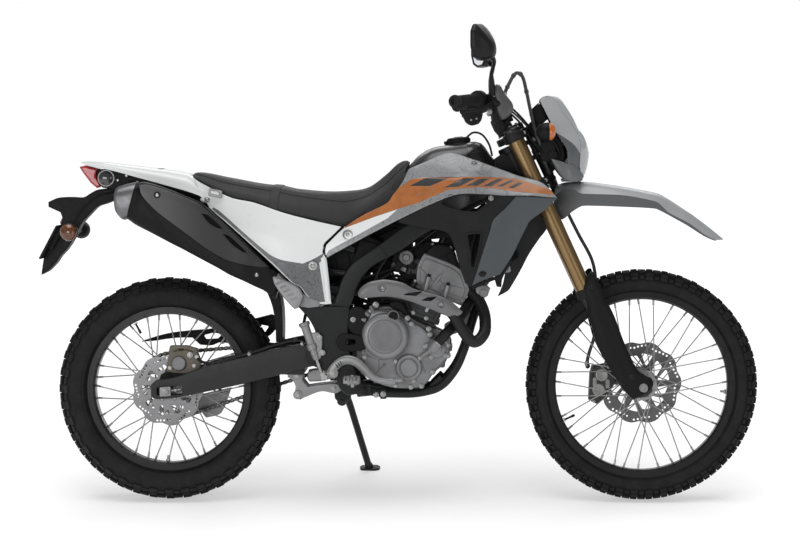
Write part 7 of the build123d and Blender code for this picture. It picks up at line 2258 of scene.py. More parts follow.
# wiring block, sensor bodies, starter relay
k.side(fillet([(676, 612), (704, 622), (726, 608), (742, 574), (734, 566), (716, 584), (690, 594)], 6, 4), -70, -106, 2, 5)
k.side(fillet([(640, 660), (668, 674), (680, 650), (654, 638)], 5, 3), -60, -92, 2, 3)
k.cyl((640, -88, 606), (640, -112, 606), 10, 20, 1)
k.bolt((640, -111, 606), (0, -1, 0), 6, 4, 1, "hex")
k.side(fillet([(690, 716), (706, 740), (724, 728), (708, 702)], 4, 3), -50, -66, 2, 2)
k.side(fillet([(742, 640), (756, 662), (776, 650), (764, 630)], 4, 3), -56, -84, 2, 3)
piece("engine_hoses_and_wiring", k, [HOSE_M, BOLT, PLASTIC], "root", angle=45)

# inner mud flaps and heat guards that close the view through the frame, with the small hoses on them
k = Kit()
FLAP_REAR = fillet([(492, 756), (579, 804), (700, 874), (760, 886), (800, 850), (687, 762), (615, 706), (563, 614), (494, 606)], 8, 4)
FLAP_MID = fillet([(620, 726), (687, 773), (769, 834), (841, 839), (879, 806), (884, 773), (872, 756), (850, 740), (806, 728), (790, 700), (774, 676), (756, 650), (700, 656), (646, 660), (584, 646), (589, 696)], 5, 3)
GAPS = [[(683, 696), (697, 710), (713, 698), (707, 681), (698, 682)], [(806, 801), (856, 806), (855, 797), (826, 793), (811, 794)], [(751, 790), (757, 793), (756, 774), (751, 776)],
        [(708, 778), (717, 784), (720, 777), (711, 772)], [(620, 695), (625, 702), (627, 690), (622, 688)]]
k.side(FLAP_REAR, -16, 16, 2, 4)
k.side(FLAP_MID, -13, 13, 2, 2.5, [fillet(g, 2, 2) for g in GAPS])
k.side(fillet([(563, 634), (615, 640), (687, 640), (738, 619), (753, 583), (707, 578), (666, 593), (640, 593), (615, 578), (589, 562), (569, 593)], 5, 3), -15, 15, 2, 2.5, (fillet([(598, 619), (608, 622), (612, 612), (607, 602), (598, 600)], 2, 2),))
for i, (x0, z0, x1, z1, r) in enumerate(((505, 716, 700, 834, 5.5), (506, 690, 640, 770, 4.0), (510, 664, 604, 716, 6.0), (518, 640, 585, 668, 4.5), (624, 716, 745, 812, 4.2), (602, 690, 684, 736, 5.2), (640, 690, 742, 764, 3.4),
                                         (716, 700, 742, 742, 5.0), (770, 806, 846, 826, 6.0), (782, 792, 872, 786, 3.6), (700, 690, 744, 676, 4.0), (590, 662, 690, 668, 3.6), (576, 620, 700, 600, 5.0), (620, 600, 740, 622, 3.8))):
    for s in (1, -1):
        y = s * (18 + 3 * (i % 4))
        mx, mz = (x0 + x1) / 2 + 6 * math.sin(i * 1.9), (z0 + z1) / 2 + 9 * math.cos(i * 2.3)
        a, b = Vector((x0, y, z0)), Vector((x1, y - s * 4, z1))
        k.tube(catmull([Vector((x0 - 4, s * 8, z0 - 2)), a, Vector((mx, y + s * 5, mz)), b, Vector((x1 + 4, s * 8, z1 + 2))], 8), r, 10, 0)
for x, z in ((520, 726), (600, 770), (566, 640), (652, 740), (790, 822), (864, 800), (600, 650), (735, 606)):
    for s in (1, -1):
        k.bolt((x, s * 15, z), (0, s, 0), 5, 3.5, 2, "button", washer=8)
# stay behind the shroud's window, water joint below it
k.side(fillet([(912, 838), (974, 838), (958, 768), (938, 716), (918, 716), (908, 776)], 6, 3), -62, -50, 2, 2.5)
k.tube(catmull([(926, -64, 724), (930, -66, 780), (944, -66, 832)], 8), 4.5, 10, 0)
k.tube(catmull([(940, -64, 732), (952, -66, 784), (962, -66, 834)], 8), 3.4, 10, 0)
k.side(smooth2([(942, 654), (951, 661), (976, 664), (988, 654), (979, 630), (961, 621), (945, 630)], 5, 40), -74, -50, 3, 5)
k.lathe((966, -62, 640), (0.1, -1, 0), [(0, 0), (0, 13), (13, 13), (15, 11), (15, 0)], 28, 3)
# liner between side panel and silencer
k.side(fillet([(118, 915), (158, 898), (256, 803), (356, 706), (340, 676), (307, 700), (246, 750), (155, 828), (118, 872)], 6, 3), -95, -90, 2, 1.5)
for x, z in ((150, 870), (246, 776), (330, 700)):
    k.cyl((x, -70, z), (x, -92, z), 7, 16, 2)
# wing of the left shroud, ahead of the radiator
WING = smooth2([(1168, 884), (1165, 830), (1143, 799), (1109, 748), (1083, 698), (1054, 648), (1044, 634), (1011, 616), (1027, 654), (1033, 682), (1042, 723), (1065, 767), (1102, 849), (1132, 893)], 7, 38)
# the wing takes the lighter black, painted light
k.sheet(WING, lambda x, z: 147.0 + 3 * ease(1180, 1040, x), 5, 4, 12, 1.8)
# filler between seat and shroud
for s in (1, -1):
    k.side(fillet([(599, 873), (612, 901), (647, 929), (693, 954), (712, 944), (700, 905), (663, 886), (622, 868)], 8, 4), s * 98, s * 110, 6, 3)
    k.side(fillet([(612, 878), (655, 898), (686, 919), (706, 953), (714, 946), (702, 905), (663, 884), (622, 868)], 5, 4), s * 100, s * 113, 5, 2)
k.side(fillet([(1028, 742), (1070, 760), (1078, 740), (1036, 716)], 5, 3), 118, 149, 2, 2)
k.side(fillet([(1064, 846), (1110, 860), (1104, 838), (1066, 824)], 5, 3), 118, 149, 2, 2)
piece("inner_guards_and_hoses", k, [HOSE_M, BOLT, PLASTIC, CAST, WING_PAINTED_LIGHT, GREY, VINYL], "root", angle=40)

# ---------------------------------------------------------------- airbox and throttle body
k = Kit()
AIR = smooth2([(350, 694), (400, 688), (470, 690), (560, 702), (636, 716), (652, 756), (658, 798), (600, 822), (500, 838), (420, 850), (352, 822), (346, 760)], 12, 46)
k.side(AIR, 74, -74, 0, 8)
for x in (400, 440, 480, 520, 560):
    for s in (1, -1):
        k.tube([(x, s * 74, 712 + (x - 400) * 0.06), (x - 6, s * 74.5, 800)], 2.2, 8, 0)
k.side(fillet([(560, 716), (640, 724), (648, 790), (590, 806)], 10, 4), -70, -84, 0, 5)
k.side(fillet([(560, 716), (640, 724), (648, 790), (590, 806)], 10, 4), 84, 70, 0, 5)
k.lathe((655, 0, 738), (0.983, 0, -0.185), [(-8, 0), (-8, 36), (6, 34), (10, 29), (22, 31), (26, 29), (30, 29), (30, 0)], 40, 0)
k.lathe((686, 0, 732), (0.983, 0, -0.185), [(0, 0), (0, 29), (3, 31), (9, 31), (10, 29), (52, 29), (54, 31), (60, 31), (62, 27), (84, 27), (84, 0)], 40, 1)
# round throttle drum seen from the side, its bracket and screws
k.lathe((731, -28, 747), (0, -1, 0), [(0, 0), (0, 22), (20, 22), (22, 20), (24, 20), (24, 17.5), (21, 16.5), (21, 12), (26, 11), (27.5, 9), (27.5, 0)], 36, 1)
for a in (20, 140, 260):
    k.bolt((731 + 15 * math.cos(math.radians(a)), -50, 747 + 15 * math.sin(math.radians(a))), (0, -1, 0), 2.6, 2.4, 2, "button")
k.box((712, -38, 716), (cu, LEFT, cw), (20, 12, 7), 1, 2.5)
k.box((748, -30, 722), (cu, LEFT, cw), (12, 16, 10), 0, 2.5)
k.side(fillet([(686, 738), (696, 764), (722, 772), (716, 744), (702, 726)], 5, 3), -36, -46, 0, 2)
piece("airbox_and_throttle", k, [PLASTIC, CAST, BOLT], "root", "airbox", angle=34)

# ---------------------------------------------------------------- exhaust
HEADER = [(894, -34, 662), (944, -58, 634), (972, -84, 578), (972, -126, 520), (938, -144, 488), (902, -146, 532),
          (868, -146, 596), (800, -144, 622), (700, -132, 640), (608, -92, 650), (520, -84, 648), (430, -100, 652),
          (360, -132, 676), (318, -150, 706)]
k = Kit()
line = rounded(HEADER, 0.48, 10)
k.tube(line, 18.0, 28, 0)
k.lathe((893, -34, 662), (0.87, -0.42, -0.26), [(3, 0), (3, 30), (10, 30), (11, 28), (11, 18), (3, 17)], 32, 1)
for a in (50, 230):
    u, v = Vector((0.26, 0, 0.87)).normalized(), Vector((0.42, 0.87, 0)).normalized()
    q = Vector((901, -38, 660)) + u * 27 * math.sin(math.radians(a)) + v * 27 * math.cos(math.radians(a))
    k.cyl(q - Vector((6, -3, -2)), q + Vector((12, -5, -3)), 4, 12, 2)
    k.lathe(q, (0.87, -0.42, -0.26), [(0, 0), (0, 7), (7, 7), (7, 0)], 6, 2)
# clamp before the silencer
q0, q1 = Vector((356, -134, 678)), Vector((330, -145, 697))
w = (q1 - q0).normalized()
k.lathe(q0, w, [(-4, 18), (-4, 22), (0, 23.5), (24, 23.5), (28, 22), (28, 18)], 32, 2)
k.box(q0 + w * 12 + Vector((0, -6, -24)), (w, LEFT, w.cross(LEFT)), (10, 7, 5), 2, 2)
k.bolt(q0 + w * 12 + Vector((0, -13, -24)), (0, -1, 0), 5, 5, 2, "hex")
k.cyl((668, -140, 648), (664, -166, 658), 7, 16, 2)
k.cyl((836, -148, 612), (838, -164, 612), 7, 16, 2)
# oxygen sensor
k.cyl((800, -136, 606), (792, -126, 590), 9, 6, 2)
piece("exhaust_pipe", k, [HEADER_M, CASTBLK, BOLT], "root", "exhaust_header", angle=40)

SH = smooth2([(590, 634), (588, 645), (598, 662), (622, 678), (650, 684), (674, 686), (725, 676), (756, 659), (807, 645), (848, 632), (873, 617), (904, 589), (898, 580), (886, 574),
              (858, 575), (822, 590), (781, 606), (735, 623), (700, 631), (674, 634), (623, 631), (600, 629)], 7, 50)


def shield_y(x, z):
    d = edge_distance(SH, np.array((x, z)))
    return -160.5 - 7.0 * (1 - (1 - min(d / 16.0, 1.0)) ** 2)


def cup(x, z, r):
    return [(x + r * math.cos(2 * math.pi * i / 24), z + r * math.sin(2 * math.pi * i / 24)) for i in range(24)]


k = Kit()
S1 = fillet([(724, 640), (741, 646), (786, 650), (764, 637)], 2, 3)
S2 = fillet([(778, 623), (798, 632), (829, 635), (808, 621)], 2, 3)
k.sheet(SH, shield_y, 3, 0, 6, 1.6, (S1, S2, cup(662, 661, 11), cup(840, 611, 10)))
for x, z, r in ((662, 661, 11), (840, 611, 10)):
    y = shield_y(x, z)
    k.lathe((x, y, z), (0, -1, 0), [(-0.5, r), (0.2, r + 0.4), (-2.6, r - 0.8), (-3.4, r - 2.5), (-3.4, 0)], 28, 0)
    k.bolt((x, y + 3.0, z), (0, -1, 0), 6.0, 4.5, 1, "button")
piece("header_shield", k, [SHIELD_M, BOLT], "root", "heat_shield", angle=40)

# silencer: long body lofted between its upper and lower edges
TB = [((-75, 979), (-106, 869)), ((-58, 981), (-96, 861)), ((-40, 978), (-84, 852)), ((-18, 972), (-62, 840)), ((4, 964), (-40, 829)), ((32, 954), (-6, 811)), ((60, 942), (30, 792)), ((88, 931), (56, 779)),
      ((114, 918), (80, 766)), ((142, 897), (110, 750)), ((167, 872), (140, 734)), ((194, 848), (168, 719)), ((220, 824), (195, 703)), ((246, 800), (220, 691)), ((272, 775), (245, 680)),
      ((299, 748), (275, 665)), ((325, 722), (303, 652)), ((341, 692), (322, 638)), ((352, 664), (338, 626))]


def can_ring(T, B, y0=-100.0, y1=-204.0, shrink=1.0, n=36):
    T, B = Vector((T[0], 0, T[1])), Vector((B[0], 0, B[1]))
    mid, half = (T + B) / 2, (T - B) / 2 * shrink
    cy, hy = (y0 + y1) / 2, abs(y1 - y0) / 2 * shrink
    ring = []
    for i in range(n):
        t = 2 * math.pi * i / n
        c, s = math.cos(t), math.sin(t)
        # flattened oval, outer side fuller above the crease
        a = math.copysign(abs(s) ** 0.72, s)
        b = math.copysign(abs(c) ** 0.72, c)
        # flattened oval
        ring.append(mid + half * a + LEFT * (cy - 0 + hy * b * (-1)))
    return ring


rings = []
for i, (T, B) in enumerate(TB):
    g = 1 - 0.30 * ease(14, 18, i)
    rings.append(can_ring(T, B, -100 - 8 * ease(13, 18, i), -204 + 9 * ease(0, 1.5, i) + 29 * ease(12, 18, i), 1.0))
rings = refine(rings, 1)
k = Kit()
first = [rings[0][0] * 0 + p for p in rings[0]]
cen = sum(rings[0], Vector()) / len(rings[0])
k.loft([[cen + (p - cen) * 0.93 for p in rings[0]]] + rings + [[(sum(rings[-1], Vector()) / len(rings[-1])) + (p - (sum(rings[-1], Vector()) / len(rings[-1]))) * 0.8 for p in rings[-1]]], 0, True, (True, True))
piece("silencer_body", k, [PIPE], "root", "silencer", angle=45)

# outer guard over the silencer with its crease, slots and bolts
crease = table([(-72, 972), (-67, 961), (-58, 941), (-33, 911), (6, 876), (41, 850), (81, 820), (131, 783), (171, 758), (205, 742), (270, 727), (330, 721)])
GUARD_S = smooth2([(-64, 972), (-44, 973), (4, 960), (60, 938), (114, 914), (167, 868), (220, 820), (272, 771), (318, 728), (338, 700), (346, 668), (336, 640), (322, 644), (303, 658), (245, 687), (195, 712), (150, 740),
                   (110, 764), (60, 800), (20, 832), (-14, 866), (-40, 906), (-60, 946)], 10, 44)


def can_y(x, z):
    d = edge_distance(GUARD_S, np.array((x, z)))
    up = z - crease(min(max(x, -72), 330))
    high = 3.2 * ease(0, 2.8, up) * (1 - ease(255, 325, x))
    return -203.5 - 3.6 * ease(0, 10, d) - high + 0.105 * max(up, 0) * (1 - ease(200, 330, x)) + 30 * ease(230, 380, x) ** 1.4


SA = smooth2([(122, 886), (140, 882), (164, 862), (186, 840), (172, 842), (144, 858)], 5, 40)
SB = smooth2([(186, 825), (203, 820), (236, 792), (259, 768), (246, 771), (212, 795)], 5, 40)
k = Kit()
cl = [(x, crease(x)) for x in range(-70, 322, 8)]
cu = [(x, z + 2.8) for x, z in cl]
# the region above the crease carries the upper panel's painted highlight
UPPER = cu + [(345, 724), (372, 720), (330, 820), (200, 930), (60, 1000), (-90, 1020), (-90, 975)]
k.sheet(GUARD_S, can_y, 4, 0, 12, 2.0, (SA, SB), ((UPPER, 2),), (cl,))
for x, z in ((-11, 942), (286, 702)):
    k.lathe((x, can_y(x, z) + 0.2, z), (0, -1, 0), [(0, 0), (0, 10.5), (1.4, 10), (1.8, 8.4), (1.4, 7.0), (0.6, 0)], 28, 3)
    k.bolt((x, can_y(x, z) - 0.2, z), (0, -1, 0), 5.6, 3.4, 1, "button")
piece("silencer_guard", k, [PIPE, BOLT, GUARD_HIGHLIGHT, BOLT_B], "root", angle=30)
k = Kit()
# bracket to the subframe and rubber mount
k.side(fillet([(96, 924), (132, 942), (140, 926), (112, 900)], 5, 3), -104, -98, 0, 2)
k.cyl((118, -92, 926), (118, -112, 926), 10, 20, 0)
k.bolt((118, -112, 926), (0, -1, 0), 6, 5, 1, "hex", washer=9)
k.cyl((300, -96, 735), (300, -110, 735), 9, 20, 0)
piece("silencer_stays", k, [FRAME, BOLT], "root")

# end cap with the outlet
rings = []
EC = [((-76, 981), (-107, 868), 1.0), ((-90, 979), (-114, 866), 1.0), ((-106, 975.5), (-119, 866.5), 0.995), ((-120, 971.5), (-124, 869), 0.985), ((-130, 968.5), (-131, 876), 0.965), ((-137, 965), (-137, 884), 0.94), ((-141, 960), (-141, 892), 0.90), ((-142.5, 954), (-142.5, 900), 0.84)]
for T, B, s in EC:
    rings.append(can_ring(T, B, -100 - 52 * (1 - s), -204 + 52 * (1 - s), 1.0))
k = Kit()
k.loft(rings, 0, True, (True, True))
c, w = Vector((-141.5, -152, 928)), Vector((-1, 0, 0.03)).normalized()
k.lathe(c, w, [(-4, 23), (0, 23), (2, 21), (3.2, 19.5), (3.4, 18.4), (2.4, 17.4), (-26, 17), (-26, 0)], 36, 0)
for a in range(0, 360, 60):
    u, v = LEFT, Vector((0, 0, 1))
    q = c + u * 34 * math.cos(math.radians(a)) + v * 22 * math.sin(math.radians(a))
    k.bolt(q - w * 1.0, w, 3.4, 2.2, 2, "button")
piece("silencer_outlet_cap", k, [CAP_M, CAP_M, SATIN], "root", "silencer_end_cap", angle=40)

# ---------------------------------------------------------------- radiator
k = Kit()
ru, rv = Vector((0.19, 0, -0.98)).normalized(), Vector((0.98, 0, 0.19)).normalized()
rc = Vector((1012, 101, 800))
k.box(rc, (ru, LEFT, rv), (88, 54, 17), 1, 2)
for i in range(44):
    q = rc + ru * (-86 + 4 * i)
    k.box(q, (ru, LEFT, rv), (0.5, 53, 18.6), 1, 0.2)
for i in range(13):
    q = rc + LEFT * (-50 + 8.4 * i)
    k.box(q, (ru, LEFT, rv), (86, 1.3, 18.0), 0, 0.4)
for s in (-1, 1):
    k.box(rc + ru * (s * 96), (ru, LEFT, rv), (11, 58, 20), 0, 5)
k.box(rc - ru * 96 + LEFT * 34 - rv * 2, (ru, LEFT, rv), (16, 15, 15), 0, 4)
k.cyl(rc - ru * 108 + LEFT * 34, rc - ru * 120 + LEFT * 34, 17, 28, 2)
k.cyl(rc + ru * 92 - LEFT * 8 - rv * 4, rc + ru * 92 - LEFT * 8 - rv * 40, 13, 24, 0)
# guard louvres in front, fan ring behind
for i in range(9):
    q = rc + rv * 24 + ru * (-76 + 19 * i)
    k.box(q, (ru + rv * 0.5, LEFT, rv - ru * 0.5), (6, 54, 1.0), 3, 0.5)
for s in (-1, 1):
    k.box(rc + rv * 23 + LEFT * (s * 55), (ru, LEFT, rv), (88, 2.5, 5), 3, 1)
k.lathe(rc - rv * 20, -rv, [(0, 46), (0, 50), (16, 50), (18, 47), (18, 44), (2, 44)], 44, 3)
for i in range(6):
    a = math.radians(60 * i)
    d = ru * math.cos(a) + LEFT * math.sin(a)
    e = ru * -math.sin(a) + LEFT * math.cos(a)
    k.box(rc - rv * 28 + d * 26, (d, (e + rv * 0.5).normalized(), (rv - e * 0.5).normalized()), (17, 8, 0.9), 3, 0.4)
k.cyl(rc - rv * 22, rc - rv * 36, 12, 24, 3)
piece("radiator_left", k, [SATIN, RADCORE, BOLT, PLASTIC], "root", "radiator", angle=34)


# ---------------------------------------------------------------- chain and its guards
DRIVE = (530.0, 453.0)
CH_R, DR_R = 103.0, 36.0


def belt_path():
    d = math.hypot(DRIVE[0] - RX, DRIVE[1] - RZ)
    base = math.atan2(DRIVE[1] - RZ, DRIVE[0] - RX)
    spread = math.acos((CH_R - DR_R) / d)
    up, lo = base + spread, base - spread
    pts = []
    p = lambda c, r, a: Vector((c[0] + r * math.cos(a), 0, c[1] + r * math.sin(a)))
    pts.append(p((RX, RZ), CH_R, up))
    pts.append(p(DRIVE, DR_R, up))
    for i in range(1, 24):
        pts.append(p(DRIVE, DR_R, up + (lo - up) * i / 24))
    pts.append(p(DRIVE, DR_R, lo))
    pts.append(p((RX, RZ), CH_R, lo))
    for i in range(1, 80):
        pts.append(p((RX, RZ), CH_R, lo - (2 * math.pi - (up - lo)) * i / 80))
    return pts + [pts[0]]


def chain():
    path = belt_path()
    d = np.cumsum([0] + [(b - a).length for a, b in zip(path, path[1:])])
    count = int(round(d[-1] / 15.875 / 2)) * 2
    pitch = d[-1] / count

    def at(t):
        t %= d[-1]
        j = min(max(int(np.searchsorted(d, t, side="right")) - 1, 0), len(path) - 2)
        return path[j].lerp(path[j + 1], (t - d[j]) / max(d[j + 1] - d[j], 1e-9))
    k = Kit()
    for i in range(count):
        a, b = at(i * pitch), at((i + 1) * pitch)
        w = (b - a).normalized()
        n = Vector((-w.z, 0, w.x))
        c = (a + b) / 2
        h = (b - a).length / 2
        out = []
        for s in (1, -1):
            for j in range(7):
                t = math.pi * (-0.5 + j / 6)
                out.append((s * (h + 6.4 * math.cos(t)), s * 6.4 * math.sin(t)))
            out.append((0, s * 4.6))
        place = lambda u, v, q: c + w * u + n * v + LEFT * q
        lo, hi = (67.6, 69.2) if i % 2 else (69.4, 71.0)
        k.prism(out, place, lo, hi, 0, 0.3)
        k.prism(out, place, 148 - hi, 148 - lo, 0, 0.3)
        k.cyl(a + LEFT * 67.2, a + LEFT * 80.8, 2.6, 8, 1, edge=0)
        k.cyl(a + LEFT * 71.2, a + LEFT * 76.8, 4.6, 10, 1, edge=0)
    return k


piece("drive_chain", chain(), [CHAIN_M, SPROCK], "root", "chain", angle=35, weight=False)

k = Kit()
# blade over the upper run, with lightening windows, and its inner lip
BLADE = smooth2([(-98, 480), (-90, 485), (-17, 506), (60, 516), (119, 521), (210, 541), (309, 566), (320, 560), (326, 524), (300, 498), (262, 486), (236, 500), (212, 486), (186, 470), (150, 478),
                 (120, 468), (84, 470), (60, 492), (20, 492), (-20, 488), (-60, 482)], 9, 34)
W1 = fillet([(96, 500), (128, 508), (152, 502), (140, 490), (104, 488)], 4, 3)
W2 = fillet([(172, 506), (204, 516), (226, 512), (206, 496), (184, 490)], 4, 3)
W3 = fillet([(246, 520), (276, 532), (300, 528), (286, 508), (258, 500)], 4, 3)
k.side(BLADE, 88, 84, 0, 1.2, (W1, W2, W3))
lip = [(-94, 482), (-17, 505), (60, 515), (119, 520), (210, 540), (309, 565)]
rows_o, rows_i = [], []
for p in catmull([Vector((x, 0, z)) for x, z in lip], 14):
    rows_o.append([Vector((p.x, y, p.z + 1.5 - 0.015 * (y - 76) ** 2 * 0.3)) for y in (62, 68, 74, 80, 86, 88)])
    rows_i.append([q + Vector((0, 0, -2.4)) for q in rows_o[-1]])
k.grid(rows_o, rows_i, 0)
for x, z in ((154, 480), (284, 500)):
    k.bolt((x, 88, z), (0, 1, 0), 5, 4, 1, "hex", washer=8)
# front rub strip over the swingarm nose
k.side(smooth2([(330, 484), (420, 502), (500, 506), (512, 486), (500, 478), (420, 478), (332, 470)], 10, 45), 86, 60, 0, 4)
piece("chain_guard_blade", k, [PLASTIC, BOLT], "root", "chain_guard", angle=34)
# silver shark fin under the lower run
k = Kit()
FIN = smooth2([(27, 296), (95, 317), (182, 337), (166, 292), (158, 272), (143, 252), (100, 241), (82, 264), (56, 286)], 8, 40)
k.side(FIN, 92, 88.5, 0, 1.2)
k.bolt((146, 92, 316), (0, 1, 0), 5, 4, 1, "hex", washer=8)
k.bolt((60, 92, 300), (0, 1, 0), 5, 4, 1, "hex", washer=8)
k.cyl((146, 91, 318), (146, 80, 330), 6, 14, 0)
piece("chain_fin", k, [SATIN, BOLT], "root", angle=34)

# ---------------------------------------------------------------- rear brake
k = Kit()
k.side(smooth2([(-2, 400), (2, 432), (10, 462), (36, 476), (62, 474), (96, 462), (106, 430), (100, 404), (84, 396), (40, 394)], 8, 45), -73.5, -84, 0, 4)
k.side(smooth2([(4, 410), (10, 458), (40, 474), (90, 464), (100, 430), (88, 402)], 8, 45), -50, -61.5, 0, 3)
k.side(fillet([(4, 456), (10, 480), (60, 480), (94, 470), (96, 454), (60, 462)], 4, 3), -50, -84, 0, 3)
k.lathe((37, -83, 426), (0, -1, 0), [(-2, 0), (-2, 24), (4, 23.5), (8, 22), (9.5, 20), (9.5, 0)], 40, 1)
k.lathe((37, -92.3, 426), (0, -1, 0), [(0, 19), (0.8, 18.4), (0.8, 0)], 36, 1)
for x, z in ((10, 412), (84, 418), (92, 446)):
    k.lathe((x, -83, z), (0, -1, 0), [(-2, 0), (-2, 9), (3, 8.4), (3, 0)], 20, 0)
    k.bolt((x, -86, z), (0, -1, 0), 5, 4, 2, "hex")
k.bolt((72, -86, 452), (0, -1, 0), 6, 5, 2, "hex", washer=9)
# carrier bracket round the axle
k.side(smooth2([(-18, 392), (8, 404), (60, 400), (112, 404), (116, 394), (60, 382), (26, 372), (18, 352), (0, 340), (-18, 352), (-24, 374)], 8, 45), -74.5, -81, 3, 2)
k.tube(catmull([(2, -78, 408), (12, -80, 384), (26, -80, 374)], 6), 4, 10, 3)
# pads
for y0, y1 in ((-62.0, -64.6), (-70.6, -73.2)):
    k.side([(14, 410), (84, 410), (88, 440), (72, 458), (20, 452)], y0, y1, 3, 0.4)
# master cylinder, its reservoir hose and push rod
a, b = Vector((426, -145, 548)), Vector((462, -145, 444))
w = (b - a).normalized()
k.lathe(a, w, [(-8, 0), (-8, 15), (-6, 17), (2, 17), (4, 14), (8, 13), (60, 13), (62, 16), (78, 16), (80, 12), (94, 12), (96, 10.5), (110, 10), (112, 0)], 32, 4)
k.side(fillet([(444, 524), (470, 526), (480, 500), (476, 448), (458, 436), (450, 470)], 7, 4), -136, -150, 4, 3)
k.bolt((472, -150, 510), (0, -1, 0), 5.5, 4, 2, "allen", washer=8)
k.bolt((480, -148, 464), (0, -1, 0), 6.5, 5, 2, "hex", washer=9)
k.bolt((420, -145, 492), (-0.9, 0, -0.3), 6.5, 6, 2, "hex", washer=9)
k.cyl(b, Vector((478, -144, 398)), 5.2, 16, 2)
k.lathe(b + w * 14, w, [(0, 0), (0, 8), (8, 8), (8, 0)], 6, 2)
k.box((483, -144, 392), (w, LEFT, w.cross(LEFT)), (12, 8, 8), 2, 2.5)
k.lathe((485, -150, 388), (0, -1, 0), [(-4, 0), (-4, 10), (3, 9.6), (3, 0)], 24, 2)
# fluid cup behind the frame, with its hose
k.lathe((438, -110, 600), (0.05, 0, 1), [(0, 0), (0, 17), (3, 19), (34, 19), (35, 21), (42, 21), (43, 19), (43, 0)], 32, 5)
k.tube(catmull([(438, -112, 602), (430, -122, 584), (426, -138, 566), (424, -145, 552)], 6), 5, 12, 3)
piece("rear_brake_set", k, [CALIPER, COVER_L, BOLT, PLASTIC, SATIN, PLASTIC_S], "root", "rear_brake", angle=34)

# ---------------------------------------------------------------- pedals, pegs
k = Kit()
line = catmull([(500, -146, 396), (516, -148, 420), (538, -150, 438), (564, -152, 442), (590, -154, 430), (616, -156, 404), (640, -159, 386), (672, -162, 378), (700, -163, 378)], 7)
n = len(line)
k.tube(line, [13.5 - 5.5 * ease(0.55, 0.8, i / n) for i in range(n)], 18, 0, True, flat=(1.0, 0.42), up=(0, 0, 1))
k.box((708, -164, 382), ((1, 0, 0.1), (0, 1, 0), (-0.1, 0, 1)), (14, 14, 5), 0, 2)
for i in range(6):
    k.box((694 + 5.4 * i, -164, 388 + 0.5 * i), ((1, 0, 0), (0, 1, 0), (0, 0, 1)), (1.2, 13, 2.2), 2, 0.4)
k.lathe((512, -136, 402), (0, -1, 0), [(-3, 0), (-3, 17), (14, 16), (16, 14), (16, 0)], 32, 0)
k.bolt((512, -152, 402), (0, -1, 0), 7, 5, 2, "hex", washer=10)
for i in range(3):
    k.box((524 + 6 * i, -156.2, 424 + 5 * i), ((0.6, 0, -0.8), (0, 1, 0), (0.8, 0, 0.6)), (7, 0.6, 1.3), 3, 0.3)
k.tube(catmull([(498, -142, 396), (486, -142, 384), (483, -144, 392)], 4), 6, 14, 0)
# gear lever on the left
line = catmull([(604, 120, 400), (626, 138, 400), (650, 150, 401), (690, 157, 405), (730, 160, 408), (742, 161, 408)], 7)
k.tube(line, 6.4, 16, 0, True, flat=(1.15, 0.85), up=(0, 0, 1))
k.lathe((604, 104, 400), (0, 1, 0), [(0, 0), (0, 13), (16, 13), (18, 11), (18, 0)], 28, 0)
prof = [(0, 0), (0, 9)]
for i in range(6):
    prof += [(3 + 6 * i, 9.6), (5 + 6 * i, 8.6), (7 + 6 * i, 9.6)]
k.lathe((742, 150, 408), (0, 1, 0), prof + [(40, 9), (41, 0)], 24, 1)
piece_k = k


def peg(k, s):
    """Rider peg: cast cleated plate on a clevis."""
    at = lambda pts: [(x, s * y) for x, y in (pts if s < 0 else list(reversed(pts)))]
    plate = at([(546, 238), (560, 242), (580, 240), (594, 234), (596, 182), (584, 174), (560, 174), (548, 182)])
    holes = [fillet(at([(558, y - 8), (584, y - 8), (584, y + 8), (558, y + 8)]), 3, 3) for y in (196, 218)]
    k.prism(fillet(plate, 5, 3), lambda u, v, w: (u, v, w), 378, 388, 0, 1.5, holes)
    cleats = [(x, y) for y in (180, 188, 207, 229, 236) for x in (550, 592)] + [(x, 238) for x in (562, 571, 580)]
    for x, y in cleats:
        k.lathe((x, s * y, 387), (0, 0, 1), [(0, 0), (0, 4.2), (9, 2.2), (9.6, 0)], 8, 0)
    k.side(fillet([(550, 394), (590, 394), (594, 370), (574, 362), (552, 366)], 6, 3), s * 134, s * 150, 4, 3)
    k.side(fillet([(556, 392), (586, 392), (586, 372), (556, 370)], 6, 3), s * 150, s * 178, 4, 3)
    k.cyl((571, s * 158, 360), (571, s * 158, 398), 6.5, 18, 2)


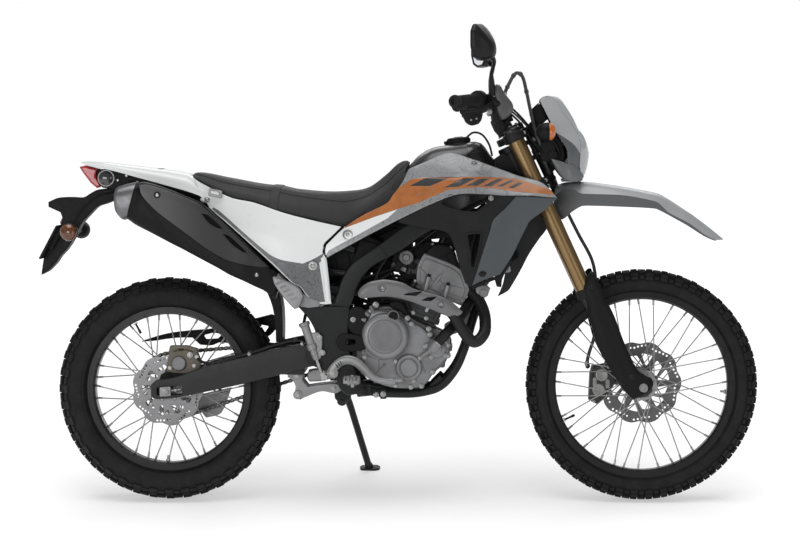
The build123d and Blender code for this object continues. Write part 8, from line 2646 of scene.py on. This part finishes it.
def passenger(k, s):
    o = smooth2([(330, 697), (349, 694), (412, 662), (425, 637), (412, 604), (399, 598), (388, 608), (365, 634), (338, 672)], 7, 46)
    k.side(o, s * 166, s * 186, 0, 5)
    for i in range(5):
        x, z = 352 + 11 * i, 682 - 12 * i
        k.side(fillet([(x - 10, z - 6), (x + 10, z + 2), (x + 13, z - 3), (x - 7, z - 11)], 2, 2), s * 185, s * 188, 4, 0.8)
    k.side(fillet([(394, 664), (424, 642), (446, 630), (472, 622), (474, 604), (440, 600), (414, 604), (394, 628)], 7, 3), s * 134, s * 166, 4, 4)
    k.bolt((404, s * 166, 640), (0, s, 0), 6, 5, 2, "hex", washer=9)
    k.side(fillet([(420, 644), (472, 624), (492, 640), (500, 616), (478, 602), (424, 610)], 6, 3), s * 122, s * 136, 4, 3)


k = piece_k
for s in (-1, 1):
    peg(k, s)
    passenger(k, s)
piece("pedals_and_pegs", k, [SATIN, GRIP, BOLT, PLASTIC, CAST], "root", "foot_controls_and_pegs", angle=34)

# ---------------------------------------------------------------- side stand
k = Kit()
lift = 50.0 * (1 - math.cos(math.radians(10)))
cl, sl = math.cos(math.radians(10)), math.sin(math.radians(10))


def unlean(x, y, z):
    z -= lift
    return Vector((x, y * cl - z * sl, y * sl + z * cl))


foot = [unlean(604, 312, 0), unlean(600, 304, 12)]
line = rounded([STAND_PIVOT, (546, 190, 272), tuple(foot[1])], 0.4, 8)
n = len(line)
k.tube(line, [12.0 - 1.5 * i / n for i in range(n)], 20, 0)
upn = Vector((0, -sl, cl))
fx, fy = Vector((1, 0, 0)), Vector((0, cl, sl))
fo = smooth2([(-32, -10), (-26, -20), (-6, -22), (18, -22), (30, -14), (32, 4), (24, 20), (4, 22), (-20, 20), (-31, 10)], 6, 46)
k.prism(fo, lambda u, v, w: foot[0] + fx * u + fy * v + upn * w, 0.3, 8.4, 0, 2.2)
for i in range(4):
    k.box(foot[0] + fx * (-15 + 10 * i) + upn * 8.4, (fx, fy, upn), (1.6, 15, 1.2), 0, 0.4)
k.cyl(foot[0] + upn * 7, foot[1] + upn * 4, 12, 20, 0)
o, w = Vector(STAND_PIVOT), Vector(STAND_AXIS).normalized()
k.lathe(o, w, [(-12, 0), (-12, 15), (-10, 16.5), (10, 16.5), (12, 15), (12, 0)], 32, 0)
k.bolt(o + w * 12, w, 9, 6, 1, "hex", washer=12)
k.cyl(o + Vector((18, 30, -44)), o + Vector((6, 42, -50)), 3.4, 10, 1)
piece("stand_leg", k, [FRAME, BOLT], "side_stand", "side_stand", angle=40)
